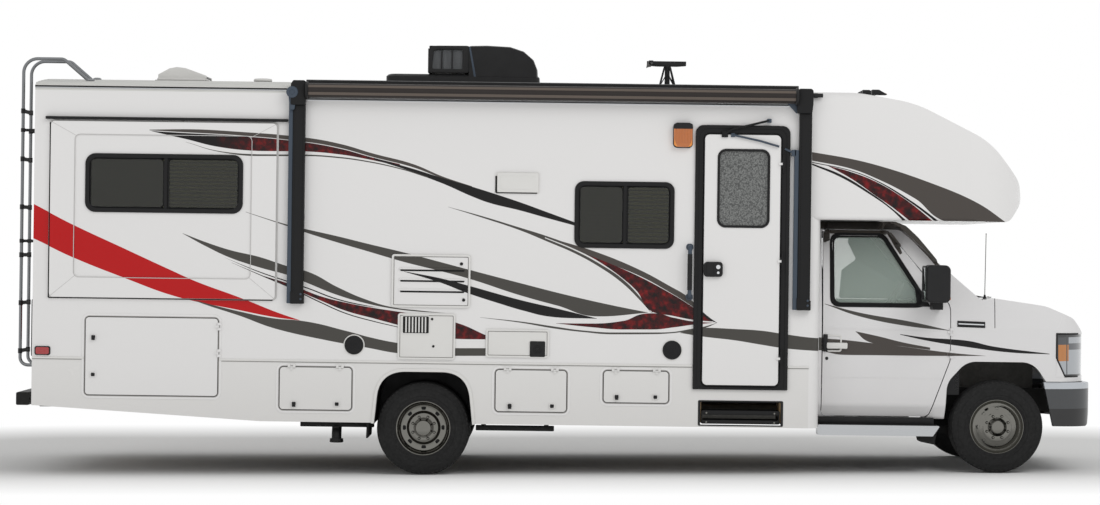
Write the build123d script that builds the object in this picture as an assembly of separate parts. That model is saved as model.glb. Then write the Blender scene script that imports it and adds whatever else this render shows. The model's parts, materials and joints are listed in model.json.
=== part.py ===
"""Class C motorhome on a cutaway van chassis, as an assembly of separate pieces.

Body frame while modelling, in millimetres: X forward from the front axle, Y to the driver's (left) side,
Z up from the ground under the front axle. The body sits nose down by RAKE, so every piece is turned about
the front axle's ground point and shifted to the middle of the vehicle before it is written.
The kerb side, with the entry door, is the right side, at negative Y.
"""

from build123d import *
import math
import os

# ---------------------------------------------------------------- stance and wheels
RAKE = 0.75  # degrees the body sits nose down
WHEELBASE = 4470.0
FRONT_AXLE_X = 3445.0  # front axle from the middle of the overall length
TYRE_R = 360.0
TYRE_HALF_W = 112.5
BEAD_HALF_W = 84.0
RIM_R = 203.0  # bead seat radius
FLANGE_R = 220.0
FRONT_TRACK_Y = 881.0  # wheel centre plane
KINGPIN_Y = 820.0
TWIN_OUTER_Y = 1078.0
TWIN_INNER_Y = 813.0
STEER_R = 15.0  # kingpin radius
SPINDLE_R = 25.0
BEARING_FIT = 0.05  # radial running clearance of pins, spindles and hubs

# ---------------------------------------------------------------- coach body
HALF_W = 1270.0
WALL_T = 50.0
REAR_X = -7495.0
SEAM_X = -1505.0  # front edge of the coach walls
BELT_Z = 803.0  # lower edge of the walls
FLOOR_T = 50.0
EAVES_Z = 2878.0  # underside of the roof panel
ROOF_EDGE_Z = EAVES_Z + 60.0
ROOF_CROWN = 80.0
CAP_H = 982.0  # height of the cab-over cap for which its corner radii are drawn
SKIRT_T = 30.0
SKIRT_Z = 345.0
SKIRT_REAR_Z = 447.0
SKIRT_KNEE_X = -5729.0
GAP = 6.0  # running gap round doors and lids
TOUCH = 0.3  # standing clearance of curved neighbours
HINGE_L = 60.0
HINGE_TAB = 24.0
BARREL_R = 6.0
PIN_R = 3.0
LID_PROUD = 4.0  # lids stand this far out of the skirts
LATCH_W = 44.0
LATCH_PROUD = 14.0
LID_HINGE_Y = HALF_W + LID_PROUD + BARREL_R + 1
CUT = 150.0  # a hole's cutter reaches this far past the face it starts from
SIDE_IN = HALF_W - CUT
SIDE_OUT = HALF_W + CUT

# ---------------------------------------------------------------- cab
CAB_HALF_W = 1008.0
CAB_T = 40.0
CAB_LOW_Z = 412.0
CAB_TOP_Z = 1956.0
CAB_FLOOR_Z = 640.0
CAB_FLOOR_T = 30.0
NOSE_X = 706.0
BUMPER_X = 752.0
BUMPER_TOP_Z = 713.0
BUMPER_LOW_Z = 370.0
BUMPER_END_X = 356.0
HOOD_REAR_X = -30.0
HOOD_HALF_W = CAB_HALF_W - 248.0
CAB_REACH = CAB_HALF_W + 92.0  # half width of cutters and stock across the cab
CAB_INSIDE_Y = CAB_HALF_W - 68.0  # half width of the floor between the sills
DOOR_REAR_X = -1377.0
DOOR_FRONT_X = -381.0
DOOR_LOW_Z = 430.0
DOOR_TOP_Z = 1885.0
DOOR_LEAN = 8.0  # extra gap at the door's top rear corner, which swings back round the hinge line
GLASS_T = 6.0
CAB_HINGE_X = DOOR_FRONT_X + GAP / 2
CAB_HINGE_Y = CAB_HALF_W + 8.0
CAB_HINGE_Z = (890.0, 1065.0)
HOOD_HINGE_Z = 1368.0
FIREWALL_X = -330.0
CREASE_Z = (728.0, 905.0, 1106.0)  # pressed feature lines along the doors
CREASE_DEPTH = 2.0

# ---------------------------------------------------------------- frame and running gear
RAIL_Y = 432.0  # outer face of the rails
RAIL_W = 75.0
RAIL_H = 180.0
RAIL_T = 6.4
COACH_RAIL_Z = 583.0
CAB_RAIL_Z = 460.0
RAIL_FRONT_X = 560.0
KICK_FRONT_X = SEAM_X - 15.0  # the rails step up behind the cab floor
KICK_REAR_X = KICK_FRONT_X - 360.0
RAIL_REAR_X = -7460.0
GEARBOX_REAR_X = -1250.0
GEARBOX_LOW_Z = 440.0
EXHAUST_Y = -600.0
EXHAUST_Z = 345.0
EXHAUST_R = 32.0

PARTS = {}
HEADLAMPS = []


# ---------------------------------------------------------------- helpers
def slab(x0, x1, y0, y1, z0, z1):
    """Box between two corners."""
    return Pos((x0 + x1) / 2, (y0 + y1) / 2, (z0 + z1) / 2) * Box(x1 - x0, y1 - y0, z1 - z0)


def across(sketch, y0, y1):
    """Extrude a side view, drawn in X and Z, from y0 to y1."""
    plane = Plane(origin=(0, y1, 0), x_dir=(1, 0, 0), z_dir=(0, -1, 0))
    return extrude(plane * sketch, amount=y1 - y0, dir=(0, -1, 0))


def along(sketch, x0, x1):
    """Extrude a front view, drawn in Y and Z, from x0 to x1."""
    return extrude(Plane.YZ.offset(x0) * sketch, amount=x1 - x0, dir=(1, 0, 0))


def upward(sketch, z0, z1):
    """Extrude a plan view, drawn in X and Y, from z0 to z1."""
    return extrude(Plane.XY.offset(z0) * sketch, amount=z1 - z0, dir=(0, 0, 1))


def outline(points, radii=0.0, inset=0.0):
    """Closed outline with each corner rounded by its radius, drawn in parallel to itself by inset."""
    count = len(points)
    if not isinstance(radii, (list, tuple)):
        radii = [radii] * count
    if inset:
        turn = sum(points[i - 1][0] * points[i][1] - points[i][0] * points[i - 1][1] for i in range(count))
        side = math.copysign(inset, turn)
        normals = []
        for i in range(count):
            (ax, az), (bx, bz) = points[i], points[(i + 1) % count]
            length = math.hypot(bx - ax, bz - az)
            normals.append((-(bz - az) / length, (bx - ax) / length))
        corners, bends = [], []
        for i in range(count):
            (nx, nz), (mx, mz) = normals[i - 1], normals[i]
            share = side / (1 + nx * mx + nz * mz)
            corners.append((points[i][0] + (nx + mx) * share, points[i][1] + (nz + mz) * share))
            convex = (nx * mz - nz * mx) * turn > 0
            bends.append(max(radii[i] - inset, 0) if convex else radii[i] and radii[i] + inset)
        points, radii = corners, bends
    return make_face(FilletPolyline(*points, radius=radii, close=True))


def rounded(x0, x1, z0, z1, radius):
    """Rectangle between two corners, with rounded corners."""
    return Pos((x0 + x1) / 2, (z0 + z1) / 2) * RectangleRounded(x1 - x0, z1 - z0, radius)


def turned(points, centre):
    """Revolve a closed section, given as (y, radius) points, about a Y axis through the centre."""
    area = sum(points[i - 1][0] * points[i][1] - points[i][0] * points[i - 1][1] for i in range(len(points)))
    if area < 0:
        points = points[::-1]
    face = Plane.YZ * make_face(Polyline(*points, close=True))
    return Pos(*centre) * revolve(face, Axis.Y)


def rod(start, end, radius):
    """Round bar between two points."""
    line = Line(start, end)
    return extrude(Plane(origin=start, z_dir=line % 0) * Circle(radius), amount=line.length)


def mirrored(shape):
    """The same piece on the other side of the vehicle."""
    return mirror(shape, about=Plane.XZ)


def both(shape):
    """A piece and its mirror image as one node."""
    return Compound([*shape.solids(), *mirrored(shape).solids()])


def group(*shapes):
    """Separate solids of one node."""
    return Compound([solid for shape in shapes for solid in shape.solids()])


def hinge(plane, leaf_seat, fixed_seat):
    """Leaf and fixed halves of a barrel hinge whose pin runs along the plane's Z axis.

    The leaf lies on the negative X side and the fixed piece on the positive X side. The seats are the
    distances from the pin, along Y, that the two tabs reach.
    """
    third = HINGE_L / 3
    leaf = Pos(0, 0, HINGE_L / 2) * (Cylinder(BARREL_R, third - 2) + Cylinder(PIN_R, HINGE_L))
    leaf += slab(-HINGE_TAB, 0, -2, leaf_seat, third + 1, 2 * third - 1)
    fixed = slab(0, HINGE_TAB, -2, fixed_seat, 0, third) + slab(0, HINGE_TAB, -2, fixed_seat, 2 * third, HINGE_L)
    fixed += Pos(0, 0, third / 2) * Cylinder(BARREL_R, third)
    fixed += Pos(0, 0, HINGE_L - third / 2) * Cylinder(BARREL_R, third)
    fixed -= Pos(0, 0, HINGE_L / 2) * Cylinder(PIN_R + BEARING_FIT, HINGE_L + 2)
    return plane * leaf, plane * fixed


def upright_hinge(x, y, z):
    """Plane of a hinge on the right side whose leaf lies rearward of it."""
    return Plane(origin=(x, y, z), x_dir=(1, 0, 0), z_dir=(0, 0, 1))


def level_hinge(x, y, z):
    """Plane of a hinge on the right side whose leaf hangs below it."""
    return Plane(origin=(x, y, z), x_dir=(0, 0, 1), z_dir=(-1, 0, 0))


def row_point(x, z):
    """Body-frame X and Z of a point given from the front axle's ground point, level with the ground."""
    tilt = math.radians(RAKE)
    return x * math.cos(tilt) - z * math.sin(tilt), x * math.sin(tilt) + z * math.cos(tilt)


FRONT_X, FRONT_Z = row_point(0.0, TYRE_R)
REAR_AXLE_X, REAR_AXLE_Z = row_point(-WHEELBASE, TYRE_R)


# ---------------------------------------------------------------- cab form
def cab_form(inset):
    """Cab body as the common volume of its side, front and plan outlines, all drawn in by inset."""
    side = outline(
        [
            (SEAM_X, CAB_LOW_Z),
            (BUMPER_END_X, CAB_LOW_Z),
            (BUMPER_END_X, BUMPER_TOP_Z + 5),
            (NOSE_X - 6, BUMPER_TOP_Z + 5),
            (NOSE_X, 905),
            (NOSE_X - 22, 1100),
            (590, 1212),
            (366, 1306),
            (HOOD_REAR_X, 1361),
            (-139, 1348),
            (-790, 1906),
            (-930, CAB_TOP_Z),
            (SEAM_X, CAB_TOP_Z),
        ],
        [0, 0, 0, 0, 60, 70, 120, 300, 0, 0, 90, 120, 0],
        inset,
    )
    front = outline(
        [
            (-CAB_HALF_W + 58, CAB_LOW_Z),
            (-CAB_HALF_W + 10, 520),
            (-CAB_HALF_W, 900),
            (-CAB_HALF_W, 1130),
            (-CAB_HALF_W + 23, 1296),
            (-CAB_HALF_W + 150, CAB_TOP_Z),
            (CAB_HALF_W - 150, CAB_TOP_Z),
            (CAB_HALF_W - 23, 1296),
            (CAB_HALF_W, 1130),
            (CAB_HALF_W, 900),
            (CAB_HALF_W - 10, 520),
            (CAB_HALF_W - 58, CAB_LOW_Z),
        ],
        [40, 80, 100, 90, 60, 85, 85, 60, 90, 100, 80, 40],
        inset,
    )
    half = CAB_HALF_W + 12
    plan = outline(
        [(SEAM_X, -half), (NOSE_X - 14, -half), (NOSE_X + 4, 0), (NOSE_X - 14, half), (SEAM_X, half)],
        [0, 330, 2000, 330, 0],
        inset,
    )
    return across(side, -CAB_REACH, CAB_REACH) & along(front, -2000, 1000) & upward(plan, 300, 2100)


CAB_OUTER = cab_form(0)
CAB_INNER = cab_form(CAB_T)
CAB_SKIN = CAB_OUTER - CAB_INNER


def cab_layer(depth, thickness):
    """Thin layer of the cab's skin that starts at a depth under its surface."""
    return cab_form(depth) - cab_form(depth + thickness)


def door_outline(grow=0.0, lean=0.0):
    """Side outline of the cab door, grown by the gap round it or with its rear edge leaning forward."""
    return outline(
        [
            (DOOR_REAR_X - grow, DOOR_LOW_Z - grow),
            (-546 + grow, DOOR_LOW_Z - grow),
            (DOOR_FRONT_X + grow, 877 - grow / 2),
            (DOOR_FRONT_X + grow, 1300 + grow / 2),
            (-880 + grow, DOOR_TOP_Z + grow),
            (DOOR_REAR_X - grow + lean, DOOR_TOP_Z + grow),
        ],
        [40, 60, 80, 120, 110, 40],
    )


DOOR_WINDOW = outline([(-1297, 1302), (-560, 1302), (-905, 1838), (-1297, 1838)], [35, 45, 60, 45])
WINDSCREEN_LOW_Y = CAB_HALF_W - 208.0
WINDSCREEN_TOP_Y = CAB_HALF_W - 308.0
WINDSCREEN_VIEW = outline(
    [(-WINDSCREEN_LOW_Y, 1380), (-WINDSCREEN_TOP_Y, 1868), (WINDSCREEN_TOP_Y, 1868), (WINDSCREEN_LOW_Y, 1380)],
    [70, 80, 80, 70],
)
ARCH_VIEW = outline(
    [(-421, 300), (-400, 700), (-250, 867), (270, 867), (385, 700), (385, 300)], [0, 160, 170, 170, 140, 0]
)
LAMP_LOW_Z, LAMP_HIGH_Z = 762.0, 1088.0
LAMP_INNER_Y = CAB_HALF_W - 418.0
LAMP_REAR_X = 452.0


def cab():
    """Cab shell, fenders, hood, grille, lamps, bumper, doors, glass and interior."""
    side_reach = CAB_REACH
    liner_y = CAB_HALF_W - 103.0
    door_hole = across(door_outline(GAP), -side_reach, side_reach)
    hood_zone = slab(HOOD_REAR_X, 800, -HOOD_HALF_W, HOOD_HALF_W, 1096, 1500)
    front_zone = slab(DOOR_FRONT_X + GAP, 800, -side_reach, side_reach, 300, 1500)
    cowl_zone = slab(DOOR_FRONT_X + GAP, HOOD_REAR_X - GAP, -side_reach, side_reach, 1130, 1500)
    mask_zone = slab(560, 800, -LAMP_INNER_Y, LAMP_INNER_Y, LAMP_LOW_Z, LAMP_HIGH_Z)
    lamp_zone = slab(LAMP_REAR_X, 800, LAMP_INNER_Y, side_reach, LAMP_LOW_Z, LAMP_HIGH_Z)
    lamp_zones = lamp_zone + mirrored(lamp_zone)
    arch = across(ARCH_VIEW, -side_reach, side_reach)
    underside = slab(-1600, 800, -liner_y, liner_y, 300, CAB_FLOOR_Z)
    windscreen_hole = along(WINDSCREEN_VIEW, -900, -60)

    rear_opening = slab(-1600, SEAM_X + CAB_T, -liner_y, liner_y, CAB_FLOOR_Z + CAB_FLOOR_T, 1880)
    bunk_opening = slab(-1600, -1180, -700, 700, 1800, 2100)
    shell = CAB_SKIN - front_zone - underside - rear_opening - bunk_opening
    shell += CAB_SKIN & cowl_zone
    shell -= door_hole + arch
    shell -= windscreen_hole
    floor = slab(SEAM_X, -500, -CAB_INSIDE_Y, CAB_INSIDE_Y, CAB_FLOOR_Z, CAB_FLOOR_Z + CAB_FLOOR_T) & CAB_OUTER
    shell += floor
    firewall = slab(FIREWALL_X, FIREWALL_X + 25, -CAB_HALF_W + 48, CAB_HALF_W - 48, CAB_FLOOR_Z, 1400)
    firewall &= cab_form(CAB_T - 1)
    toe_board = across(
        outline([(-530, CAB_FLOOR_Z), (-500, CAB_FLOOR_Z), (FIREWALL_X + 25, 900), (FIREWALL_X, 900)]),
        -liner_y,
        liner_y,
    )
    cover_out = slab(-840, FIREWALL_X, -330, 330, CAB_FLOOR_Z, 1120)
    cover_out = fillet(cover_out.edges().filter_by(Axis.X).group_by(Axis.Z)[-1], 70)
    cover_in = slab(-815, FIREWALL_X + 60, -305, 305, CAB_FLOOR_Z - 20, 1095)
    shell += firewall
    shell += toe_board
    shell += cover_out
    shell -= cover_in

    fender = CAB_SKIN & front_zone
    fender -= slab(HOOD_REAR_X - GAP, 800, -HOOD_HALF_W - GAP, HOOD_HALF_W + GAP, 1096 - GAP, 1500)
    fender -= slab(-400, HOOD_REAR_X, -side_reach, side_reach, 1130, 1500)
    fender -= slab(-400, 640, -HOOD_HALF_W, HOOD_HALF_W, 300, 1500)
    fender -= mask_zone + lamp_zones + arch + door_hole
    fender -= slab(-400, 500, -liner_y, liner_y, 300, 1000)

    hood = CAB_SKIN & slab(HOOD_REAR_X, 800, -HOOD_HALF_W, HOOD_HALF_W, 1096, 1500)
    for y in (-590.0, 650.0):
        plane = Plane(origin=(HOOD_REAR_X - GAP / 2, y, HOOD_HINGE_Z), x_dir=(-1, 0, 0), z_dir=(0, -1, 0))
        leaf_half, fixed_half = hinge(plane, 14, 14)
        hood += leaf_half
        shell += fixed_half
    PARTS["hood"] = hood
    PARTS["cab_shell"] = shell

    grille = (cab_form(8) - cab_form(CAB_T)) & mask_zone
    bar_count = 4
    bar_pitch = (LAMP_HIGH_Z - LAMP_LOW_Z - 60) / bar_count
    for i in range(bar_count):
        low = LAMP_LOW_Z + 30 + bar_pitch * i
        grille -= slab(500, 800, -LAMP_INNER_Y + 34, LAMP_INNER_Y - 34, low + 8, low + bar_pitch - 8)
    PARTS["grille"] = grille

    lamps = (cab_form(4) - cab_form(CAB_T - 2)) & lamp_zones
    HEADLAMPS.extend(lamps.solids())

    bumper_plan = outline(
        [
            (300, -CAB_HALF_W + 16),
            (BUMPER_X - 10, -CAB_HALF_W + 16),
            (BUMPER_X, 0),
            (BUMPER_X - 10, CAB_HALF_W - 16),
            (300, CAB_HALF_W - 16),
        ],
        [0, 250, 2500, 250, 0],
    )
    bumper_side = outline(
        [
            (BUMPER_END_X, BUMPER_TOP_Z),
            (431, BUMPER_LOW_Z),
            (BUMPER_X - 30, BUMPER_LOW_Z),
            (BUMPER_X, 560),
            (BUMPER_X, 690),
            (BUMPER_X - 25, BUMPER_TOP_Z),
        ],
        [0, 0, 30, 60, 20, 0],
    )
    bar = upward(bumper_plan, BUMPER_LOW_Z, BUMPER_TOP_Z)
    bar -= upward(offset(bumper_plan, amount=-45), BUMPER_LOW_Z - 1, BUMPER_TOP_Z + 1)
    bar &= across(bumper_side, -side_reach, side_reach)
    bar += both(slab(RAIL_FRONT_X, BUMPER_X - 40, RAIL_Y - RAIL_W, RAIL_Y, CAB_RAIL_Z, CAB_RAIL_Z + RAIL_H))
    PARTS["front_bumper"] = bar

    door_inner_y = -CAB_HALF_W + 308
    leaf = CAB_SKIN & across(door_outline(lean=DOOR_LEAN), -side_reach, door_inner_y)
    leaf -= slab(-1600, 0, -CAB_INSIDE_Y - 10, door_inner_y + 100, 300, CAB_FLOOR_Z)
    leaf -= across(DOOR_WINDOW, -side_reach, side_reach)
    handle = slab(-1340, -1190, -CAB_HALF_W - 22, -CAB_HALF_W + 3, 960, 995)
    leaf += fillet(handle.edges().filter_by(Axis.X), 8)
    for z in CAB_HINGE_Z:
        leaf_half, fixed_half = hinge(upright_hinge(CAB_HINGE_X, -CAB_HINGE_Y, z), 14, 14)
        leaf += leaf_half
        fender += fixed_half + mirrored(fixed_half)
    pane = cab_layer(14, GLASS_T) & across(DOOR_WINDOW, -side_reach, door_inner_y)
    head = slab(-620, -432, -CAB_HALF_W - 392, -CAB_HALF_W - 152, 1327, 1617)
    head = fillet(head.edges().filter_by(Axis.Y), 45)
    head = fillet(head.edges().group_by(Axis.Y)[0], 20)
    arm = slab(-540, -460, -CAB_HALF_W - 157, -liner_y, 1270, 1340) - CAB_OUTER
    mirror_right = head + arm.solids().sort_by(Axis.Y)[0]
    crease = CAB_OUTER - cab_form(CREASE_DEPTH)
    for z in CREASE_Z:
        leaf -= crease & slab(DOOR_REAR_X - 60, DOOR_FRONT_X, -side_reach, -liner_y, z - 5, z + 5)
    PARTS["front_fenders"] = group(fender)
    for side, place in (("right", lambda s: s), ("left", mirrored)):
        PARTS[f"cab_door_{side}"] = place(leaf)
        PARTS[f"cab_door_glass_{side}"] = place(pane)
        PARTS[f"mirror_{side}"] = place(mirror_right)

    PARTS["windscreen"] = cab_layer(14, GLASS_T) & windscreen_hole

    dash = across(
        outline(
            [(-520, 1010), (FIREWALL_X, 960), (FIREWALL_X, 1330), (-430, 1330), (-540, 1250)],
            [30, 0, 0, 60, 60],
        ),
        -CAB_HALF_W + 78,
        CAB_HALF_W - 78,
    )
    dash -= slab(-900, 0, -336, 336, 900, 1126)
    column = rod((-500, 480, 1195), (-680, 480, 1290), 28)
    wheel_plane = Plane(origin=(-680, 480, 1290), z_dir=(-180, 0, 95))
    wheel = wheel_plane * Torus(195, 15) + wheel_plane * Cylinder(45, 40)
    wheel += wheel_plane * Box(390, 40, 18)
    PARTS["dashboard"] = dash + column + wheel

    seats = []
    for y in (-610.0, 610.0):
        pedestal = slab(-1180, -820, y - 180, y + 180, CAB_FLOOR_Z + CAB_FLOOR_T, 930)
        cushion = fillet(slab(-1250, -730, y - 265, y + 265, 930, 1070).edges().filter_by(Axis.Y), 45)
        back_view = outline([(-1180, 1040), (-1260, 1060), (-1400, 1720), (-1290, 1740)], [40, 40, 45, 45])
        back = across(back_view, y - 250, y + 250)
        seats.append(pedestal + cushion + back)
    PARTS["cab_seats"] = group(*seats)

    board = across(
        outline([(-1414, 286), (-1414, 367), (-464, 367), (-520, 286)], 8), -CAB_HALF_W - 107, -CAB_HALF_W + 50
    )
    for x in (-1300.0, -700.0):
        board += slab(x, x + 60, -CAB_HALF_W + 48, -CAB_HALF_W + 100, 340, CAB_LOW_Z)
    PARTS["running_boards"] = both(board)


# ---------------------------------------------------------------- coach
SLIDE = {"x0": -7365.0, "x1": -5626.0, "z0": 1285.0, "z1": EAVES_Z - 238.0}
SLIDE_LIP = 30.0  # fascia overlap on the wall
SLIDE_DEPTH = 710.0
SLIDE_FACE_T = 28.0
SLIDE_PANEL_DEPTH = 8.0  # the middle of the fascia lies this far under its rim
SLIDE_RIM = (185.0, 190.0, 154.0, 100.0)  # width of the rim at the rear, front, bottom and top
DOOR_FRAME = (-2398.0, -1669.0, 639.0, EAVES_Z - 205.0)
FRAME_W = 60.0
DOOR_LEAF_T = 40.0
STEP_WELL = (-2347.0, -1704.0, 361.0, 545.0)
STEP_INNER_Y = HALF_W - 310.0
WELL_INNER_Y = HALF_W - 410.0

# x0, x1, z0, z1, corner radius, divider share of the width (0 for none)
WINDOWS_RIGHT = [(-3325.0, -2555.0, 1714.0, 2229.0, 70.0, 0.505)]
WINDOWS_LEFT = [
    (-6900.0, -5890.0, 1941.0, 2395.0, 70.0, 0.5),
    (-4650.0, -3350.0, 1600.0, 2229.0, 70.0, 0.5),
    (-2950.0, -2180.0, 1714.0, 2229.0, 70.0, 0.5),
]
SLIDE_WINDOW = (-7097.0, -5881.0, 1941.0, 2395.0, 80.0, 0.51)
REAR_WINDOW = (100.0, 900.0, 1941.0, 2395.0, 70.0)
FRAME_FLANGE = 24.0
FRAME_PROUD = 12.0

# name, side, x0, x1, z0, z1, hinge edge
BAGGAGE = [
    ("baggage_door_rear", "right", -7081.0, -6063.0, 535.0, 1131.0, "front"),
    ("baggage_door_axle", "right", -5580.0, -5028.0, 441.0, 765.0, "top"),
    ("baggage_door_middle", "right", -3915.0, -3371.0, 447.0, 764.0, "top"),
    ("baggage_door_entry", "right", -3082.0, -2585.0, 527.0, 767.0, "top"),
    ("baggage_door_left", "left", -6900.0, -5900.0, 470.0, 765.0, "top"),
]
BOX_T = 12.0
BOX_INNER_Y = 560.0

REAR_ARCH = outline([(-4865, 200), (-4812, 741), (-4136, 741), (-4079, 200)], [0, 190, 190, 0])


def side_sign(side):
    """Sign of Y on a side of the vehicle."""
    return -1.0 if side == "right" else 1.0


def spans(side, outer, inner):
    """Y limits of a layer between two distances from the centre plane."""
    return (-outer, -inner) if side == "right" else (inner, outer)


def window_pair(view, x0, x1, z0, z1, radius, share, face_y, wall_t):
    """Frame and glass of one window in a wall whose outer face is at -face_y."""
    opening = rounded(x0 + FRAME_FLANGE, x1 - FRAME_FLANGE, z0 + FRAME_FLANGE, z1 - FRAME_FLANGE, radius - 15)
    light = rounded(
        x0 + FRAME_FLANGE + 8, x1 - FRAME_FLANGE - 8, z0 + FRAME_FLANGE + 8, z1 - FRAME_FLANGE - 8, radius - 23
    )
    frame = across(view, -face_y - FRAME_PROUD, -face_y) + across(opening, -face_y, -face_y + wall_t)
    frame -= across(light, -face_y - 50, -face_y + wall_t + 50)
    if share:
        x = x0 + (x1 - x0) * share
        frame += slab(x - 11, x + 11, -face_y - 8, -face_y + 8, z0 + FRAME_FLANGE, z1 - FRAME_FLANGE)
    glass = across(light, -face_y + 8, -face_y + 8 + GLASS_T)
    return frame, glass, opening


def baggage_view(spec, grow=0.0):
    """Side outline of a baggage door."""
    return rounded(spec[2] - grow, spec[3] + grow, spec[4] - grow, spec[5] + grow, 26 + grow)


def roof_solid():
    """Crowned roof slab."""
    edge = [(-HALF_W, EAVES_Z), (-HALF_W, ROOF_EDGE_Z - 30)]
    crown = ThreePointArc(
        (-HALF_W + 30, ROOF_EDGE_Z), (0, ROOF_EDGE_Z + ROOF_CROWN), (HALF_W - 30, ROOF_EDGE_Z)
    )
    lines = [
        Line(edge[0], edge[1]),
        Line(edge[1], (-HALF_W + 30, ROOF_EDGE_Z)),
        crown,
        Line((HALF_W - 30, ROOF_EDGE_Z), (HALF_W, ROOF_EDGE_Z - 30)),
        Line((HALF_W, ROOF_EDGE_Z - 30), (HALF_W, EAVES_Z)),
        Line((HALF_W, EAVES_Z), edge[0]),
    ]
    return along(make_face(Wire(lines)), REAR_X, SEAM_X)


def coach():
    """Walls, floor, roof, skirts, cap, slide-out, entry door, windows and baggage doors."""
    wall_view = Pos((REAR_X + SEAM_X) / 2, (BELT_Z + EAVES_Z) / 2) * Rectangle(SEAM_X - REAR_X, EAVES_Z - BELT_Z)
    skirt_view = make_face(
        Polyline(
            (REAR_X, BELT_Z),
            (REAR_X, SKIRT_REAR_Z),
            (SKIRT_KNEE_X, SKIRT_Z),
            (SEAM_X, SKIRT_Z),
            (SEAM_X, BELT_Z),
            close=True,
        )
    )
    frames = []
    panes = []
    for side, table in (("right", WINDOWS_RIGHT), ("left", WINDOWS_LEFT)):
        y0, y1 = spans(side, HALF_W, HALF_W - WALL_T)
        wall = across(wall_view, y0, y1)
        for x0, x1, z0, z1, radius, share in table:
            view = rounded(x0, x1, z0, z1, radius)
            frame, glass, opening = window_pair(view, x0, x1, z0, z1, radius, share, HALF_W, WALL_T)
            if side == "left":
                frame, glass = mirrored(frame), mirrored(glass)
            wall -= across(opening, y0 - 10, y1 + 10)
            frames.append(frame)
            panes.append(glass)
        sy0, sy1 = spans(side, HALF_W, HALF_W - SKIRT_T)
        skirt = across(skirt_view, sy0, sy1)
        skirt -= across(REAR_ARCH, sy0 - 10, sy1 + 10)
        for spec in BAGGAGE:
            if spec[1] == side:
                hole = across(baggage_view(spec, GAP), *spans(side, SIDE_OUT, SIDE_IN))
                wall -= hole
                skirt -= hole
        if side == "right":
            hole = rounded(
                SLIDE["x0"] + SLIDE_LIP,
                SLIDE["x1"] - SLIDE_LIP,
                SLIDE["z0"] + SLIDE_LIP,
                SLIDE["z1"] - SLIDE_LIP,
                8,
            )
            wall -= across(hole, y0 - 10, y1 + 10)
            door_hole = across(rounded(*DOOR_FRAME, 60), -SIDE_OUT, -SIDE_IN)
            wall -= door_hole
            skirt -= door_hole
            skirt -= across(rounded(*STEP_WELL, 20), -SIDE_OUT, -SIDE_IN)
        PARTS[f"side_wall_{side}"] = wall
        PARTS[f"skirt_{side}"] = skirt

    rear_skirt = slab(REAR_X, REAR_X + SKIRT_T, -HALF_W + SKIRT_T, HALF_W - SKIRT_T, SKIRT_REAR_Z, BELT_Z)
    rear_skirt -= slab(REAR_X - 10, REAR_X + 50, -RAIL_Y - 15, RAIL_Y + 15, 400, COACH_RAIL_Z + RAIL_H)
    ry0, ry1, rz0, rz1, rr = REAR_WINDOW
    inner_w = HALF_W - WALL_T
    rear_wall = slab(REAR_X, REAR_X + WALL_T, -inner_w, inner_w, BELT_Z, EAVES_Z)
    opening = rounded(ry0 + 24, ry1 - 24, rz0 + 24, rz1 - 24, rr - 15)
    light = rounded(ry0 + 32, ry1 - 32, rz0 + 32, rz1 - 32, rr - 23)
    rear_wall -= along(opening, REAR_X - 10, REAR_X + WALL_T + 10)
    rear_frame = along(rounded(ry0, ry1, rz0, rz1, rr), REAR_X - FRAME_PROUD, REAR_X)
    rear_frame += along(opening, REAR_X, REAR_X + WALL_T)
    rear_frame -= along(light, REAR_X - 50, REAR_X + WALL_T + 50)
    frames.append(rear_frame)
    panes.append(along(light, REAR_X + 8, REAR_X + 8 + GLASS_T))
    PARTS["rear_wall"] = rear_wall + rear_skirt
    PARTS["window_frames"] = group(*frames)
    PARTS["window_glass"] = group(*panes)

    roof = roof_solid()
    PARTS["roof"] = roof

    floor = slab(REAR_X + WALL_T, SEAM_X, -inner_w, inner_w, BELT_Z, BELT_Z + FLOOR_T)
    big = BAGGAGE[0]
    floor -= slab(big[2] - BOX_T - GAP, big[3] + BOX_T + GAP, -HALF_W, -BOX_INNER_Y, BELT_Z - 10, BELT_Z + 100)
    floor -= slab(STEP_WELL[0], STEP_WELL[1], -HALF_W, -WELL_INNER_Y, BELT_Z - 10, BELT_Z + 100)
    well = slab(STEP_WELL[0], STEP_WELL[1], -HALF_W + WALL_T, -WELL_INNER_Y, 600, BELT_Z + FLOOR_T)
    well -= slab(STEP_WELL[0] + 15, STEP_WELL[1] - 15, -SIDE_OUT, -WELL_INNER_Y - 15, 620, BELT_Z + 100)
    floor += well
    for x0, x1 in ((STEP_WELL[0], STEP_WELL[0] + 20 - TOUCH), (STEP_WELL[1] - 20 + TOUCH, STEP_WELL[1])):
        floor += slab(x0, x1, -HALF_W + WALL_T, -STEP_INNER_Y, 380, 601)
    PARTS["coach_floor"] = floor

    boxes = []
    for name, side, x0, x1, z0, z1, _hinge in BAGGAGE:
        top = z1 + BOX_T + GAP if z1 > BELT_Z else BELT_Z
        outer_y = HALF_W - (WALL_T if z1 > BELT_Z else SKIRT_T)
        y0, y1 = spans(side, outer_y, BOX_INNER_Y)
        box = slab(x0 - BOX_T - GAP, x1 + BOX_T + GAP, y0, y1, z0 - BOX_T - GAP, top)
        iy0, iy1 = spans(side, outer_y + 5, BOX_INNER_Y + BOX_T)
        box -= slab(x0 - GAP, x1 + GAP, iy0, iy1, z0 - GAP, top - BOX_T)
        boxes.append(box)
    PARTS["baggage_boxes"] = group(*boxes)
    return roof


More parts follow.
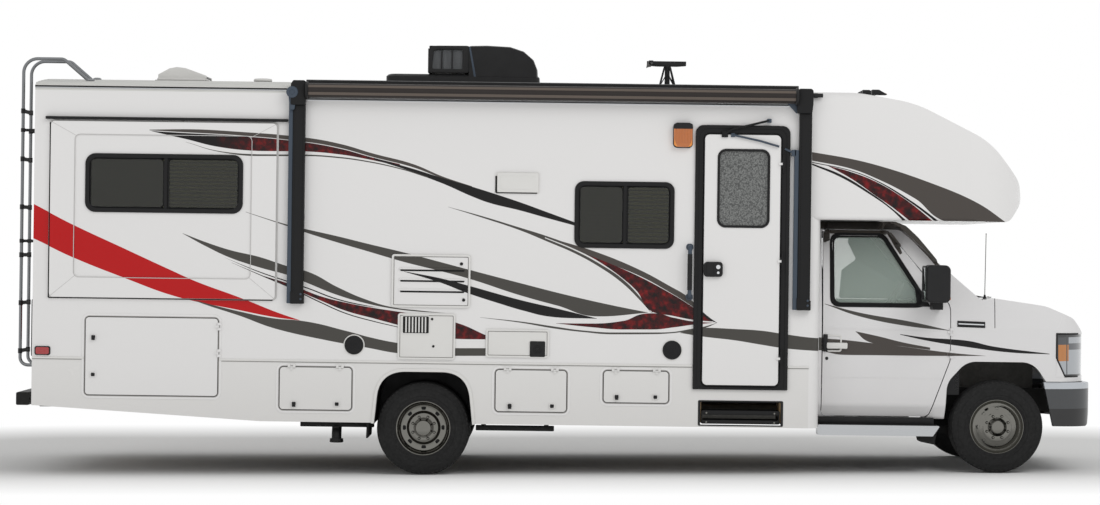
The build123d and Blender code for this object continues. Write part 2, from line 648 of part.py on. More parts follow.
def front_cap():
    """Moulded cab-over cap with its side wings down to the skirt."""
    rise = (ROOF_EDGE_Z - CAB_TOP_Z) / CAP_H
    side = [
        (SEAM_X, CAB_TOP_Z),
        (50, CAB_TOP_Z),
        (176, CAB_TOP_Z + 164 * rise),
        (150, CAB_TOP_Z + 309 * rise),
        (-120, ROOF_EDGE_Z - 368 * rise),
        (-700, ROOF_EDGE_Z - 78 * rise),
        (-1150, ROOF_EDGE_Z + 2),
        (SEAM_X, ROOF_EDGE_Z + 2),
    ]
    side_radii = [0] + [radius * rise for radius in (90, 120, 200, 700, 900, 900)] + [0]
    front = [
        (-HALF_W, CAB_TOP_Z),
        (-HALF_W, ROOF_EDGE_Z),
        (0, ROOF_EDGE_Z + ROOF_CROWN),
        (HALF_W, ROOF_EDGE_Z),
        (HALF_W, CAB_TOP_Z),
    ]
    front_radii = [30, 70, 0, 70, 30]
    plan = [(SEAM_X, -HALF_W), (180, -HALF_W), (180, HALF_W), (SEAM_X, HALF_W)]
    plan_radii = [0, 480, 480, 0]

    def form(inset):
        shape = across(outline(side, side_radii, inset), -SIDE_OUT, SIDE_OUT)
        shape &= along(outline(front, front_radii, inset), -1600, 400)
        return shape & upward(outline(plan, plan_radii, inset), 1800, 3100)

    cap = form(0) - form(WALL_T)
    cap -= slab(SEAM_X - 10, SEAM_X + WALL_T + 1, -HALF_W + WALL_T, HALF_W - WALL_T, CAB_TOP_Z + WALL_T, EAVES_Z)
    cap -= slab(SEAM_X - 10, -1180, -700, 700, 1900, 2100)
    wing_line = [
        ThreePointArc((SEAM_X, -HALF_W), (-1447, -HALF_W + 24), (-1422, -HALF_W + 90)),
        Line((-1422, -HALF_W + 90), (-1422, -CAB_HALF_W - 2)),
        Line((-1422, -CAB_HALF_W - 2), (SEAM_X, -CAB_HALF_W - 2)),
        Line((SEAM_X, -CAB_HALF_W - 2), (SEAM_X, -HALF_W)),
    ]
    wing = upward(make_face(Wire(wing_line)), SKIRT_Z, CAB_TOP_Z + 20)
    PARTS["front_cap"] = cap + wing + mirrored(wing)


def slide_out():
    """Slide-out bedroom box with its fascia and window."""
    x0, x1, z0, z1 = SLIDE["x0"], SLIDE["x1"], SLIDE["z0"], SLIDE["z1"]
    inset = SLIDE_LIP + 10
    face = across(rounded(x0, x1, z0, z1, 30), -HALF_W - SLIDE_FACE_T, -HALF_W)
    room = slab(x0 + inset, x1 - inset, -HALF_W - 5, -HALF_W + SLIDE_DEPTH, z0 + inset, z1 - inset)
    deep = inset + 35
    hollow = slab(x0 + deep, x1 - deep, -HALF_W + 15, -HALF_W + SLIDE_DEPTH + 10, z0 + deep, z1 - deep)
    rear, front, low, top = SLIDE_RIM
    panel = rounded(x0 + rear, x1 - front, z0 + low, z1 - top, 40)
    face -= across(panel, -SIDE_OUT, -HALF_W - SLIDE_FACE_T + SLIDE_PANEL_DEPTH)
    body = face + room - hollow
    view = rounded(*SLIDE_WINDOW[:4], SLIDE_WINDOW[4])
    face_y = HALF_W + SLIDE_FACE_T - SLIDE_PANEL_DEPTH
    frame, glass, opening = window_pair(view, *SLIDE_WINDOW, face_y, face_y - HALF_W + 15)
    body -= across(opening, -face_y - 10, -HALF_W + 100)
    PARTS["slideout"] = body
    PARTS["slideout_window"] = group(frame, glass)


def entry():
    """Entry door with its frame, glass, lock and grab handle, and the sliding step."""
    x0, x1, z0, z1 = DOOR_FRAME
    hole = rounded(x0 + FRAME_W, x1 - FRAME_W, z0 + 18, z1 - FRAME_W, 50)
    frame = across(rounded(x0, x1, z0, z1, 60), -HALF_W - 14, -HALF_W + WALL_T)
    frame -= across(hole, -SIDE_OUT, -SIDE_IN)
    grab = FilletPolyline(
        (-2433, -HALF_W, 1346),
        (-2433, -HALF_W - 60, 1346),
        (-2433, -HALF_W - 60, 1731),
        (-2433, -HALF_W, 1731),
        radius=28,
    )
    bar = sweep(Plane(origin=grab @ 0, z_dir=grab % 0) * Circle(13), path=grab)

    leaf_view = rounded(x0 + FRAME_W + GAP, x1 - FRAME_W - GAP, z0 + 18 + GAP, z1 - FRAME_W - GAP, 44)
    light = rounded(x0 + 180, x1 - 163, z1 - 779, z1 - 191, 60)
    leaf = across(leaf_view, -HALF_W - 20, -HALF_W + DOOR_LEAF_T - 20)
    leaf -= across(light, -SIDE_OUT, -SIDE_IN)
    leaf += fillet(slab(-2322, -2182, -HALF_W - 42, -HALF_W - 18, 1511, 1617).edges().filter_by(Axis.Y), 12)
    hinge_x = x1 - FRAME_W - GAP / 2
    for z in (z0 + 211, (z0 + z1) / 2 - 56, z1 - 323):
        leaf_half, fixed_half = hinge(upright_hinge(hinge_x, -HALF_W - 28, z), 10, 18)
        leaf += leaf_half
        frame += fixed_half
    PARTS["entry_door_frame"] = group(frame, bar)
    PARTS["entry_door"] = leaf
    PARTS["entry_door_glass"] = across(light, -HALF_W - 8, -HALF_W - 8 + GLASS_T)

    sx0, sx1, sz0, sz1 = STEP_WELL
    tread = slab(sx0 + 20, sx1 - 20, -HALF_W + 4, -STEP_INNER_Y, 440, 470)
    lower = slab(sx0 + 20, sx1 - 20, -HALF_W + 14, -STEP_INNER_Y, 372, 396)
    cheeks = slab(sx0 + 20, sx0 + 28, -HALF_W + 14, -STEP_INNER_Y, 372, 470)
    cheeks += slab(sx1 - 28, sx1 - 20, -HALF_W + 14, -STEP_INNER_Y, 372, 470)
    PARTS["entry_step"] = tread + lower + cheeks


def baggage_doors():
    """Five baggage doors with their latches."""
    for spec in BAGGAGE:
        name, side, x0, x1, z0, z1, hinge_edge = spec
        leaf = across(baggage_view(spec), -HALF_W - LID_PROUD, -HALF_W + 22)
        if hinge_edge == "top":
            spots = [(x0 + (x1 - x0) * share, z0 + 45) for share in (0.2, 0.8)]
        else:
            spots = [(x0 + 60, 980.0), (x0 + 60, 690.0)]
        for x, z in spots:
            leaf += slab(x - LATCH_W / 2, x + LATCH_W / 2, -HALF_W - LATCH_PROUD, -HALF_W, z - 18, z + 18)
        if hinge_edge == "top":
            planes = [level_hinge(x, -LID_HINGE_Y, z1 + GAP / 2) for x in (x0 + 120, x1 - 60)]
            wall_name = f"skirt_{side}"
        else:
            planes = [upright_hinge(x1 + GAP / 2, -LID_HINGE_Y, z) for z in (z0 + 300, z1 - 90)]
            wall_name = f"side_wall_{side}"
        wall = PARTS[wall_name]
        for plane in planes:
            leaf_half, fixed_half = hinge(plane, BARREL_R + 2, BARREL_R + LID_PROUD + 1)
            leaf += leaf_half
            wall += fixed_half if side == "right" else mirrored(fixed_half)
        PARTS[wall_name] = wall
        PARTS[name] = leaf if side == "right" else mirrored(leaf)


def fittings(roof):
    """Vents, awning, roof fittings, antenna, ladder and lamps."""
    # x0, x1, z0, z1, proud, slot x0, slot x1, slot z0, slot z1, slot count, upright slots
    vents = [
        (-4728, -4121, 1239, 1647, 18, -4690, -4160, 1275, 1610, 9, False),
        (-4676, -4232, 837, 1193, 14, -4637, -4435, 1042, 1171, 8, True),
        (-3996, -3507, 861, 1079, 14, -3671, -3538, 869, 990, 6, True),
        (-3942, -3601, 2125, 2290, 16, -3915, -3628, 2150, 2265, 4, False),
    ]
    plates = []
    for x0, x1, z0, z1, proud, sx0, sx1, sz0, sz1, count, upright in vents:
        plate = across(rounded(x0, x1, z0, z1, 18), -HALF_W - proud, -HALF_W)
        for i in range(count):
            if upright:
                pitch = (sx1 - sx0) / count
                low = sx0 + pitch * i
                plate -= slab(low + 5, low + pitch - 5, -HALF_W - 40, -HALF_W - 4, sz0 + 6, sz1 - 6)
            else:
                pitch = (sz1 - sz0) / count
                low = sz0 + pitch * i
                plate -= slab(sx0, sx1, -HALF_W - 40, -HALF_W - 4, low + 8, low + pitch - 8)
        plates.append(plate)
    PARTS["side_vents"] = group(*plates)

    tube_y, tube_z, tube_r = -HALF_W - 75, ROOF_EDGE_Z - 41, 57.0
    roll = along(Pos(tube_y, tube_z) * Circle(tube_r), -5395, -1620)
    arms = []
    for x0, x1, top in ((-5535, -5400, ROOF_EDGE_Z + 37), (-1615, -1490, ROOF_EDGE_Z + 22)):
        arm = slab(x0, x1, -HALF_W - 62, -HALF_W, 1255, top)
        arm -= slab(x0 + 60, x1 - 30, -HALF_W - 80, -HALF_W - 20, 1300, top - 160)
        arms.append(arm)
    roll += along(Pos(tube_y, tube_z) * Circle(tube_r + 9), -5398, -5380)
    roll += along(Pos(tube_y, tube_z) * Circle(tube_r + 9), -1635, -1617)
    stub = along(Pos(tube_y + 20, tube_z) * Circle(20), -5450, -1560)
    PARTS["awning"] = roll + stub + arms[0] + arms[1]

    foot = ROOF_EDGE_Z + 12  # under the crown, so that each piece is cut to the roof's curve
    ac_points = [
        (-4843, foot),
        (-4843, foot + 115),
        (-4764, foot + 155),
        (-4545, foot + 155),
        (-4500, foot + 372),
        (-3829, foot + 384),
        (-3625, foot + 130),
        (-3625, foot),
    ]
    ac_view = outline(ac_points, [0, 15, 15, 20, 40, 90, 30, 0])
    unit = across(ac_view, -350, 350) - roof
    lid_points = [(-6701, foot), (-6701, foot + 110), (-6564, foot + 185), (-6294, foot + 100), (-6294, foot)]
    lid_view = outline(lid_points, [0, 8, 8, 8, 0])
    lid = across(lid_view, -180, 180) - roof
    cap = Pos(-5863, 0, foot + 60) * Cylinder(73, 90) - roof
    mast_base = slab(-2660, -2480, -70, 70, foot, foot + 95) - roof
    mast = Pos(-2576, 0, foot + 150) * Cylinder(22, 180)
    PARTS["roof_fittings"] = group(
        unit.solids().sort_by(Axis.Z)[-1],
        lid.solids().sort_by(Axis.Z)[-1],
        cap.solids().sort_by(Axis.Z)[-1],
        (mast_base + mast - roof).solids().sort_by(Axis.Z)[-1],
    )
    head = slab(-2742, -2424, -25, 25, foot + 255, foot + 290)
    head += both(slab(-2735, -2700, 20, 300, foot + 262, foot + 278))
    head += Pos(-2576, 0, foot + 248) * Cylinder(30, 15)
    PARTS["antenna_head"] = head

    rail_x = -7633.0
    rungs = [855.0 + 374.0 * i for i in range(6)]
    ladder = None
    for y in (-1000.0, -650.0):
        path = FilletPolyline(
            (REAR_X, y, 745),
            (rail_x, y, 745),
            (rail_x, y, ROOF_EDGE_Z + 196),
            (-7320, y, ROOF_EDGE_Z + 196),
            (-7116, y, ROOF_EDGE_Z + 22),
            radius=[60, 110, 60],
        )
        rail = sweep(Plane(origin=path @ 0, z_dir=path % 0) * Circle(13), path=path)
        ladder = rail if ladder is None else ladder + rail
        for z in (1712.0, 2576.0):
            ladder += rod((rail_x, y, z), (REAR_X, y, z), 9)
    for z in rungs:
        ladder += rod((rail_x, -1000, z), (rail_x, -650, z), 12)
    PARTS["ladder"] = ladder - roof

    porch_top = EAVES_Z - 200
    lens = [across(rounded(-2567, -2426, porch_top - 175, porch_top, 25), -HALF_W - 45, -HALF_W)]
    lens.append(across(rounded(-7463, -7362, 842, 895, 12), -HALF_W - 18, -HALF_W))
    lens.append(mirrored(lens[1]))
    lamp_y = HALF_W - 140
    for y in (-lamp_y, lamp_y - 160):
        lens.append(along(rounded(y, y + 160, 830, 1250, 20), REAR_X - 25, REAR_X))
    PARTS["lamps"] = group(*HEADLAMPS, *lens)


# ---------------------------------------------------------------- chassis
def chassis():
    """Ladder frame, suspension, axle, engine, tanks and rear bumper."""
    low, high = CAB_RAIL_Z, COACH_RAIL_Z
    view = outline(
        [
            (RAIL_FRONT_X, low),
            (RAIL_FRONT_X, low + RAIL_H),
            (KICK_FRONT_X, low + RAIL_H),
            (KICK_REAR_X, high + RAIL_H),
            (RAIL_REAR_X, high + RAIL_H),
            (RAIL_REAR_X, high),
            (KICK_REAR_X, high),
            (KICK_FRONT_X, low),
        ]
    )
    rail = across(view, -RAIL_Y, -RAIL_Y + RAIL_W)
    rail -= across(offset(view, amount=-RAIL_T), -RAIL_Y + RAIL_T, 0)
    frame = rail + mirrored(rail)
    web = RAIL_Y - RAIL_T
    # crossmember x, z, height
    members = [
        (430, low + 20, 90),
        (-1180, low - 64, GEARBOX_LOW_Z - low + 64 - TOUCH),
        (-2050, high + 30, 110),
        (-3000, high + 30, 110),
        (-3700, high + 30, 110),
        (-5200, high + 30, 110),
        (-6450, high + 30, 110),
        (-7350, high + 30, 110),
    ]
    for x, z, height in members:
        frame += slab(x - 40, x + 40, -web, web, z, z + height)
    gearbox_hangers = slab(-1220, -1140, web - 60, web, low - 30, low + 10)
    frame += gearbox_hangers + mirrored(gearbox_hangers)
    for x in (-2200, -3500, -5150, -6700):
        frame += slab(x - 60, x + 60, -RAIL_Y, RAIL_Y, high + RAIL_H, BELT_Z) - slab(
            x - 90, x + 90, -RAIL_Y + RAIL_W, RAIL_Y - RAIL_W, high, BELT_Z + 10
        )
    cradle = slab(-75, 75, -web, web, low - 90, low + 40) - slab(-90, 90, -300, 300, low - 20, low + 60)
    towers = slab(-70, 70, RAIL_Y - 1, 595, low + 120, low + RAIL_H)
    towers += slab(-940, -860, RAIL_Y - 1, 560, 330, low + 60)
    frame += cradle + towers + mirrored(towers)
    PARTS["frame_rails"] = frame

    beam_x, beam_z = FRONT_X, FRONT_Z
    beams = []
    for sign, lead in ((-1.0, -52.0), (1.0, 4.0)):
        view = outline(
            [
                (sign * KINGPIN_Y, beam_z + 45),
                (sign * KINGPIN_Y, beam_z - 45),
                (sign * (KINGPIN_Y - 60), beam_z - 45),
                (sign * 600, beam_z - 85),
                (sign * -170, beam_z - 75),
                (sign * -170, beam_z - 5),
                (sign * 600, beam_z - 15),
                (sign * (KINGPIN_Y - 60), beam_z + 45),
            ]
        )
        beam = along(view, beam_x + lead, beam_x + lead + 48)
        eye = Pos(beam_x, sign * KINGPIN_Y, beam_z) * Cylinder(34, 90)
        block_y0, block_y1 = sorted((sign * (KINGPIN_Y - 60), sign * KINGPIN_Y))
        web_block = slab(beam_x - 34, beam_x + 34, block_y0, block_y1, beam_z - 45, beam_z + 45)
        beam = beam + eye + web_block
        beam -= Pos(beam_x, sign * KINGPIN_Y, beam_z) * Cylinder(STEER_R + BEARING_FIT, 120)
        arm = slab(-860, beam_x + 30, *sorted((sign * 505, sign * 545)), beam_z - 80, beam_z - 25)
        spring_foot = beam_z - 20
        coil = Pos(0, sign * 525, (spring_foot + low + 120) / 2) * Cylinder(60, low + 120 - spring_foot)
        coil -= Pos(0, sign * 525, (spring_foot + low + 120) / 2) * Cylinder(46, low + 122 - spring_foot + 200)
        beams.append(beam + arm + coil)
    PARTS["front_suspension"] = group(*beams)

    tube_end = TWIN_INNER_Y + 92
    axle = rod((REAR_AXLE_X, -tube_end, REAR_AXLE_Z), (REAR_AXLE_X, tube_end, REAR_AXLE_Z), 55)
    bowl = [(-150, 0), (-150, 90), (-60, 170), (60, 170), (150, 90), (150, 0)]
    axle += turned(bowl, (REAR_AXLE_X, 0, REAR_AXLE_Z))
    axle += rod((REAR_AXLE_X, -1090, REAR_AXLE_Z), (REAR_AXLE_X, 1090, REAR_AXLE_Z), SPINDLE_R)
    axle += rod((REAR_AXLE_X, 0, REAR_AXLE_Z), (REAR_AXLE_X + 280, 0, REAR_AXLE_Z + 18), 70)
    shaft = rod((REAR_AXLE_X, 0, REAR_AXLE_Z), (GEARBOX_REAR_X + 100, 0, 540), 38)
    axle += shaft & slab(REAR_AXLE_X, GEARBOX_REAR_X, -200, 200, 0, 900)
    for sign in (-1.0, 1.0):
        y0, y1 = sorted((sign * (RAIL_Y + 8), sign * (RAIL_Y + 84)))
        front_eye = (REAR_AXLE_X + 640, 520.0)
        rear_eye = (REAR_AXLE_X - 700, 520.0)
        arc_top = ThreePointArc(front_eye, (REAR_AXLE_X, REAR_AXLE_Z + 120), rear_eye)
        arc_low = ThreePointArc(
            (rear_eye[0], rear_eye[1] - 26), (REAR_AXLE_X, REAR_AXLE_Z + 50), (front_eye[0], front_eye[1] - 26)
        )
        leaf_view = make_face(
            Wire([arc_top, Line(arc_top @ 1, arc_low @ 0), arc_low, Line(arc_low @ 1, arc_top @ 0)])
        )
        axle += across(leaf_view, y0, y1)
        for x in (front_eye[0] - 30, rear_eye[0] - 10):
            hy0, hy1 = sorted((sign * RAIL_Y, sign * (RAIL_Y + 84)))
            axle += slab(x, x + 40, hy0, hy1, 490, high + 90)
    PARTS["rear_axle"] = axle

    engine = slab(-560, 380, -290, 290, 480, 1040) + slab(-60, 60, -300, 300, low + 22, low + 38)
    gearbox = slab(GEARBOX_REAR_X, -560, -150, 150, GEARBOX_LOW_Z, CAB_FLOOR_Z - 8)
    route = FilletPolyline(
        (-700, -140, 480),
        (-800, -300, EXHAUST_Z),
        (-1300, -540, EXHAUST_Z),
        (-1600, EXHAUST_Y, 420),
        (-3150, EXHAUST_Y, 420),
        (-3420, EXHAUST_Y, EXHAUST_Z),
        (-4020, EXHAUST_Y, EXHAUST_Z),
        (-4250, EXHAUST_Y, 455),
        (-4700, EXHAUST_Y, 455),
        (-4950, EXHAUST_Y, EXHAUST_Z),
        (-5430, EXHAUST_Y, EXHAUST_Z),
        radius=80,
    )
    exhaust = sweep(Plane(origin=route @ 0, z_dir=route % 0) * Circle(EXHAUST_R), path=route)
    exhaust += rod((-1700, EXHAUST_Y, 420), (-2300, EXHAUST_Y, 420), 80)
    for x, z in ((-3230, 455), (-4960, EXHAUST_Z)):
        exhaust += slab(x - 10, x + 10, EXHAUST_Y - 6, EXHAUST_Y + 6, z, BELT_Z)
    PARTS["powertrain"] = engine + gearbox + exhaust

    fuel = slab(-6320, -5290, -330, 330, 480, BELT_Z)
    tank_y = HALF_W - SKIRT_T - 60
    drain_y = tank_y - 80
    grey = slab(-3150, -2400, 470, tank_y, 480, BELT_Z)
    black = slab(-3950, -3250, 530, tank_y, 480, BELT_Z)
    drain = rod((-3700, drain_y, 400), (-3700, drain_y, 482), 45)
    drain += rod((-2700, drain_y, 400), (-2700, drain_y, 482), 45)
    drain += rod((-3700, drain_y, 400), (-2650, drain_y, 400), 42)
    tanks = [fillet(tank.edges().filter_by(Axis.Z), 40) for tank in (fuel, grey, black)]
    PARTS["tanks"] = group(tanks[0], tanks[1] + tanks[2] + drain)

    bumper = slab(-7643, -7541, -HALF_W + 170, HALF_W - 170, 437, 537)
    bumper = fillet(bumper.edges().filter_by(Axis.Y), 12)
    plate = slab(-7600, -7400, RAIL_Y, RAIL_Y + 12, 437, COACH_RAIL_Z + RAIL_H)
    bumper += plate + mirrored(plate)
    bumper += slab(-7470, -7400, -RAIL_Y, RAIL_Y, 437, 500)
    tube = slab(-7640, -7400, -31.75, 31.75, 370, 433.5)
    bumper += tube + slab(-7470, -7400, -60, 60, 380, 440)
    bumper -= slab(-7700, -7430, -25.4, 25.4, 376.35, 427.15)
    bumper -= Pos(-7595, 0, 401.75) * Rot(90, 0, 0) * Cylinder(8, 200)
    PARTS["rear_bumper"] = bumper


# ---------------------------------------------------------------- wheels
def wheels():
    """Tyres, rims and front knuckles."""
    def tyre(centre):
        """Tyre as a closed ring of rubber from bead to tread."""
        half = TYRE_HALF_W
        section = [
            (-BEAD_HALF_W, RIM_R + TOUCH),
            (-half, 280),
            (-half + 20, TYRE_R),
            (half - 20, TYRE_R),
            (half, 280),
            (BEAD_HALF_W, RIM_R + TOUCH),
        ]
        return turned(section, centre)

    barrel = [(-88, RIM_R), (-88, RIM_R - 12), (88, RIM_R - 12), (88, RIM_R)]

    front = (FRONT_X, -FRONT_TRACK_Y, FRONT_Z)
    bore_r = SPINDLE_R + BEARING_FIT
    # sections as (y, radius) from the wheel plane, outboard negative
    disc = [(-86, 192), (-86, 180), (-110, 120), (-118, 70), (-150, 68), (-150, bore_r), (20, bore_r), (20, 62),
            (-96, 62), (-96, 112), (-72, 172), (-72, 192)]
    brake = [(-6, 60), (-6, 160), (16, 160), (16, 60)]
    cap = [(-158, 0), (-158, 60), (-149, 60), (-149, 0)]
    front_rim = turned(barrel, front) + turned(disc, front) + turned(brake, front) + turned(cap, front)

    kingpin = (FRONT_X, -KINGPIN_Y, FRONT_Z)
    knuckle = Pos(*kingpin) * Cylinder(STEER_R, 200)
    for sign in (-1.0, 1.0):
        knuckle += Pos(FRONT_X, -KINGPIN_Y, FRONT_Z + sign * 78) * Cylinder(36, 64)
        z0, z1 = sorted((FRONT_Z + sign * 46, FRONT_Z + sign * 110))
        knuckle += slab(FRONT_X - 36, FRONT_X + 36, -KINGPIN_Y - 36, -KINGPIN_Y - 1, z0, z1)
    knuckle += slab(
        FRONT_X - 36, FRONT_X + 36, -KINGPIN_Y - 39, -KINGPIN_Y - 35, FRONT_Z - 110, FRONT_Z + 110
    )
    knuckle += rod((FRONT_X, -KINGPIN_Y - 37, FRONT_Z), (FRONT_X, -FRONT_TRACK_Y - 140, FRONT_Z), SPINDLE_R)

    outer = (REAR_AXLE_X, -TWIN_OUTER_Y, REAR_AXLE_Z)
    inner = (REAR_AXLE_X, -TWIN_INNER_Y, REAR_AXLE_Z)
    spacing = TWIN_OUTER_Y - TWIN_INNER_Y
    barrel_r = RIM_R - 12
    half_rim = 88
    middle = spacing / 2
    # both twin rims in one section, from the outer lip inward, discs bolted together midway
    twin = [
        (-half_rim, RIM_R),
        (-half_rim, barrel_r),
        (half_rim - 16, barrel_r),
        (middle - 12, 150),
        (middle - 12, 62),
        (-30, 62),
        (-30, bore_r),
        (middle + 28, bore_r),
        (middle + 28, 62),
        (middle + 12, 62),
        (middle + 12, 150),
        (spacing - half_rim + 16, barrel_r),
        (spacing + half_rim, barrel_r),
        (spacing + half_rim, RIM_R),
        (spacing - half_rim, RIM_R),
        (spacing - half_rim, RIM_R - 7),
        (middle + 4, 158),
        (middle - 4, 158),
        (half_rim, RIM_R - 7),
        (half_rim, RIM_R),
    ]
    rear_rims = turned(twin, outer) + turned([(-40, 0), (-40, 50), (-30, 62), (-30, 0)], outer)

    for side, place in (("right", lambda s: s), ("left", mirrored)):
        PARTS[f"tyre_front_{side}"] = place(tyre(front))
        PARTS[f"rim_front_{side}"] = place(front_rim)
        PARTS[f"knuckle_{side}"] = place(knuckle)
        PARTS[f"tyres_rear_{side}"] = place(group(tyre(outer), tyre(inner)))
        PARTS[f"rims_rear_{side}"] = place(rear_rims)


def write_parts():
    """Turn every piece by the rake, shift it to the middle of the vehicle and write it."""
    os.makedirs("parts", exist_ok=True)
    for name, shape in PARTS.items():
        placed = Pos(FRONT_AXLE_X, 0, 0) * Rot(0, RAKE, 0) * shape
        export_step(placed, f"parts/{name}.step")


cab()
ROOF = coach()
front_cap()
slide_out()
entry()
baggage_doors()
fittings(ROOF)
chassis()
wheels()
write_parts()
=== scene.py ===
"""Looks of a class C motorhome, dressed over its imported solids.

Sizes are in millimetres. Pieces of the coach and cab are given in the body's own frame, which
sits nose down by RAKE_DEG and has its origin on the ground under the front axle. Wheels are given
in the level frame of the solids. Both are turned to metres as a piece is made. X runs forward, Y
to the driver's side and Z up.
"""

from __future__ import annotations

import json
import logging
import math
from dataclasses import dataclass
from enum import Enum
from typing import Any, Iterable, Sequence

import bmesh
import bpy
from mathutils import Matrix, Vector
from mathutils.bvhtree import BVHTree

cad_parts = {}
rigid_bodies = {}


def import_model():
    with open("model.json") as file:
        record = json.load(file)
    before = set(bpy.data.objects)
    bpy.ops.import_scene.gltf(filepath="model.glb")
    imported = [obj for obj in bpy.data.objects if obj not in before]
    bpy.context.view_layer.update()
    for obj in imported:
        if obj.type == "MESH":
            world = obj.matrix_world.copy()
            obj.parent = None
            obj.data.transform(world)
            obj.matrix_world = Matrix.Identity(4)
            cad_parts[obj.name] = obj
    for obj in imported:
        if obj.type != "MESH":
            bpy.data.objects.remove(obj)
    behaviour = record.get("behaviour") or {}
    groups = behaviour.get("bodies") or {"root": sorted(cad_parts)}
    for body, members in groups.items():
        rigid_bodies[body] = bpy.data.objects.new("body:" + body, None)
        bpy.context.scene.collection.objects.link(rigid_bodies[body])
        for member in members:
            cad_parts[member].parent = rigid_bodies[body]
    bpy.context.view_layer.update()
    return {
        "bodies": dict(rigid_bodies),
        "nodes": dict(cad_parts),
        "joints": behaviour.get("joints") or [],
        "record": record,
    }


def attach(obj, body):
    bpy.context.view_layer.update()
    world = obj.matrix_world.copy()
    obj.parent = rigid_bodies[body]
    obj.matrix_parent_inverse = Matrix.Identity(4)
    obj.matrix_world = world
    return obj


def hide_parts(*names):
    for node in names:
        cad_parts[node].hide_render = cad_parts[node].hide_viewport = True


LOG = logging.getLogger("motorhome")

Point = tuple[float, float, float]
Loop = list[tuple[float, float]]
Tree = bpy.types.NodeTree
Socket = bpy.types.NodeSocket

RAKE_DEG = 0.75
FRONT_AXLE_X = 3445
MM = 0.001  # one millimetre in metres

HALF_W = 1270  # outer face of the coach walls
REAR_X = -7495  # outer face of the rear wall
SEAM_X = -1505  # joint of the coach and the cab's cap
BELT_Z = 803  # lower edge of the walls
ROOF_EDGE_Z = 2938
ROOF_CROWN = 80  # rise of the roof from its edges to its middle
LADDER_X = -7633  # middle of the ladder's uprights
LADDER_RAILS_Y = (-1000, -650)


class Space(Enum):
    """Frame in which a piece's sizes are given."""

    BODY = "body"
    LEVEL = "level"


class Side(Enum):
    """Side of the vehicle, with the sign of Y on it."""

    RIGHT = -1
    LEFT = 1

    @property
    def word(self) -> str:
        """Name of the side as the solids use it."""
        return self.name.lower()


def placing(space: Space) -> Matrix:
    """Matrix from millimetres in a piece's frame to metres in the frame of the solids."""
    scale = Matrix.Scale(MM, 4)
    if space is Space.LEVEL:
        return scale
    turn = Matrix.Rotation(math.radians(RAKE_DEG), 4, "Y")
    return Matrix.Translation((FRONT_AXLE_X * MM, 0, 0)) @ turn @ scale


def crown(y: float) -> float:
    """Height of the roof's top at a distance from the middle."""
    return ROOF_EDGE_Z + ROOF_CROWN * (1 - (y / HALF_W) ** 2)


# ------------------------------------------------------------------------------------- shader nodes
def linear(hex_code: str, alpha: float = 1) -> tuple[float, float, float, float]:
    """Turn an sRGB hex colour into linear numbers.

    Args:
        hex_code: Colour as "#RRGGBB".
        alpha: Fourth number of the result.

    Returns:
        Linear red, green, blue and alpha.
    """
    parts = [int(hex_code[i : i + 2], 16) / 255 for i in (1, 3, 5)]
    red, green, blue = [c / 12.92 if c <= 0.04045 else ((c + 0.055) / 1.055) ** 2.4 for c in parts]
    return red, green, blue, alpha


def add_node(
    tree: Tree,
    kind: str,
    settings: dict[str, Any] | None = None,
    inputs: dict[str | int, Any] | None = None,
) -> bpy.types.Node:
    """Add a node with its settings and links.

    Args:
        tree: Node tree that gets it.
        kind: Type name after "ShaderNode".
        settings: Attribute values.
        inputs: Socket values, or the output sockets that they are linked to.

    Returns:
        The new node.
    """
    node = tree.nodes.new(kind if "Node" in kind else "ShaderNode" + kind)
    for key, value in (settings or {}).items():
        setattr(node, key, value)
    for key, value in (inputs or {}).items():
        if isinstance(value, bpy.types.NodeSocket):
            tree.links.new(value, node.inputs[key])
        else:
            node.inputs[key].default_value = value
    return node


def noise(tree: Tree, size_mm: float, detail: float, vector: Socket) -> Socket:
    """Noise whose patches are about size_mm across."""
    scale = 1 / (size_mm * MM)
    inputs = {"Vector": vector, "Scale": scale, "Detail": detail, "Roughness": 0.55}
    return add_node(tree, "TexNoise", {}, inputs).outputs["Fac"]


def maths(tree: Tree, operation: str, *values: Any, clamp: bool = False) -> Socket:
    """Result of an operation on numbers or sockets."""
    settings = {"operation": operation, "use_clamp": clamp}
    return add_node(tree, "Math", settings, dict(enumerate(values))).outputs[0]


def remap(tree: Tree, value: Socket, *limits: float, clamp: bool = True) -> Socket:
    """Value carried over from one span to another, each given by its ends."""
    inputs = dict(enumerate((value, *limits)))
    return add_node(tree, "MapRange", {"clamp": clamp}, inputs).outputs[0]


def blend(tree: Tree, share: Any, under: Any, over: Any) -> Socket:
    """Colour between two colours."""
    return add_node(tree, "Mix", {"data_type": "RGBA"}, {0: share, 6: under, 7: over}).outputs[2]


def mingle(tree: Tree, share: Any, under: Socket, over: Socket) -> Socket:
    """Closure between two closures."""
    return add_node(tree, "MixShader", {}, {0: share, 1: under, 2: over}).outputs[0]


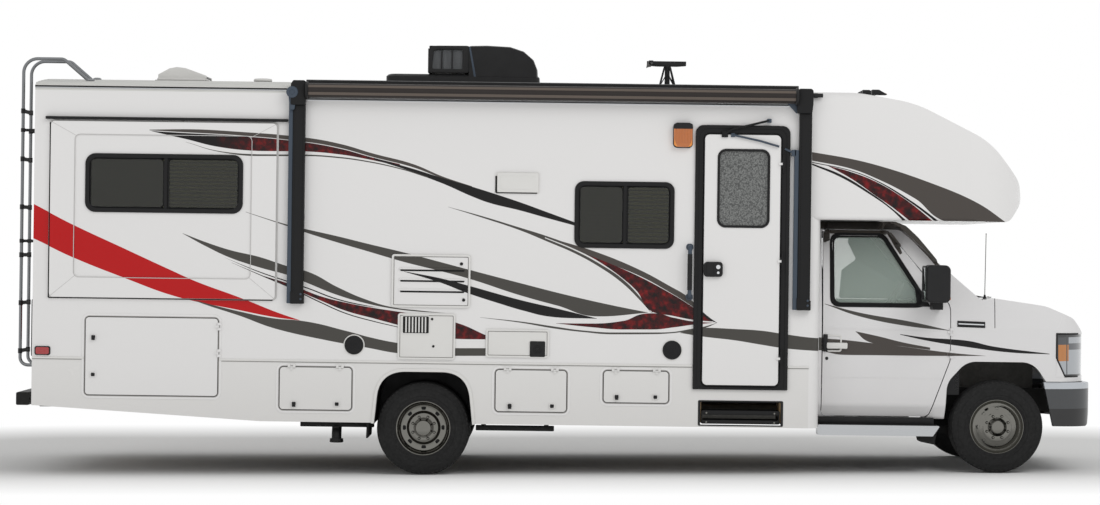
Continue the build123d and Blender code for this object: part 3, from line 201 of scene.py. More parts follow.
# ----------------------------------------------------------------------------------------- finishes
@dataclass(frozen=True)
class Finish:
    """A real material and how its surface was made.

    Each pattern's size is that of the real one in millimetres. shade is how far the colour drifts
    over patches of shade_mm, grain_mm and grain_depth_mm are the width and depth of the surface's
    fine relief.
    """

    name: str
    colour: str
    roughness: float
    metallic: float = 0
    ior: float = 1.5
    coat: float = 0
    sheen: float = 0
    shade: float = 0.06
    shade_mm: float = 260
    grain_mm: float = 4
    grain_depth_mm: float = 0.03
    wear: float = 0.05
    specular: float = 0.5
    stretch: tuple[float, float, float] = (1, 1, 1)

    def build(self) -> bpy.types.Material:
        """Make the material, or return the one already made."""
        made = bpy.data.materials.get(self.name)
        if made:
            return made
        made = bpy.data.materials.new(self.name)
        made.use_nodes = True
        tree = made.node_tree
        tree.nodes.clear()
        place = add_node(tree, "TexCoord").outputs["Object"]
        if self.stretch != (1, 1, 1):
            place = add_node(
                tree, "Mapping", {}, {"Vector": place, "Scale": self.stretch}
            ).outputs[0]
        shader = add_node(
            tree,
            "BsdfPrincipled",
            {},
            {
                "Metallic": self.metallic,
                "IOR": self.ior if not self.metallic else 1.5,
                "Specular IOR Level": self.specular,
                "Coat Weight": self.coat,
                "Coat Roughness": 0.06,
                "Sheen Weight": self.sheen,
            },
        )
        shader.inputs["Base Color"].default_value = linear(self.colour)
        tree.links.new(self.tint(tree, place), shader.inputs["Base Color"])
        tree.links.new(self.gloss(tree, place), shader.inputs["Roughness"])
        tree.links.new(self.relief(tree, place), shader.inputs["Normal"])
        out = add_node(tree, "OutputMaterial")
        tree.links.new(self.surface(tree, shader, place), out.inputs["Surface"])
        made.diffuse_color = linear(self.colour)
        return made

    def tint(self, tree: Tree, place: Socket) -> Socket:
        """Colour that drifts a little over large patches."""
        red, green, blue, _ = linear(self.colour)
        low = (red * (1 - self.shade), green * (1 - self.shade), blue * (1 - self.shade), 1)
        high = tuple(min(c * (1 + self.shade), 1) for c in (red, green, blue)) + (1,)
        patches = noise(tree, self.shade_mm, 3, place)
        return blend(tree, patches, low, high)

    def gloss(self, tree: Tree, place: Socket) -> Socket:
        """Roughness that drifts where the surface is wiped, handled or dusty."""
        low, high = max(self.roughness - self.wear, 0.02), min(self.roughness + self.wear, 1)
        patches = noise(tree, self.shade_mm * 0.35, 4, place)
        return remap(tree, patches, 0.3, 0.7, low, high)

    def relief(self, tree: Tree, place: Socket) -> Socket:
        """Fine relief of the surface as a normal."""
        height = noise(tree, self.grain_mm, 2, place)
        inputs = {"Strength": 0.6, "Distance": self.grain_depth_mm * MM, "Height": height}
        return add_node(tree, "Bump", {}, inputs).outputs[0]

    def surface(self, tree: Tree, shader: bpy.types.Node, place: Socket) -> Socket:
        """Closure that reaches the output."""
        return shader.outputs[0]


@dataclass(frozen=True)
class Pane(Finish):
    """Sheet glass, which lets light straight through and mirrors the surroundings."""

    clear: float = 0.97  # share of the sheet that isn't dust, print or mesh

    def surface(self, tree: Tree, shader: bpy.types.Node, place: Socket) -> Socket:
        """Tinted sheet with a mirror skin by Fresnel and a little of its own colour."""
        through = add_node(tree, "BsdfTransparent", {}, {"Color": linear(self.colour)})
        veiled = mingle(tree, 1 - self.clear, through.outputs[0], shader.outputs[0])
        flat = add_node(tree, "NewGeometry", {}, {}).outputs["True Normal"]
        skin = add_node(tree, "BsdfGlossy", {}, {"Roughness": self.roughness, "Normal": flat})
        facing = add_node(tree, "Fresnel", {}, {"IOR": self.ior, "Normal": flat})
        return mingle(tree, facing.outputs[0], veiled, skin.outputs[0])


@dataclass(frozen=True)
class Pebbled(Finish):
    """Obscure glass with a rolled pebble pattern, dark behind."""

    pebble_mm: float = 10

    def cells(self, tree: Tree, place: Socket) -> Socket:
        """Distance from the middle of the nearest pebble."""
        inputs = {"Vector": place, "Scale": 1000 / self.pebble_mm}
        return add_node(tree, "TexVoronoi", {"feature": "SMOOTH_F1"}, inputs).outputs[0]

    def tint(self, tree: Tree, place: Socket) -> Socket:
        """Painted light and shade: the speckle of bright and dark that the pebbles throw."""
        ramp = add_node(tree, "ValToRGB", {}, {0: self.cells(tree, place)})
        ramp.color_ramp.elements[0].position, ramp.color_ramp.elements[1].position = 0.12, 0.62
        ramp.color_ramp.elements[0].color = linear("#7A7C7A")
        ramp.color_ramp.elements[1].color = linear("#383A39")
        return ramp.outputs[0]

    def relief(self, tree: Tree, place: Socket) -> Socket:
        """Domed pebbles."""
        inputs = {"Strength": 0.8, "Distance": 1.5 * MM, "Height": self.cells(tree, place)}
        return add_node(tree, "Bump", {"invert": True}, inputs).outputs[0]


@dataclass(frozen=True)
class Woven(Finish):
    """Woven cloth, or vinyl embossed like it, with threads of thread_mm."""

    thread_mm: float = 3

    def relief(self, tree: Tree, place: Socket) -> Socket:
        """Crossing threads."""
        scale = 1000 / self.thread_mm / 2
        waves = [
            add_node(
                tree, "TexWave", {"bands_direction": way},
                {"Vector": place, "Scale": scale, "Distortion": 0.4}
            ).outputs[1]
            for way in ("X", "Z")
        ]
        crossed = maths(tree, "MAXIMUM", *waves)
        inputs = {"Strength": 0.7, "Distance": self.grain_depth_mm * MM, "Height": crossed}
        return add_node(tree, "Bump", {}, inputs).outputs[0]


@dataclass(frozen=True)
class Zone:
    """Stretch of the level frame, in millimetres, that has its own colour."""

    x0: float
    x1: float
    z0: float
    z1: float
    colour: str


@dataclass(frozen=True)
class Zoned(Finish):
    """Moulding in several colours, each in its own stretch."""

    zones: tuple[Zone, ...] = ()

    def tint(self, tree: Tree, place: Socket) -> Socket:
        """Base colour with each zone's colour laid over it in turn."""
        colour = super().tint(tree, place)
        spot = add_node(tree, "SeparateXYZ", {}, {0: place})
        for zone in self.zones:
            within = [
                maths(tree, "COMPARE", socket, (low + high) / 2 * MM, (high - low) / 2 * MM)
                for socket, low, high in (
                    (spot.outputs[0], zone.x0, zone.x1), (spot.outputs[2], zone.z0, zone.z1)
                )
            ]
            inside = maths(tree, "MULTIPLY", *within)
            colour = blend(tree, inside, colour, linear(zone.colour))
        return colour


class Film(Enum):
    """Colours of the vinyl film stripes."""

    RED = "#B2080C"
    MARBLE = "#42070A"
    GREY = "#45433F"
    TAUPE = "#47423E"
    BLACK = "#0D0C0C"
    WHITE = "#D9D8D7"


EDGE_BLUR_MM = 1.5  # film edge softened over this width
FILM_FACING = 0.42  # least product of y in metres and the normal's y on a face with film
MARBLE_TIP = (-2.62, -2.2)  # metres between which the red film darkens to its rear tip


@dataclass(frozen=True)
class Band:
    """A stripe of film between an upper and a lower edge, as (x, z) points of the level frame."""

    name: str
    film: Film
    upper: tuple[tuple[float, float], ...]
    lower: tuple[tuple[float, float], ...]

    def lay(self, tree: Tree, base: Socket, x: Any, z: Any, marble: Any) -> Socket:
        """Lay the stripe over the colour under it.

        Args:
            tree: Node tree of the stripe layout.
            base: Colour so far.
            x: Socket with the distance forward, in metres.
            z: Socket with the height, in metres.
            marble: Socket with the marbled colour.

        Returns:
            Socket with the colour after this stripe.
        """
        points = self.upper + self.lower
        x0, x1 = min(p[0] for p in points), max(p[0] for p in points)
        z0, z1 = min(p[1] for p in points) - 10, max(p[1] for p in points) + 10
        across = remap(tree, x, x0 * MM, x1 * MM, clamp=False)
        height = remap(tree, z, z0 * MM, z1 * MM, clamp=False)
        sharp = (z1 - z0) / EDGE_BLUR_MM
        factors = []
        for edge, way in ((self.upper, "top"), (self.lower, "low")):
            line = add_node(tree, "FloatCurve", {}, {1: across})
            curve = line.mapping.curves[0]
            spots = [((px - x0) / (x1 - x0), (pz - z0) / (z1 - z0)) for px, pz in edge]
            curve.points[0].location, curve.points[1].location = spots[0], spots[-1]
            for px, pz in spots[1:-1]:
                curve.points.new(px, pz)
            for point in curve.points:
                point.handle_type = "AUTO_CLAMPED"
            line.mapping.extend = "HORIZONTAL"
            line.mapping.update()
            pair = (line.outputs[0], height) if way == "top" else (height, line.outputs[0])
            gap = maths(tree, "SUBTRACT", *pair)
            factors.append(maths(tree, "MULTIPLY", gap, sharp, clamp=True))
        inside = maths(tree, "COMPARE", across, 0.5, 0.5)
        mask = maths(tree, "MULTIPLY", maths(tree, "MULTIPLY", *factors), inside)
        film = marble if self.film is Film.MARBLE else linear(self.film.value)
        return blend(tree, mask, base, film)


BANDS = (
    Band(
        "rear_red", Film.RED,
        ((-4052, 2110), (-4006, 2087), (-3733, 1944), (-3320, 1751), (-2988, 1597), (-2769, 1499),
         (-2433, 1375), (-2158, 1264), (-1965, 1197)),
        ((-4052, 1840), (-4006, 1820), (-3733, 1689), (-3320, 1524), (-2906, 1376), (-2433, 1274),
         (-2158, 1220), (-1965, 1196))
    ),
    Band(
        "rear_grey", Film.GREY,
        ((-2803, 1358), (-2433, 1266), (-2158, 1212), (-1965, 1196), (-1607, 1115), (-1428, 1067),
         (-1215, 1024), (-968, 996), (-775, 984), (-540, 984)),
        ((-2803, 1358), (-2728, 1328), (-2433, 1231), (-2158, 1132), (-1745, 1039), (-1442, 984),
         (-1215, 943), (-968, 924), (-775, 923), (-540, 923))
    ),
    Band(
        "low_swoosh_grey", Film.GREY,
        ((-2873, 1870), (-2688, 1799), (-2495, 1737), (-2287, 1689), (-2048, 1610), (-1917, 1576),
         (-1676, 1452), (-1469, 1362), (-1263, 1301), (-1056, 1275), (-849, 1255)),
        ((-2873, 1866), (-2688, 1765), (-2495, 1675), (-2287, 1607), (-2048, 1540), (-1917, 1486),
         (-1676, 1390), (-1469, 1330), (-1263, 1288), (-1056, 1264), (-849, 1253))
    ),
    Band(
        "low_swoosh_red", Film.MARBLE,
        ((-2263, 1546), (-2048, 1478), (-1813, 1385), (-1608, 1333), (-1401, 1294), (-1223, 1267),
         (-1007, 1231), (-768, 1181), (-540, 1085)),
        ((-2263, 1544), (-2048, 1451), (-1813, 1350), (-1608, 1267), (-1401, 1211), (-1223, 1163),
         (-1007, 1108), (-768, 1054), (-540, 1050))
    ),
    Band(
        "low_swoosh_line_1", Film.BLACK,
        ((-2549, 1682), (-2287, 1578), (-2048, 1497), (-1917, 1453), (-1676, 1364), (-1469, 1316),
         (-1354, 1296)),
        ((-2549, 1680), (-2287, 1569), (-2048, 1486), (-1917, 1442), (-1676, 1353), (-1469, 1308),
         (-1354, 1294))
    ),
    Band(
        "low_swoosh_line_2", Film.BLACK,
        ((-2495, 1644), (-2287, 1557), (-2048, 1456), (-1813, 1342), (-1608, 1253), (-1401, 1194),
         (-1215, 1149)),
        ((-2495, 1641), (-2287, 1549), (-2048, 1445), (-1813, 1331), (-1608, 1243), (-1401, 1185),
         (-1215, 1142))
    ),
    Band(
        "high_swoosh_grey", Film.TAUPE,
        ((-3127, 2668), (-2857, 2671), (-2433, 2651), (-1924, 2607), (-1678, 2563), (-1400, 2483),
         (-1125, 2412), (-853, 2301), (-644, 2232)),
        ((-3127, 2661), (-2857, 2646), (-2433, 2622), (-1924, 2573), (-1678, 2530), (-1400, 2454),
         (-1125, 2385), (-853, 2286), (-644, 2226))
    ),
    Band(
        "high_swoosh_red", Film.MARBLE,
        ((-3112, 2657), (-2857, 2642), (-2433, 2619), (-1924, 2570), (-1678, 2526), (-1400, 2451),
         (-1200, 2403)),
        ((-3112, 2654), (-2857, 2596), (-2549, 2526), (-2294, 2502), (-1924, 2499), (-1678, 2478),
         (-1469, 2443), (-1200, 2385))
    ),
    Band(
        "high_swoosh_edge", Film.BLACK,
        ((-1400, 2452), (-1125, 2375), (-853, 2290), (-644, 2229), (-274, 2109), (-82, 2039),
         (157, 1951)),
        ((-1400, 2437), (-1125, 2349), (-991, 2298), (-849, 2243), (-644, 2152), (-506, 2101),
         (-274, 2044), (-82, 1990), (157, 1925))
    ),
    Band(
        "high_swoosh_line", Film.GREY,
        ((-2849, 2573), (-2549, 2497), (-2294, 2478), (-1924, 2477), (-1678, 2460), (-1469, 2431),
         (-1194, 2371), (-991, 2307)),
        ((-2849, 2570), (-2549, 2488), (-2294, 2463), (-1924, 2463), (-1678, 2448), (-1469, 2420),
         (-1194, 2361), (-991, 2298))
    ),
    Band(
        "long_grey", Film.GREY,
        ((-2387, 2035), (-2048, 1931), (-1917, 1900), (-1678, 1846), (-1469, 1794), (-1153, 1718),
         (-891, 1649), (-671, 1590), (-274, 1486), (103, 1390), (458, 1310), (713, 1259)),
        ((-2387, 2031), (-2048, 1916), (-1917, 1871), (-1678, 1796), (-1469, 1735), (-1153, 1643),
         (-891, 1578), (-671, 1519), (-274, 1390), (11, 1311), (342, 1227), (713, 1256))
    ),
    Band(
        "long_black", Film.BLACK,
        ((-1169, 1577), (-891, 1524), (-671, 1466), (-274, 1356), (34, 1284), (319, 1213)),
        ((-1169, 1573), (-891, 1489), (-671, 1404), (-428, 1325), (-236, 1268), (-43, 1225),
         (319, 1209))
    ),
    Band(
        "boomerang_line", Film.GREY,
        ((-829, 2074), (-583, 2007), (-274, 1913), (-82, 1853), (157, 1766), (350, 1686),
         (512, 1586), (651, 1455), (751, 1324)),
        ((-829, 2071), (-583, 1994), (-274, 1891), (-82, 1812), (157, 1709), (350, 1601),
         (512, 1486), (651, 1351), (736, 1256))
    ),
    Band(
        "boomerang_inner", Film.WHITE,
        ((-82, 1839), (157, 1743), (350, 1644), (512, 1538), (651, 1399), (743, 1270)),
        ((-82, 1831), (157, 1731), (350, 1627), (512, 1518), (651, 1378), (733, 1262))
    ),
    Band(
        "boomerang_grey", Film.TAUPE,
        ((34, 1812), (299, 1731), (656, 1584), (882, 1462), (1001, 1393), (1114, 1289)),
        ((34, 1808), (299, 1681), (656, 1536), (882, 1412), (1001, 1339), (1114, 1262))
    ),
    Band(
        "boomerang_red", Film.MARBLE,
        ((235, 1709), (353, 1663), (588, 1563), (794, 1459), (1056, 1302), (1206, 1190)),
        ((235, 1706), (353, 1638), (519, 1519), (628, 1420), (739, 1267), (905, 1231), (1067, 1200),
         (1206, 1188))
    ),
    Band(
        "boomerang_leg", Film.MARBLE,
        ((3, 1176), (296, 1174), (519, 1194), (739, 1253), (905, 1220), (1083, 1188), (1221, 1180)),
        ((3, 1173), (296, 1142), (519, 1126), (739, 1126), (905, 1142), (1083, 1166), (1221, 1178))
    ),
    Band(
        "boomerang_under", Film.GREY,
        ((-583, 1222), (-274, 1190), (9, 1148), (227, 1119), (450, 1105), (794, 1105), (1056, 1134),
         (1144, 1151), (1241, 1179)),
        ((-583, 1219), (-274, 1179), (9, 1131), (227, 1105), (450, 1089), (794, 1091), (1056, 1119),
         (1144, 1137), (1241, 1176))
    ),
    Band(
        "boomerang_tip", Film.BLACK, ((1075, 1324), (1137, 1262), (1191, 1217), (1245, 1180)),
        ((1075, 1301), (1137, 1239), (1191, 1197), (1245, 1176))
    ),
    Band(
        "waist_grey", Film.GREY,
        ((959, 1103), (1137, 1142), (1383, 1132), (1576, 1120), (1792, 1088), (1992, 1063),
         (2116, 1057)),
        ((959, 1100), (1137, 1072), (1383, 1043), (1576, 1011), (1792, 978), (1992, 962),
         (2116, 954))
    ),
    Band(
        "cab_waist_grey", Film.TAUPE,
        ((2110, 1050), (2235, 1041), (2467, 1015), (2706, 988), (3104, 937), (3358, 915)),
        ((2110, 944), (2235, 922), (2467, 919), (2866, 914), (3104, 913), (3358, 913))
    ),
    Band(
        "cab_waist_point", Film.TAUPE, ((2340, 1107), (2531, 1065), (2706, 1021), (2921, 980)),
        ((2340, 1102), (2467, 1015), (2706, 987), (2921, 960))
    ),
    Band(
        "cab_high_wedge", Film.GREY, ((2101, 1322), (2388, 1249), (2770, 1182), (3072, 1114)),
        ((2101, 1317), (2388, 1217), (2770, 1142), (3072, 1110))
    ),
    Band(
        "cab_fender_wedge", Film.BLACK,
        ((2687, 1085), (2897, 1057), (3192, 1036), (3423, 987), (3852, 932)),
        ((2687, 1079), (2897, 1032), (3184, 986), (3582, 937), (3852, 926))
    ),
    Band(
        "cap_grey", Film.TAUPE,
        ((1977, 2496), (2270, 2445), (2470, 2397), (2887, 2260), (3234, 2114), (3496, 1951)),
        ((1977, 2429), (2270, 2368), (2470, 2292), (2771, 2136), (3041, 1951), (3496, 1949))
    ),
    Band(
        "cap_red", Film.MARBLE,
        ((2100, 2391), (2270, 2345), (2470, 2267), (2694, 2133), (2925, 1951)),
        ((2100, 2388), (2270, 2295), (2470, 2156), (2602, 2064), (2748, 1950))
    ),
    Band(
        "cap_line_1", Film.BLACK,
        ((1977, 2420), (2270, 2357), (2470, 2280), (2733, 2126), (2972, 1951)),
        ((1977, 2412), (2270, 2349), (2470, 2270), (2709, 2124), (2941, 1950))
    ),
    Band(
        "cap_line_2", Film.BLACK,
        ((1977, 2409), (2193, 2326), (2424, 2187), (2602, 2056), (2725, 1951)),
        ((1977, 2395), (2193, 2303), (2424, 2167), (2578, 2059), (2694, 1950))
    )
)


def stripe_layout() -> Tree:
    """Node group that lays all stripes over a paint colour, on outward faces of both sides."""
    made = bpy.data.node_groups.get("stripe_layout")
    if made:
        return made
    made = bpy.data.node_groups.new("stripe_layout", "ShaderNodeTree")
    made.interface.new_socket("Colour", in_out="INPUT", socket_type="NodeSocketColor")
    made.interface.new_socket("Colour", in_out="OUTPUT", socket_type="NodeSocketColor")
    source = add_node(made, "NodeGroupInput").outputs[0]
    coordinates = add_node(made, "TexCoord")
    spot = add_node(made, "SeparateXYZ", {}, {0: coordinates.outputs["Object"]})
    facing = add_node(made, "SeparateXYZ", {}, {0: coordinates.outputs["Normal"]})
    outward = maths(made, "MULTIPLY", spot.outputs[1], facing.outputs[1])
    shown = maths(made, "GREATER_THAN", outward, FILM_FACING)
    cloud = noise(made, 55, 6, coordinates.outputs["Object"])
    ramp = add_node(made, "ValToRGB", {}, {0: cloud})
    dark, light = ramp.color_ramp.elements
    dark.position, dark.color = 0.36, linear("#120708")
    light.position, light.color = 0.72, linear("#820F11")
    ramp.color_ramp.elements.new(0.52).color = linear(Film.MARBLE.value)
    tip = remap(made, spot.outputs[0], *MARBLE_TIP, 0, 1)
    marble = blend(made, tip, linear("#0B0708"), ramp.outputs[0])
    colour = source
    for band in BANDS:
        colour = band.lay(made, colour, spot.outputs[0], spot.outputs[2], marble)
    add_node(made, "NodeGroupOutput", {}, {0: blend(made, shown, source, colour)})
    return made


@dataclass(frozen=True)
class StripedPaint(Finish):
    """Glossy body finish that carries the vinyl film stripes."""

    road_film: float = 0  # how much the lowest half metre is darkened towards a warm grey
    road_reach: tuple[float, float] = (0.85, 0.35)  # heights in metres it begins and is full at

    def tint(self, tree: Tree, place: Socket) -> Socket:
        """Paint colour, darker towards the bottom, under the stripes."""
        base = super().tint(tree, place)
        if self.road_film:
            height = add_node(tree, "SeparateXYZ", {}, {0: place}).outputs[2]
            low = remap(tree, height, *self.road_reach, 0, self.road_film)
            base = blend(tree, low, base, linear("#A9A39C"))
        group = add_node(tree, "Group", {"node_tree": stripe_layout()}, {0: base})
        return group.outputs[0]


# -------------------------------------------------------------------------------------- mesh making
class Axis(Enum):
    """Direction in which an outline is drawn out.

    Outlines are (y, z) points for X, (x, z) points for Y and (x, y) points for Z.
    """

    X = 0
    Y = 1
    Z = 2

    def point(self, first: float, second: float, along: float) -> Point:
        """Place an outline point at a distance along the axis."""
        if self is Axis.X:
            return along, first, second
        if self is Axis.Y:
            return first, along, second
        return first, second, along


def rounded(
    x0: float, x1: float, z0: float, z1: float, radius: float, steps: int = 5,
    foot: float | None = None
) -> Loop:
    """Rectangle between two corners with rounded corners, as an outline.

    Args:
        x0: Low end of the first direction.
        x1: High end of the first direction.
        z0: Low end of the second direction.
        z1: High end of the second direction.
        radius: Corner radius.
        steps: Pieces of each corner.
        foot: Radius of the two lower corners where it isn't the same.

    Returns:
        Points of the outline, from the middle of the upper right corner on.
    """
    limit = min((x1 - x0) / 2, (z1 - z0) / 2) - 0.01
    radius = min(radius, limit)
    low = radius if foot is None else min(foot, limit)
    spots = []
    for cx, cz, start, bend in (
        (x1 - radius, z1 - radius, 0, radius),
        (x0 + radius, z1 - radius, 90, radius),
        (x0 + low, z0 + low, 180, low),
        (x1 - low, z0 + low, 270, low),
    ):
        for i in range(steps + 1):
            angle = math.radians(start + 90 * i / steps)
            spots.append((cx + bend * math.cos(angle), cz + bend * math.sin(angle)))
    return spots


def disc(cx: float, cz: float, radius: float, steps: int = 32) -> Loop:
    """Circle as an outline."""
    turns = [2 * math.pi * i / steps for i in range(steps)]
    return [(cx + radius * math.cos(t), cz + radius * math.sin(t)) for t in turns]


def bent(
    points: Sequence[Sequence[float]], radius: float, steps: int = 6, close: bool = False
) -> list[Vector]:
    """Round the corners of a polyline.

    Args:
        points: Corners, in two or three dimensions.
        radius: Bend radius wished for, cut down where a run is short.
        steps: Pieces of each bend.
        close: Whether the line runs back to its start.

    Returns:
        Points of the rounded line.
    """
    corners = [Vector((*p, 0)[:3]) for p in points]
    count = len(corners)
    line: list[Vector] = []
    for i, corner in enumerate(corners):
        if not close and i in (0, count - 1):
            line.append(corner)
            continue
        back = corners[i - 1] - corner
        ahead = corners[(i + 1) % count] - corner
        angle = back.angle(ahead)
        if abs(math.pi - angle) < 1e-3:
            line.append(corner)
            continue
        reach = min(radius / math.tan(angle / 2), back.length * 0.49, ahead.length * 0.49)
        start, end = corner + back.normalized() * reach, corner + ahead.normalized() * reach
        for k in range(steps + 1):
            t = k / steps
            line.append(start * (1 - t) ** 2 + corner * (2 * t * (1 - t)) + end * t * t)
    return line


def shape(points: Sequence[tuple[float, float]], radius: float, steps: int = 5) -> Loop:
    """Closed outline with rounded corners."""
    return [(p.x, p.y) for p in bent(points, radius, steps, close=True)]


def bridge(
    part: bmesh.types.BMesh, rows: Sequence[Sequence[bmesh.types.BMVert]], closed: bool = True,
    around: bool = False
) -> None:
    """Lay faces between neighbouring rows of as many vertices.

    Args:
        part: Mesh of the vertices.
        rows: Rows of vertices.
        closed: Whether each row runs back to its start.
        around: Whether the last row joins the first.
    """
    count = len(rows[0])
    for lower, upper in zip(rows, [*rows[1:], rows[0]] if around else rows[1:]):
        for i in range(count if closed else count - 1):
            j = (i + 1) % count
            part.faces.new((lower[i], lower[j], upper[j], upper[i]))


class Stock:
    """Solid pieces gathered into one mesh, in millimetres of one frame."""

    def __init__(self, space: Space = Space.BODY) -> None:
        """Start with nothing.

        Args:
            space: Frame in which the sizes are given.
        """
        self.space = space
        self.mesh = bmesh.new()

    def take(self, part: bmesh.types.BMesh, bevel: float = 0) -> None:
        """Round a piece's sharp edges and add it.

        Args:
            part: The piece, which is used up.
            bevel: Width of the rounding.
        """
        bmesh.ops.recalc_face_normals(part, faces=part.faces)
        if bevel:
            sharp = [e for e in part.edges if len(e.link_faces) == 2 and e.calc_face_angle(0) > 0.6]
            bmesh.ops.bevel(
                part, geom=sharp, offset=bevel, segments=2, profile=0.5, affect="EDGES",
                clamp_overlap=True
            )
        kept = bpy.data.meshes.new("part")
        part.to_mesh(kept)
        part.free()
        self.mesh.from_mesh(kept)
        bpy.data.meshes.remove(kept)

    def prism(self, loop: Loop, axis: Axis, start: float, end: float, bevel: float = 0) -> "Stock":
        """Draw an outline out from start to end."""
        part = bmesh.new()
        rings = [[part.verts.new(axis.point(u, v, a)) for u, v in loop] for a in (start, end)]
        bridge(part, rings)
        for ring in rings:
            part.faces.new(ring)
        self.take(part, bevel)
        return self

    def box(
        self, x0: float, x1: float, y0: float, y1: float, z0: float, z1: float, bevel: float = 1.5
    ) -> "Stock":
        """Block between two corners with eased edges."""
        return self.prism([(x0, z0), (x1, z0), (x1, z1), (x0, z1)], Axis.Y, y0, y1, bevel)

    def ring(
        self, outer: Loop, inner: Loop, axis: Axis, start: float, end: float, bevel: float = 0
    ) -> "Stock":
        """Frame between two outlines of as many points, drawn out from start to end."""
        part = bmesh.new()
        rows = [
            [part.verts.new(axis.point(u, v, a)) for u, v in loop]
            for loop, a in ((outer, start), (outer, end), (inner, end), (inner, start))
        ]
        bridge(part, rows, around=True)
        self.take(part, bevel)
        return self

    def dish(self, loops: Sequence[tuple[Loop, float]], axis: Axis, close: bool = True) -> "Stock":
        """Skin over outlines of as many points, each at its own distance along the axis."""
        part = bmesh.new()
        rows = [[part.verts.new(axis.point(u, v, a)) for u, v in loop] for loop, a in loops]
        bridge(part, rows)
        if close:
            part.faces.new(rows[0])
            part.faces.new(rows[-1])
        self.take(part)
        return self

    def lathe(
        self, section: Sequence[tuple[float, float]], centre: Point, steps: int = 48,
        axis: Axis = Axis.Y
    ) -> "Stock":
        """Turn a closed section, as (offset along the axis, radius) points, about an axis."""
        part = bmesh.new()
        rows = []
        for i in range(steps):
            angle = 2 * math.pi * i / steps
            row = []
            for offset, radius in section:
                spot = Vector(
                    axis.point(radius * math.cos(angle), radius * math.sin(angle), offset)
                )
                row.append(part.verts.new(spot + Vector(centre)))
            rows.append(row)
        bridge(part, rows, around=True)
        bmesh.ops.remove_doubles(part, verts=part.verts, dist=0.005)
        self.take(part)
        return self

    def tube(
        self, points: Sequence[Point], radius: float, bend: float = 30, sides: int = 14,
        steps: int = 6
    ) -> "Stock":
        """Round bar bent along a line."""
        line = bent(points, bend, steps)
        part = bmesh.new()
        rings = []
        turns = [2 * math.pi * k / sides for k in range(sides)]
        heading = (line[1] - line[0]).normalized()
        up = heading.orthogonal().normalized()
        for i, spot in enumerate(line):
            before, after = line[max(i - 1, 0)], line[min(i + 1, len(line) - 1)]
            fresh = (after - before).normalized()
            up = (heading.rotation_difference(fresh) @ up).normalized()
            heading = fresh
            across = heading.cross(up)
            rim = [(up * math.cos(t) + across * math.sin(t)) * radius for t in turns]
            rings.append([part.verts.new(spot + off) for off in rim])
        bridge(part, rings)
        part.faces.new(rings[0])
        part.faces.new(rings[-1])
        self.take(part)
        return self

    def across(self) -> "Stock":
        """Add the mirror image on the other side of the vehicle."""
        kept = bpy.data.meshes.new("part")
        self.mesh.to_mesh(kept)
        part = bmesh.new()
        part.from_mesh(kept)
        bpy.data.meshes.remove(kept)
        bmesh.ops.transform(part, matrix=Matrix.Scale(-1, 4, (0, 1, 0)), verts=part.verts)
        self.take(part)
        return self

    def turn(self, degrees: float, centre: Point, axis: str = "Y") -> "Stock":
        """Turn all so far about an axis through a point."""
        spin = Matrix.Rotation(math.radians(degrees), 4, axis)
        about = Matrix.Translation(centre) @ spin @ Matrix.Translation(Vector(centre) * -1)
        bmesh.ops.transform(self.mesh, matrix=about, verts=self.mesh.verts)
        return self

    def make(
        self,
        name: str,
        finish: Finish,
        body: str = "coach",
        stands_for: Sequence[str] = (),
        paint: str | None = None,
        soften: float = 35,
        side: Side | None = None,
    ) -> bpy.types.Object:
        """Turn the pieces into an object that rides on a body.

        Args:
            name: Name of the piece.
            finish: Its material.
            body: Body of the solids that it moves with.
            stands_for: Nodes of the solids that it takes the place of.
            paint: Not used.
            soften: Edges flatter than this many degrees are shaded smooth.
            side: Side on which a piece drawn on the right side goes, or None to leave it.

        Returns:
            The new object.
        """
        if side is Side.LEFT:
            flip = Matrix.Scale(-1, 4, (0, 1, 0))
            bmesh.ops.transform(self.mesh, matrix=flip, verts=self.mesh.verts)
            bmesh.ops.reverse_faces(self.mesh, faces=self.mesh.faces)
        bmesh.ops.transform(self.mesh, matrix=placing(self.space), verts=self.mesh.verts)
        data = bpy.data.meshes.new(name)
        self.mesh.to_mesh(data)
        self.mesh.free()
        for face in data.polygons:
            face.use_smooth = True
        data.set_sharp_from_angle(angle=math.radians(soften))
        data.materials.append(finish.build())
        made = bpy.data.objects.new(name, data)
        bpy.context.scene.collection.objects.link(made)
        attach(made, body)
        if stands_for:
            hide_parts(*stands_for)
        LOG.info("%s: %d faces on %s", name, len(data.polygons), body)
        return made


# ---------------------------------------------------------------------------------------- materials
# Gel-coated fibreglass over ply, waxed: a deep even gloss with the slow ripple of a laminated wall.
GEL_COAT = StripedPaint(
    "gel_coat_fibreglass", "#DEDDDC", 0.22, ior=1.46, specular=0.3, shade=0.006, shade_mm=900,
    grain_mm=420, grain_depth_mm=0.25, wear=0.015, road_film=0.05
)
# Clear-coated factory enamel on the cab's pressed steel: sharper gloss than the walls.
CAB_ENAMEL = StripedPaint(
    "cab_enamel", "#D9D8D8", 0.14, ior=1.46, specular=0.3, shade=0.006, shade_mm=700, grain_mm=3,
    grain_depth_mm=0.004, wear=0.015, road_film=0.08
)
# Gel-coated skirts, a little rougher than the walls and darker towards the bottom.
SKIRT_COAT = StripedPaint(
    "skirt_gel_coat", "#D9D8D6", 0.26, ior=1.46, specular=0.3, shade=0.006, shade_mm=900,
    grain_mm=420, grain_depth_mm=0.2, wear=0.015, road_film=0.08
)
# TPO roof membrane: chalky white rubber sheet with pooled dust.
ROOF_MEMBRANE = Finish(
    "tpo_roof_membrane", "#CFCFCB", 0.7, shade=0.09, shade_mm=420, grain_mm=9, wear=0.08
)
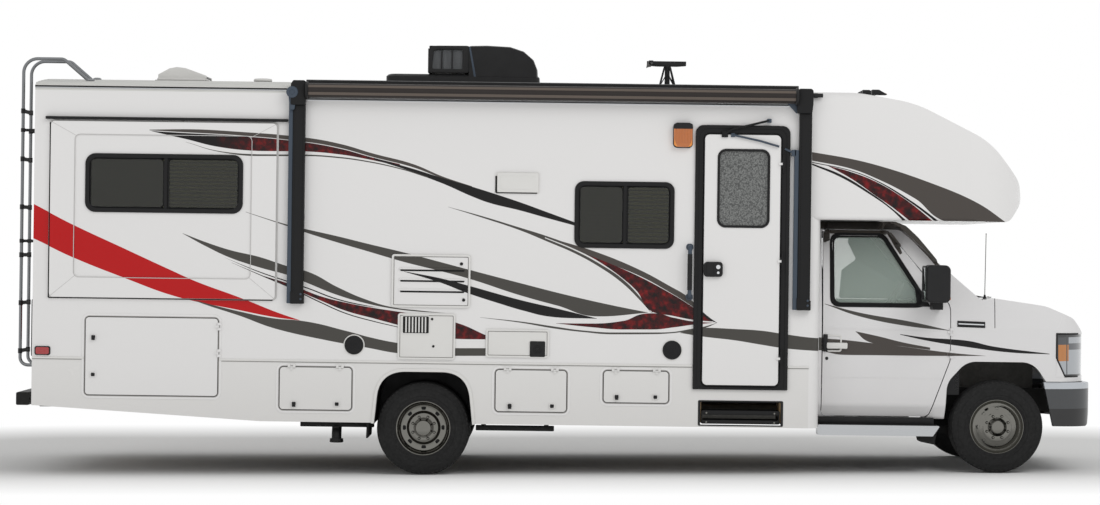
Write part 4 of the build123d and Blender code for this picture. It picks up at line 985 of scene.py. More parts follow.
# Moulded ABS trim, satin white: fine leather-like grain of the mould.
WHITE_ABS = Finish("white_abs", "#D6D5D2", 0.42, shade=0.02, grain_mm=3, grain_depth_mm=0.06)
# Moulded black ABS: charcoal with a matt grain that shows as a soft highlight.
BLACK_ABS = Finish(
    "black_abs", "#161617", 0.5, specular=0.3, shade=0.12, grain_mm=3.5, grain_depth_mm=0.08,
    wear=0.08
)
# Glass-filled nylon of latches and lock bodies, slightly shinier than the ABS.
BLACK_NYLON = Finish(
    "black_nylon", "#0F0F10", 0.38, specular=0.3, shade=0.08, grain_mm=2, grain_depth_mm=0.03
)
# Powder-coated aluminium extrusions of window frames and rails: even fine orange peel.
BLACK_POWDER = Finish(
    "black_powder_coat", "#101011", 0.4, specular=0.25, shade=0.06, grain_mm=1.5,
    grain_depth_mm=0.03
)
# The same coat in slate grey on stays and the grab bar: a softer, cooler highlight.
GREY_POWDER = Finish(
    "grey_powder_coat", "#3E4854", 0.42, specular=0.3, shade=0.05, grain_mm=1.5, grain_depth_mm=0.03
)
# Mill-finish aluminium of rails and sills: drawn lengthways, so the highlight runs along it.
MILL_ALUMINIUM = Finish(
    "mill_aluminium", "#B9BBBD", 0.3, 1, shade=0.05, grain_mm=2, grain_depth_mm=0.02,
    stretch=(0.05, 1, 1)
)
# Polished stainless liners pressed over steel wheels: near mirror with fine polishing haze.
STAINLESS = Finish("polished_stainless", "#75746F", 0.1, 1, shade=0.04, shade_mm=90, grain_mm=30,
                   grain_depth_mm=0.05, wear=0.06)
# Chromium plate on nickel: the sharpest mirror on the vehicle.
CHROME = Finish(
    "chrome_plate", "#D5D7D9", 0.06, 1, shade=0.02, grain_mm=60, grain_depth_mm=0.02, wear=0.03
)
# Steel wheel, cast drums and calipers: dark oxide primer with brake dust.
WHEEL_STEEL = Finish(
    "painted_wheel_steel", "#3A3A3B", 0.55, 0.3, shade=0.15, shade_mm=40, grain_mm=2
)
# Tyre rubber: matt, blue-black on the wall and dusty grey where it meets the road.
RUBBER = Finish(
    "tyre_rubber", "#181818", 0.78, specular=0.35, shade=0.14, shade_mm=60, grain_mm=2,
    grain_depth_mm=0.12, wear=0.1
)
# EPDM bulb seals and gaskets: matt black lines with hardly any highlight.
SEAL = Finish(
    "epdm_seal", "#0C0C0D", 0.72, specular=0.25, shade=0.1, grain_mm=2, grain_depth_mm=0.05
)
# Waxed chassis paint over rolled steel: semi-gloss black with road dust.
CHASSIS_PAINT = Finish(
    "chassis_paint", "#161615", 0.55, 0.2, specular=0.3, shade=0.25, shade_mm=70, grain_mm=4,
    grain_depth_mm=0.1, wear=0.12
)
# Cast iron and raw aluminium of the engine and gearbox: dull metal, roughly lit.
CAST_METAL = Finish(
    "cast_metal", "#5B5A57", 0.58, 0.8, shade=0.22, shade_mm=50, grain_mm=2.5, grain_depth_mm=0.2,
    wear=0.1
)
# Rotomoulded polyethylene of the tanks and the vent lid: smoky grey with a waxy sheen.
POLYETHYLENE = Finish(
    "polyethylene_tank", "#3B3C3C", 0.5, shade=0.1, grain_mm=6, grain_depth_mm=0.1
)
# Structural ply and its vinyl facing inside the coach: warm brown, grain running lengthways.
PLYWOOD = Finish(
    "faced_plywood", "#A98F6B", 0.6, shade=0.2, shade_mm=60, grain_mm=3, stretch=(0.12, 1, 1)
)
# Moulded navy trim of the far door and pillar, drawn as one large dark mass behind the cab's side
# window: part real trim, part painted shade of the cab's inside.
PILLAR_TRIM_AND_SHADE = Finish("moulded_trim", "#223348", 0.7, shade=0.05, grain_mm=2.2, grain_depth_mm=0.1)
# Dashboard: soft-touch vinyl with a pebble grain, dull enough not to show in the windscreen.
DASH_VINYL = Finish("dash_vinyl", "#3A3C42", 0.6, shade=0.06, grain_mm=2.2, grain_depth_mm=0.12)
# Moulded carpet in the lockers and slide-out, seen only from inside.
LINER = Finish(
    "locker_liner", "#57534F", 0.9, shade=0.2, shade_mm=8, grain_mm=3, grain_depth_mm=0.3
)
# Fresh lap sealant in the slide-out's joints: a pale matt line.
PALE_SEALANT = Finish(
    "pale_sealant", "#BDBCBA", 0.6, shade=0.04, shade_mm=60, grain_mm=4, grain_depth_mm=0.08
)
# Anodised ladder tube, dulled by weather: the highlight is long and narrow.
LADDER_TUBE = Finish(
    "anodised_ladder_tube", "#7C7E80", 0.24, 1, shade=0.06, grain_mm=2, grain_depth_mm=0.02
)
# Lap sealant and door seals greyed by the weather: matt mid-grey lines.
GREY_SEALANT = Finish(
    "grey_sealant", "#8E8C89", 0.7, shade=0.1, shade_mm=60, grain_mm=4, grain_depth_mm=0.1
)
# Satin dark taupe over the cab door and on its frame: partly the gutter and seal, partly painted
# shade and reflection under the cap's overhang.
GUTTER_AND_SHADE = Finish(
    "blackout_film", "#403B36", 0.34, specular=0.3, shade=0.05, grain_mm=2, grain_depth_mm=0.02
)
# Woven seat cloth, slate with darker cross threads and a soft sheen at grazing angles.
SEAT_CLOTH = Woven(
    "woven_seat_cloth", "#4B4E58", 0.86, sheen=0.25, shade=0.12, shade_mm=10, grain_depth_mm=0.4,
    thread_mm=3.2
)
# Awning cloth: laminated vinyl, rolled dark side out, with its scrim's weave pressed through.
AWNING_VINYL = Woven(
    "awning_vinyl", "#2B2624", 0.5, specular=0.25, shade=0.08, shade_mm=120, grain_depth_mm=0.18,
    thread_mm=4
)
# Painted highlight: the same cloth in a paler taupe, laid in two bands along the roll where the
# light catches its curve.
AWNING_HIGHLIGHT = Woven(
    "awning_vinyl_edge", "#5E554E", 0.5, specular=0.25, shade=0.06, shade_mm=90,
    grain_depth_mm=0.18, thread_mm=4
)
# Slats of the blinds, satin paint on aluminium, seen through tinted glass.
BLIND_SLAT = Finish("blind_slat", "#C9C6A0", 0.45, shade=0.08, shade_mm=120, grain_mm=3)
# Painted shade: a dark sheet behind the blinds that stands in for the unlit room behind the glass.
PAINTED_ROOM_SHADE = Finish("dark_room", "#20201E", 0.85, shade=0.1)
# Tinted safety glass: a grey-olive tint over the blinds, and a mirror skin.
PRIVACY_GLASS = Pane(
    "privacy_glass", "#B4B6A6", 0.035, shade=0, grain_mm=400, grain_depth_mm=0.25, clear=0.985
)
# Insect screen: glass-fibre mesh, drawn as an even dark veil because its holes are very fine.
SCREEN_MESH = Pane(
    "insect_screen", "#A5A5A0", 0.9, shade=0, grain_mm=3, grain_depth_mm=0.05, clear=0.96
)
# Cab glass: a light green tint and the cleanest reflection of all panes.
CAB_GLASS = Pane(
    "cab_glass", "#D2F1E2", 0.03, shade=0, grain_mm=400, grain_depth_mm=0.02, clear=0.99
)
# Obscure rolled glass of the entry door: a grey speckle of painted light and shade, with small
# glints.
PEBBLED_GLASS = Pebbled("pebbled_glass", "#6C6E6C", 0.16, coat=0.5)
# Amber acrylic lenses, moulded with fine prisms that break up the highlight.
AMBER_LENS = Finish("amber_acrylic", "#B3611A", 0.14, coat=0.8, shade=0.1, shade_mm=12, grain_mm=7,
                    grain_depth_mm=0.5)
# Red acrylic of markers and tail lamps, with the same prisms.
RED_LENS = Finish("red_acrylic", "#A3161A", 0.14, coat=0.8, shade=0.1, shade_mm=12, grain_mm=7,
                  grain_depth_mm=0.5)
# Lenses of the lamps as moulded: amber in front and over the entry door, red at the rear.
LAMP_LENSES = Zoned(
    "lamp_lenses", "#A3161A", 0.12, coat=0.9, shade=0.04, grain_mm=7, grain_depth_mm=0.5,
    zones=(
        Zone(3700, 4300, 700, 1200, "#A4A8AC"), Zone(3700, 4010, 1000, 1200, "#3B3D40"),
        Zone(3700, 4010, 872, 1000, "#B3702A"), Zone(4010, 4300, 960, 1010, "#55585C"),
        Zone(3700, 4300, 1058, 1200, "#17181A"), Zone(3700, 4300, 700, 768, "#17181A"),
        Zone(3700, 3922, 700, 1200, "#17181A"), Zone(3990, 3998, 700, 1200, "#2A2B2D"),
        Zone(700, 1300, 2000, 3000, "#D9821C"), Zone(-4200, -4020, 900, 1045, "#E4E4E2"),
    ),
)
# Bumper cover: bright strip along the top, moulded grey face and black air dam.
BUMPER_COVER = Zoned(
    "bumper_cover", "#3C3E40", 0.36, coat=0.25, shade=0.05, grain_mm=3, grain_depth_mm=0.05,
    zones=(Zone(3000, 4400, 655, 760, "#B9BDC2"), Zone(3000, 4400, 300, 500, "#141415")),
)
# Silvered mirror glass: a clean, slightly dimmed reflection.
MIRROR_GLASS = Finish(
    "mirror_glass", "#C9CDD0", 0.02, 1, shade=0, grain_mm=400, grain_depth_mm=0.02
)
# Aluminium fins of the roof unit's coil: close grey lines.
COIL_FIN = Finish(
    "coil_fin", "#6F7173", 0.5, 0.9, shade=0.1, shade_mm=30, grain_mm=3, grain_depth_mm=0.4
)
# Painted shade: near black that stands in for the shadow inside vents, gaps and the wheels' hand
# holes.
RECESS_SHADE = Finish("vent_inside", "#0B0B0B", 0.8, shade=0.2, grain_mm=3)


# ------------------------------------------------------------------------------ dressing the solids
@dataclass
class Solids:
    """Finishes of the solids that stay in view as they are."""

    nodes: dict[str, bpy.types.Object]

    def table(self) -> dict[str, Finish]:
        """Finish of each node by name."""
        paired: dict[str, Finish] = {
            "cab_shell": CAB_ENAMEL,
            "front_fenders": CAB_ENAMEL,
            "hood": CAB_ENAMEL,
            "windscreen": CAB_GLASS,
            "grille": CHROME,
            "front_bumper": BUMPER_COVER,
            "dashboard": DASH_VINYL,
            "running_boards": MILL_ALUMINIUM,
            "front_cap": GEL_COAT,
            "side_wall_right": GEL_COAT,
            "side_wall_left": GEL_COAT,
            "skirt_right": SKIRT_COAT,
            "skirt_left": SKIRT_COAT,
            "rear_wall": GEL_COAT,
            "coach_floor": PLYWOOD,
            "roof": ROOF_MEMBRANE,
            "baggage_boxes": LINER,
            "slideout": GEL_COAT,
            "entry_door_frame": BLACK_POWDER,
            "entry_door": GEL_COAT,
            "entry_step": CHASSIS_PAINT,
            "antenna_head": BLACK_ABS,
            "ladder": LADDER_TUBE,
            "lamps": LAMP_LENSES,
            "entry_door_glass": PEBBLED_GLASS,
            "frame_rails": CHASSIS_PAINT,
            "front_suspension": CHASSIS_PAINT,
            "rear_axle": CHASSIS_PAINT,
            "powertrain": CAST_METAL,
            "tanks": POLYETHYLENE,
            "rear_bumper": CHASSIS_PAINT,
            "knuckle_right": CAST_METAL,
            "knuckle_left": CAST_METAL,
        }
        for side in Side:
            paired[f"cab_door_{side.word}"] = CAB_ENAMEL
            paired[f"cab_door_glass_{side.word}"] = CAB_GLASS
            paired[f"mirror_{side.word}"] = BLACK_ABS
            paired[f"tyre_front_{side.word}"] = RUBBER
            paired[f"tyres_rear_{side.word}"] = RUBBER
            paired[f"rim_front_{side.word}"] = WHEEL_STEEL
            paired[f"rims_rear_{side.word}"] = WHEEL_STEEL
        for name in self.nodes:
            if name.startswith("baggage_door"):
                paired[name] = SKIRT_COAT if name != "baggage_door_rear" else GEL_COAT
        return paired

    def dress(self) -> None:
        """Give every solid its finish."""
        paired = self.table()
        for name, node in self.nodes.items():
            finish = paired.get(name, WHITE_ABS).build()
            if not node.material_slots:
                node.data.materials.append(finish)
            for slot in node.material_slots:
                slot.material = finish
            LOG.info("%s wears %s", name, finish.name)


# ------------------------------------------------------------------------------------------- wheels
@dataclass
class Wheel:
    """Road wheel with its tyre and pressed stainless liner, drawn on the right side."""

    name: str
    body: str
    centre: Point
    node_tyre: str
    node_rim: str
    side: Side
    twin_y: float = 0  # centre of the inner twin tyre, or 0 for a single wheel
    radius: float = 360
    half_width: float = 112.5
    rim_radius: float = 203
    lug_count: int = 8

    def tyre_section(self) -> list[tuple[float, float]]:
        """Section of the tyre from the outer bead over the tread to the inner bead and back."""
        half, top, bead = self.half_width, self.radius, self.rim_radius + 0.5
        outer = [
            (-84, bead), (-92, bead + 2), (-98, bead + 10), (-101, bead + 13), (-103, bead + 22),
            (-106.5, bead + 25), (-108, bead + 44), (-111.5, bead + 47), (-half, 280), (-half, 290),
            (-half + 1.5, 303), (-half - 0.3, 305), (-half + 1.5, 307), (-half + 4, 325),
            (-half + 9, 343), (-half + 17, 354)
        ]
        tread = []
        groove = top - 9.5
        for a, b in ((-half + 24, -50), (-42, -19), (-11, 11), (19, 42), (50, half - 24)):
            ends = [(y, top - 2.6 * (abs(y) / half) ** 2) for y in (a, b)]
            tread += [(a, groove), *ends, (b, groove)]
        tread = tread[1:-1]
        back = [(-y, r) for y, r in reversed(outer)]
        inside = [(84, bead), (98, 282), (92, 335), (0, 344), (-92, 335), (-98, 282)]
        return outer + tread + back + inside[1:]

    def tyre(self) -> None:
        """Ribbed tyre with its shoulder blocks."""
        rubber = Stock(Space.LEVEL)
        x, y, z = self.centre
        for spot in [(x, y, z), (x, self.twin_y, z)] if self.twin_y else [(x, y, z)]:
            rubber.lathe(self.tyre_section(), spot, steps=72)
            self.shoulder_blocks(rubber, spot)
        rubber.make(
            f"{self.name}_tyre", RUBBER, self.body, [self.node_tyre], "tyre", soften=28,
            side=self.side
        )

    def shoulder_blocks(self, rubber: Stock, spot: Point) -> None:
        """Row of blocks along each shoulder of the tread."""
        count = 60
        part = bmesh.new()
        for way in (-1, 1):
            for i in range(count):
                middle = 2 * math.pi * i / count
                wide = math.pi / count * 0.68
                rows = []
                for y, low, high in (
                    (self.half_width - 25, 350, 358.7), (self.half_width - 6.5, 338, 350.5)
                ):
                    for t in (middle - wide, middle + wide):
                        for r in (low, high):
                            x, z = r * math.cos(t), r * math.sin(t)
                            rows.append(
                                part.verts.new((spot[0] + x, spot[1] + way * y, spot[2] + z))
                            )
                a0, a1, b0, b1, c0, c1, d0, d1 = rows
                for quad in (
                    (a0, a1, b1, b0), (c0, d0, d1, c1), (a0, c0, c1, a1), (b0, b1, d1, d0),
                    (a1, c1, d1, b1), (a0, b0, d0, c0)
                ):
                    part.faces.new(quad)
        rubber.take(part)

    def lugs(self, metal: Stock, y: float, ring: float, radius: float, height: float) -> None:
        """Ring of domed lug nuts."""
        for i in range(self.lug_count):
            angle = 2 * math.pi * (i + 0.5) / self.lug_count
            spot = (
                self.centre[0] + ring * math.cos(angle), y, self.centre[2] + ring * math.sin(angle)
            )
            section = [
                (0, 0), (0, radius), (-height * 0.7, radius * 0.93), (-height, radius * 0.5),
                (-height, 0)
            ]
            metal.lathe(section, spot, steps=6)

    def holes(
        self, dark: Stock, section: Sequence[tuple[float, float]], count: int, ring: float,
        size: float
    ) -> None:
        """Hand holes in painted shade: dark rounded slots that lie just proud of the liner."""
        (y0, r0), (y1, r1) = section
        for i in range(count):
            angle = 2 * math.pi * i / count
            part = bmesh.new()
            spots = []
            for u, v in shape(
                [(-size, -size * 0.62), (size, -size * 0.62), (size * 0.78, size * 0.62),
                 (-size * 0.78, size * 0.62)],
                size * 0.5, 4
            ):
                r = ring - v
                t = angle + u / ring
                share = (r - r0) / (r1 - r0)
                y = y0 + (y1 - y0) * share - 0.8
                spots.append(
                    part.verts.new(
                        (self.centre[0] + r * math.cos(t), self.centre[1] + y,
                         self.centre[2] + r * math.sin(t))
                    )
                )
            part.faces.new(spots)
            ridge = bmesh.ops.extrude_face_region(part, geom=part.faces[:])
            lifted = [v for v in ridge["geom"] if isinstance(v, bmesh.types.BMVert)]
            bmesh.ops.translate(part, verts=lifted, vec=(0, 3, 0))
            dark.take(part)

    def simulator(
        self, dish: Loop, hub: Loop, lugs: tuple[float, float], face: Loop, ring: float, size: float
    ) -> None:
        """Stainless simulator over the rim, with its lug nuts and hand holes in painted shade.

        Args:
            dish: Closed section of the liner.
            hub: Closed section of the hub cover.
            lugs: Offset of the lug nuts along the axle, and their height.
            face: Two points of the liner's section that the hand holes lie between.
            ring: Distance of the hand holes from the axle.
            size: Half of a hand hole's length.
        """
        metal, dark = Stock(Space.LEVEL), Stock(Space.LEVEL)
        metal.lathe(dish, self.centre, steps=64)
        metal.lathe(hub, self.centre, steps=48)
        self.lugs(metal, self.centre[1] + lugs[0], 89, 13, lugs[1])
        metal.make(
            f"{self.name}_liner", STAINLESS, self.body, paint="chrome", soften=32, side=self.side
        )
        self.holes(dark, face, 8, ring, size)
        # Painted shade: dark slabs standing in for the shadow inside the hand holes.
        dark.make(f"{self.name}_hand_holes", RECESS_SHADE, self.body, side=self.side)

    def steel(self, name: str, sections: Sequence[tuple[Loop, int]]) -> None:
        """Steel of the wheel in place of the plain one, as sections with their steps round."""
        steel = Stock(Space.LEVEL)
        for section, steps in sections:
            steel.lathe(section, self.centre, steps=steps)
        steel.make(
            f"{self.name}_{name}", WHEEL_STEEL, self.body, [self.node_rim], "chrome", soften=30,
            side=self.side
        )


@dataclass
class RearWheels(Wheel):
    """Twin rear wheel: a deep dished outer rim with hand holes and a tall hub cover."""

    def liner(self) -> None:
        """Stainless simulator over the outer rim."""
        dish = [
            (-89, 218), (-95, 212), (-96, 206), (-91, 200), (-78, 192), (-30, 184),
            (-6, 178), (0, 168), (2, 150), (0, 132), (-14, 118), (-22, 112),
            (-26, 100), (-26, 74), (-24, 70), (-22, 70), (-22, 100), (-18, 110),
            (-8, 116), (6, 130), (8, 150), (6, 170), (0, 182), (-28, 188),
            (-76, 196), (-84, 203),
        ]
        hub = [(-22, 0), (-22, 72), (-28, 74), (-34, 72), (-62, 66), (-84, 63),
               (-90, 57), (-93, 44), (-94, 0)]
        self.simulator(dish, hub, (-26, 26), [(1, 150), (1, 151)], 150, 20)

    def rims(self) -> None:
        """Both steel rims with their discs."""
        spacing = abs(self.centre[1]) - abs(self.twin_y)
        outer = [
            (-88, 217), (-88, 204), (-70, 198), (60, 190), (spacing / 2 - 12, 150),
            (spacing / 2 - 12, 62), (-20, 62), (-20, 27), (spacing / 2, 27), (spacing / 2, 158),
            (88, 198), (88, 204),
        ]
        inner = [(spacing - v, r) for v, r in outer]
        self.steel("rims", [(outer, 40), (inner, 40)])

    def build(self) -> None:
        """Make all pieces."""
        self.tyre()
        self.rims()
        self.liner()


@dataclass
class FrontWheel(Wheel):
    """Single front wheel: a shallow dome of lug nuts round a pointed hub cover."""

    def liner(self) -> None:
        """Stainless simulator over the rim."""
        dish = [
            (-89, 218), (-95, 212), (-96, 206), (-90, 200), (-80, 194), (-74, 184),
            (-78, 172), (-92, 158), (-104, 142), (-112, 128), (-116, 116), (-122, 110),
            (-124, 100), (-124, 72), (-120, 70), (-119, 98), (-116, 108), (-110, 114),
            (-106, 128), (-98, 142), (-86, 158), (-72, 174), (-68, 184), (-74, 196),
            (-84, 203),
        ]
        hub = [(-118, 0), (-118, 72), (-126, 74), (-131, 70), (-140, 60), (-150, 54),
               (-158, 46), (-161, 30), (-162, 0)]
        self.simulator(dish, hub, (-124, 22), [(-92, 158), (-112, 128)], 145, 17)

    def rim(self) -> None:
        """Steel rim, disc brake and hub."""
        barrel = [(-88, 217), (-88, 203), (-70, 196), (70, 190), (88, 198), (88, 217),
                  (82, 204), (60, 202), (-60, 204), (-82, 206)]
        web = [(-60, 196), (-62, 176), (-76, 156), (-96, 128), (-104, 112), (-108, 100), (-108, 64),
               (-98, 64), (-94, 112), (-52, 176), (-50, 196)]
        hub = [(-112, 27), (-112, 62), (20, 62), (20, 27)]
        brake = [(-8, 60), (-8, 158), (0, 159), (14, 159), (14, 60)]
        self.steel("rim", [(barrel, 40), (web, 40), (hub, 32), (brake, 40)])

    def build(self) -> None:
        """Make all pieces."""
        self.tyre()
        self.rim()
        self.liner()


# ------------------------------------------------------------------------------------------ windows
@dataclass
class Window:
    """Sliding coach window in a black frame, with an insect screen and slatted blinds."""

    name: str
    body: str
    x0: float
    x1: float
    z0: float
    z1: float
    face_y: float
    side: Side = Side.RIGHT
    radius: float = 70
    share: float = 0.505
    flange: float = 26
    proud: float = 12
    depth: float = 46
    slat_pitch: float = 29
    yaw: float = 0  # turn about the upright axis that brings the right wall's frame to another wall

    def finish(
        self, stock: Stock, part: str, finish: Finish, stands_for: Sequence[str] = (),
        paint: str | None = None
    ) -> None:
        """Turn a piece to its wall and make it."""
        stock.turn(self.yaw, (0, 0, 0), "Z")
        stock.make(f"{self.name}_{part}", finish, self.body, stands_for, paint, side=self.side)

    @property
    def middle(self) -> float:
        """Place of the divider between the panes."""
        return self.x0 + (self.x1 - self.x0) * self.share

    def inset(self, by: float, less: float) -> Loop:
        """Outline of the frame made smaller all round, its corners less round."""
        x0, x1, z0, z1 = self.x0 + by, self.x1 - by, self.z0 + by, self.z1 - by
        return rounded(x0, x1, z0, z1, self.radius - less, 8)

    def opening(self) -> Loop:
        """Outline of the clear opening."""
        return self.inset(self.flange + 8, 22)

    def frame(self, stands_for: Sequence[str]) -> None:
        """Clamped frame, divider and inner stops."""
        inner = self.opening()
        middle = self.middle
        y = -self.face_y
        bar = Stock()
        bar.ring(self.inset(0, 0), inner, Axis.Y, y - self.proud, y, 4)
        bar.ring(self.inset(self.flange, 15), inner, Axis.Y, y, y + self.depth, 0)
        low, high = self.z0 + self.flange + 6, self.z1 - self.flange - 6
        bar.box(middle - 14, middle + 14, y - 9, y + 12, low, high, 2.5)
        bar.box(middle + 16, middle + 26, y - 1, y + 16, low, high, 1.5)
        self.finish(bar, "frame", BLACK_POWDER, stands_for, "black_plastic")

    def glazing(self) -> None:
        """Two panes with a thin rubber bead round each."""
        inset = self.flange + 9
        middle = self.middle
        y = -self.face_y
        panes, bead = Stock(), Stock()
        for x0, x1, back in ((self.x0 + inset, middle - 12, 4), (middle + 12, self.x1 - inset, 9)):
            low, high = self.z0 + inset, self.z1 - inset
            outer = rounded(x0, x1, low, high, 36, 6)
            inner = rounded(x0 + 9, x1 - 9, low + 9, high - 9, 28, 6)
            panes.prism(outer, Axis.Y, y + back, y + back + 5)
            bead.ring(outer, inner, Axis.Y, y + back - 4, y + back + 1, 1.2)
        self.finish(panes, "panes", PRIVACY_GLASS, (), "tinted_glass")
        self.finish(bead, "beads", SEAL)

    def blinds(self) -> None:
        """Slats behind both panes, and a dark sheet of painted shade behind them for the unlit
        room.
        """
        y = -self.face_y
        inset = self.flange + 10
        middle = self.middle
        low, high = self.z0 + inset, self.z1 - inset
        slats = Stock()
        count = int((high - low) / self.slat_pitch)
        for i in range(count):
            z = low + (i + 0.5) * (high - low) / count
            for x0, x1 in ((self.x0 + inset + 6, middle - 14), (middle + 14, self.x1 - inset - 6)):
                slats.prism(
                    [(y + 22, z + 7.5), (y + 23.5, z + 8.5), (y + 32, z - 6.5),
                     (y + 30.5, z - 8.5)],
                    Axis.X, x0, x1
                )
        self.finish(slats, "slats", BLIND_SLAT)
        # Painted shade: a dark sheet standing in for the unlit room behind the blinds.
        room = Stock()
        room.prism(self.opening(), Axis.Y, y + self.depth - 5, y + self.depth - 1)
        self.finish(room, "lining", PAINTED_ROOM_SHADE)

    def screen(self) -> None:
        """Insect screen over the rear pane: a grey mesh that veils the blinds."""
        y = -self.face_y
        inset = self.flange + 12
        low, high = self.z0 + inset, self.z1 - inset
        veil = Stock()
        pane = rounded(self.x0 + inset, self.middle - 14, low, high, 30, 5)
        veil.prism(pane, Axis.Y, y + 13, y + 14)
        self.finish(veil, "screen", SCREEN_MESH)

    def build(self, stands_for: Sequence[str] = ()) -> None:
        """Make all pieces."""
        self.frame(stands_for)
        self.glazing()
        self.blinds()
        self.screen()


# ------------------------------------------------------------------------------------ wall fittings
@dataclass
class Vents:
    """Fridge vent, furnace cover, outdoor shower hatch and range hood flap of the right wall."""

    wall_y: float = -HALF_W
    fridge: tuple[float, float, float, float] = (-4728, -4121, 1239, 1647)
    furnace: tuple[float, float, float, float] = (-4676, -4232, 837, 1193)
    hatch: tuple[float, float, float, float] = (-3996, -3507, 861, 1079)
    flap: tuple[float, float, float, float] = (-3942, -3601, 2125, 2290)
    rim: float = 15

    def door(
        self, name: str, spot: tuple[float, float, float, float], proud: float, finish: Finish,
        stands_for: Sequence[str],
    ) -> None:
        """Flat access door inside a moulded rim, both in the wall's colour."""
        x0, x1, z0, z1 = spot
        outer = rounded(x0, x1, z0, z1, 20)
        inner = rounded(x0 + self.rim, x1 - self.rim, z0 + self.rim, z1 - self.rim, 9)
        edge = Stock()
        edge.ring(outer, inner, Axis.Y, self.wall_y - proud, self.wall_y, 3)
        edge.make(f"{name}_rim", WHITE_ABS, "coach", stands_for, "white_plastic")
        gap = Stock()
        gap.ring(
            rounded(x0 + self.rim - 1, x1 - self.rim + 1, z0 + self.rim - 1, z1 - self.rim + 1, 9),
            rounded(x0 + self.rim + 6, x1 - self.rim - 6, z0 + self.rim + 6, z1 - self.rim - 6, 6),
            Axis.Y, self.wall_y - 4, self.wall_y, 0,
        )
        gap.make(f"{name}_gap", GREY_SEALANT)
        leaf = Stock()
        inset = self.rim + 4
        leaf.prism(
            rounded(x0 + inset, x1 - inset, z0 + inset, z1 - inset, 6), Axis.Y,
            self.wall_y - proud * 0.6, self.wall_y, 2.5
        )
        leaf.make(f"{name}_leaf", finish, paint="gelcoat_white")

    def louvres(self) -> None:
        """Three long slots of the fridge vent in painted shade, each under a lip, and its two turn
        latches.
        """
        x0, x1, _, _ = self.fridge
        dark, lips, knobs = Stock(), Stock(), Stock()
        face = self.wall_y - 18 * 0.6
        for z in (1364, 1446, 1528):
            dark.prism(rounded(x0 + 66, x1 - 46, z - 11, z + 9, 7, 3), Axis.Y, face - 1, face + 2)
            lips.prism(
                [(face + 1, z + 22), (face - 9, z + 14), (face - 13, z + 4), (face - 11, z + 3),
                 (face - 7, z + 11), (face + 1, z + 18)],
                Axis.X, x0 + 60, x1 - 40, 0
            )
        for x, z in ((x1 - 70, 1578), (x1 - 50, 1300)):
            knobs.lathe([(0, 0), (0, 13), (-5, 12), (-6, 0)], (x, face, z), 20)
            knobs.box(x - 3, x + 3, face - 10, face - 4, z - 11, z + 11, 1)
        # Painted shade: the slots are dark sheets standing in for the shadow inside the vent.
        dark.make("fridge_vent_slots", RECESS_SHADE)
        lips.make("fridge_vent_lips", GEL_COAT)
        knobs.make("fridge_vent_latches", BLACK_NYLON)

    def grille(self) -> None:
        """Upright bars of the furnace exhaust over painted shade, its screw and its lock."""
        face = self.wall_y - 14 * 0.6
        dark, bars, dots = Stock(), Stock(), Stock()
        x0, x1, z0, z1 = -4637, -4437, 1040, 1170
        # Painted shade: a dark sheet behind the bars for the shadow inside the exhaust.
        dark.prism(rounded(x0, x1, z0, z1, 8, 3), Axis.Y, face - 1, face + 2)
        pitch = (x1 - x0) / 8
        for i in range(1, 8):
            x = x0 + pitch * i
            bars.box(x - 5.5, x + 5.5, face - 7, face, z0 + 5, z1 - 5, 2)
        bars.ring(
            rounded(x0 - 7, x1 + 7, z0 - 7, z1 + 7, 12, 4), rounded(x0, x1, z0, z1, 8, 4), Axis.Y,
            face - 5, face, 1.5
        )
        for x, z in ((-4400, 940), (-4412, 1150)):
            dots.lathe([(0, 0), (0, 10), (-4, 9), (-5, 0)], (x, face, z), 20)
        dark.make("furnace_exhaust_dark", RECESS_SHADE)
        bars.make("furnace_exhaust_bars", WHITE_ABS)
        dots.make("furnace_cover_lock", BLACK_NYLON)

    def valve(self) -> None:
        """Black socket with its round knob in the hatch."""
        face = self.wall_y - 14 * 0.6
        plate = Stock()
        plate.prism(rounded(-3656, -3538, 868, 990, 10), Axis.Y, face - 7, face, 2)
        plate.lathe(
            [(0, 0), (0, 38), (-4, 38), (-6, 35), (-6, 30), (-2, 28), (-2, 16),
             (-10, 14), (-12, 0)],
            (-3597, face - 6, 929), 32,
        )
        for dx, dz in ((-46, -48), (46, -48), (-46, 48), (46, 48)):
            plate.lathe([(0, 0), (0, 5), (-2, 4.5), (-3, 0)], (-3597 + dx, face - 6, 929 + dz), 12)
        plate.make("hatch_valve", BLACK_NYLON)

    def hood_flap(self) -> None:
        """Flap of the range hood, with painted shadow in the gap at its rear and lower edges."""
        x0, x1, z0, z1 = self.flap
        y = self.wall_y
        base = Stock()
        base.prism(rounded(x0, x1, z0, z1, 12), Axis.Y, y - 5, y, 1.5)
        base.make("hood_flap_base", WHITE_ABS)
        # Painted shadow: dark strips in the gap along the flap's rear and lower edges.
        dark = Stock()
        dark.box(x0 + 3, x0 + 17, y - 9, y - 4, z0 + 6, z1 - 30, 1)
        dark.box(x0 + 10, x1 - 14, y - 9, y - 4, z0 + 1, z0 + 9, 1)
        dark.make("hood_flap_gap", RECESS_SHADE)
        flap = Stock()
        flap.prism(rounded(x0 + 18, x1 - 4, z0 + 10, z1 - 4, 14), Axis.Y, y - 20, y - 5, 4)
        flap.prism(rounded(x0 + 42, x1 - 30, z0 + 34, z1 - 28, 8), Axis.Y, y - 22, y - 19, 1.5)
        flap.make("hood_flap", WHITE_ABS)

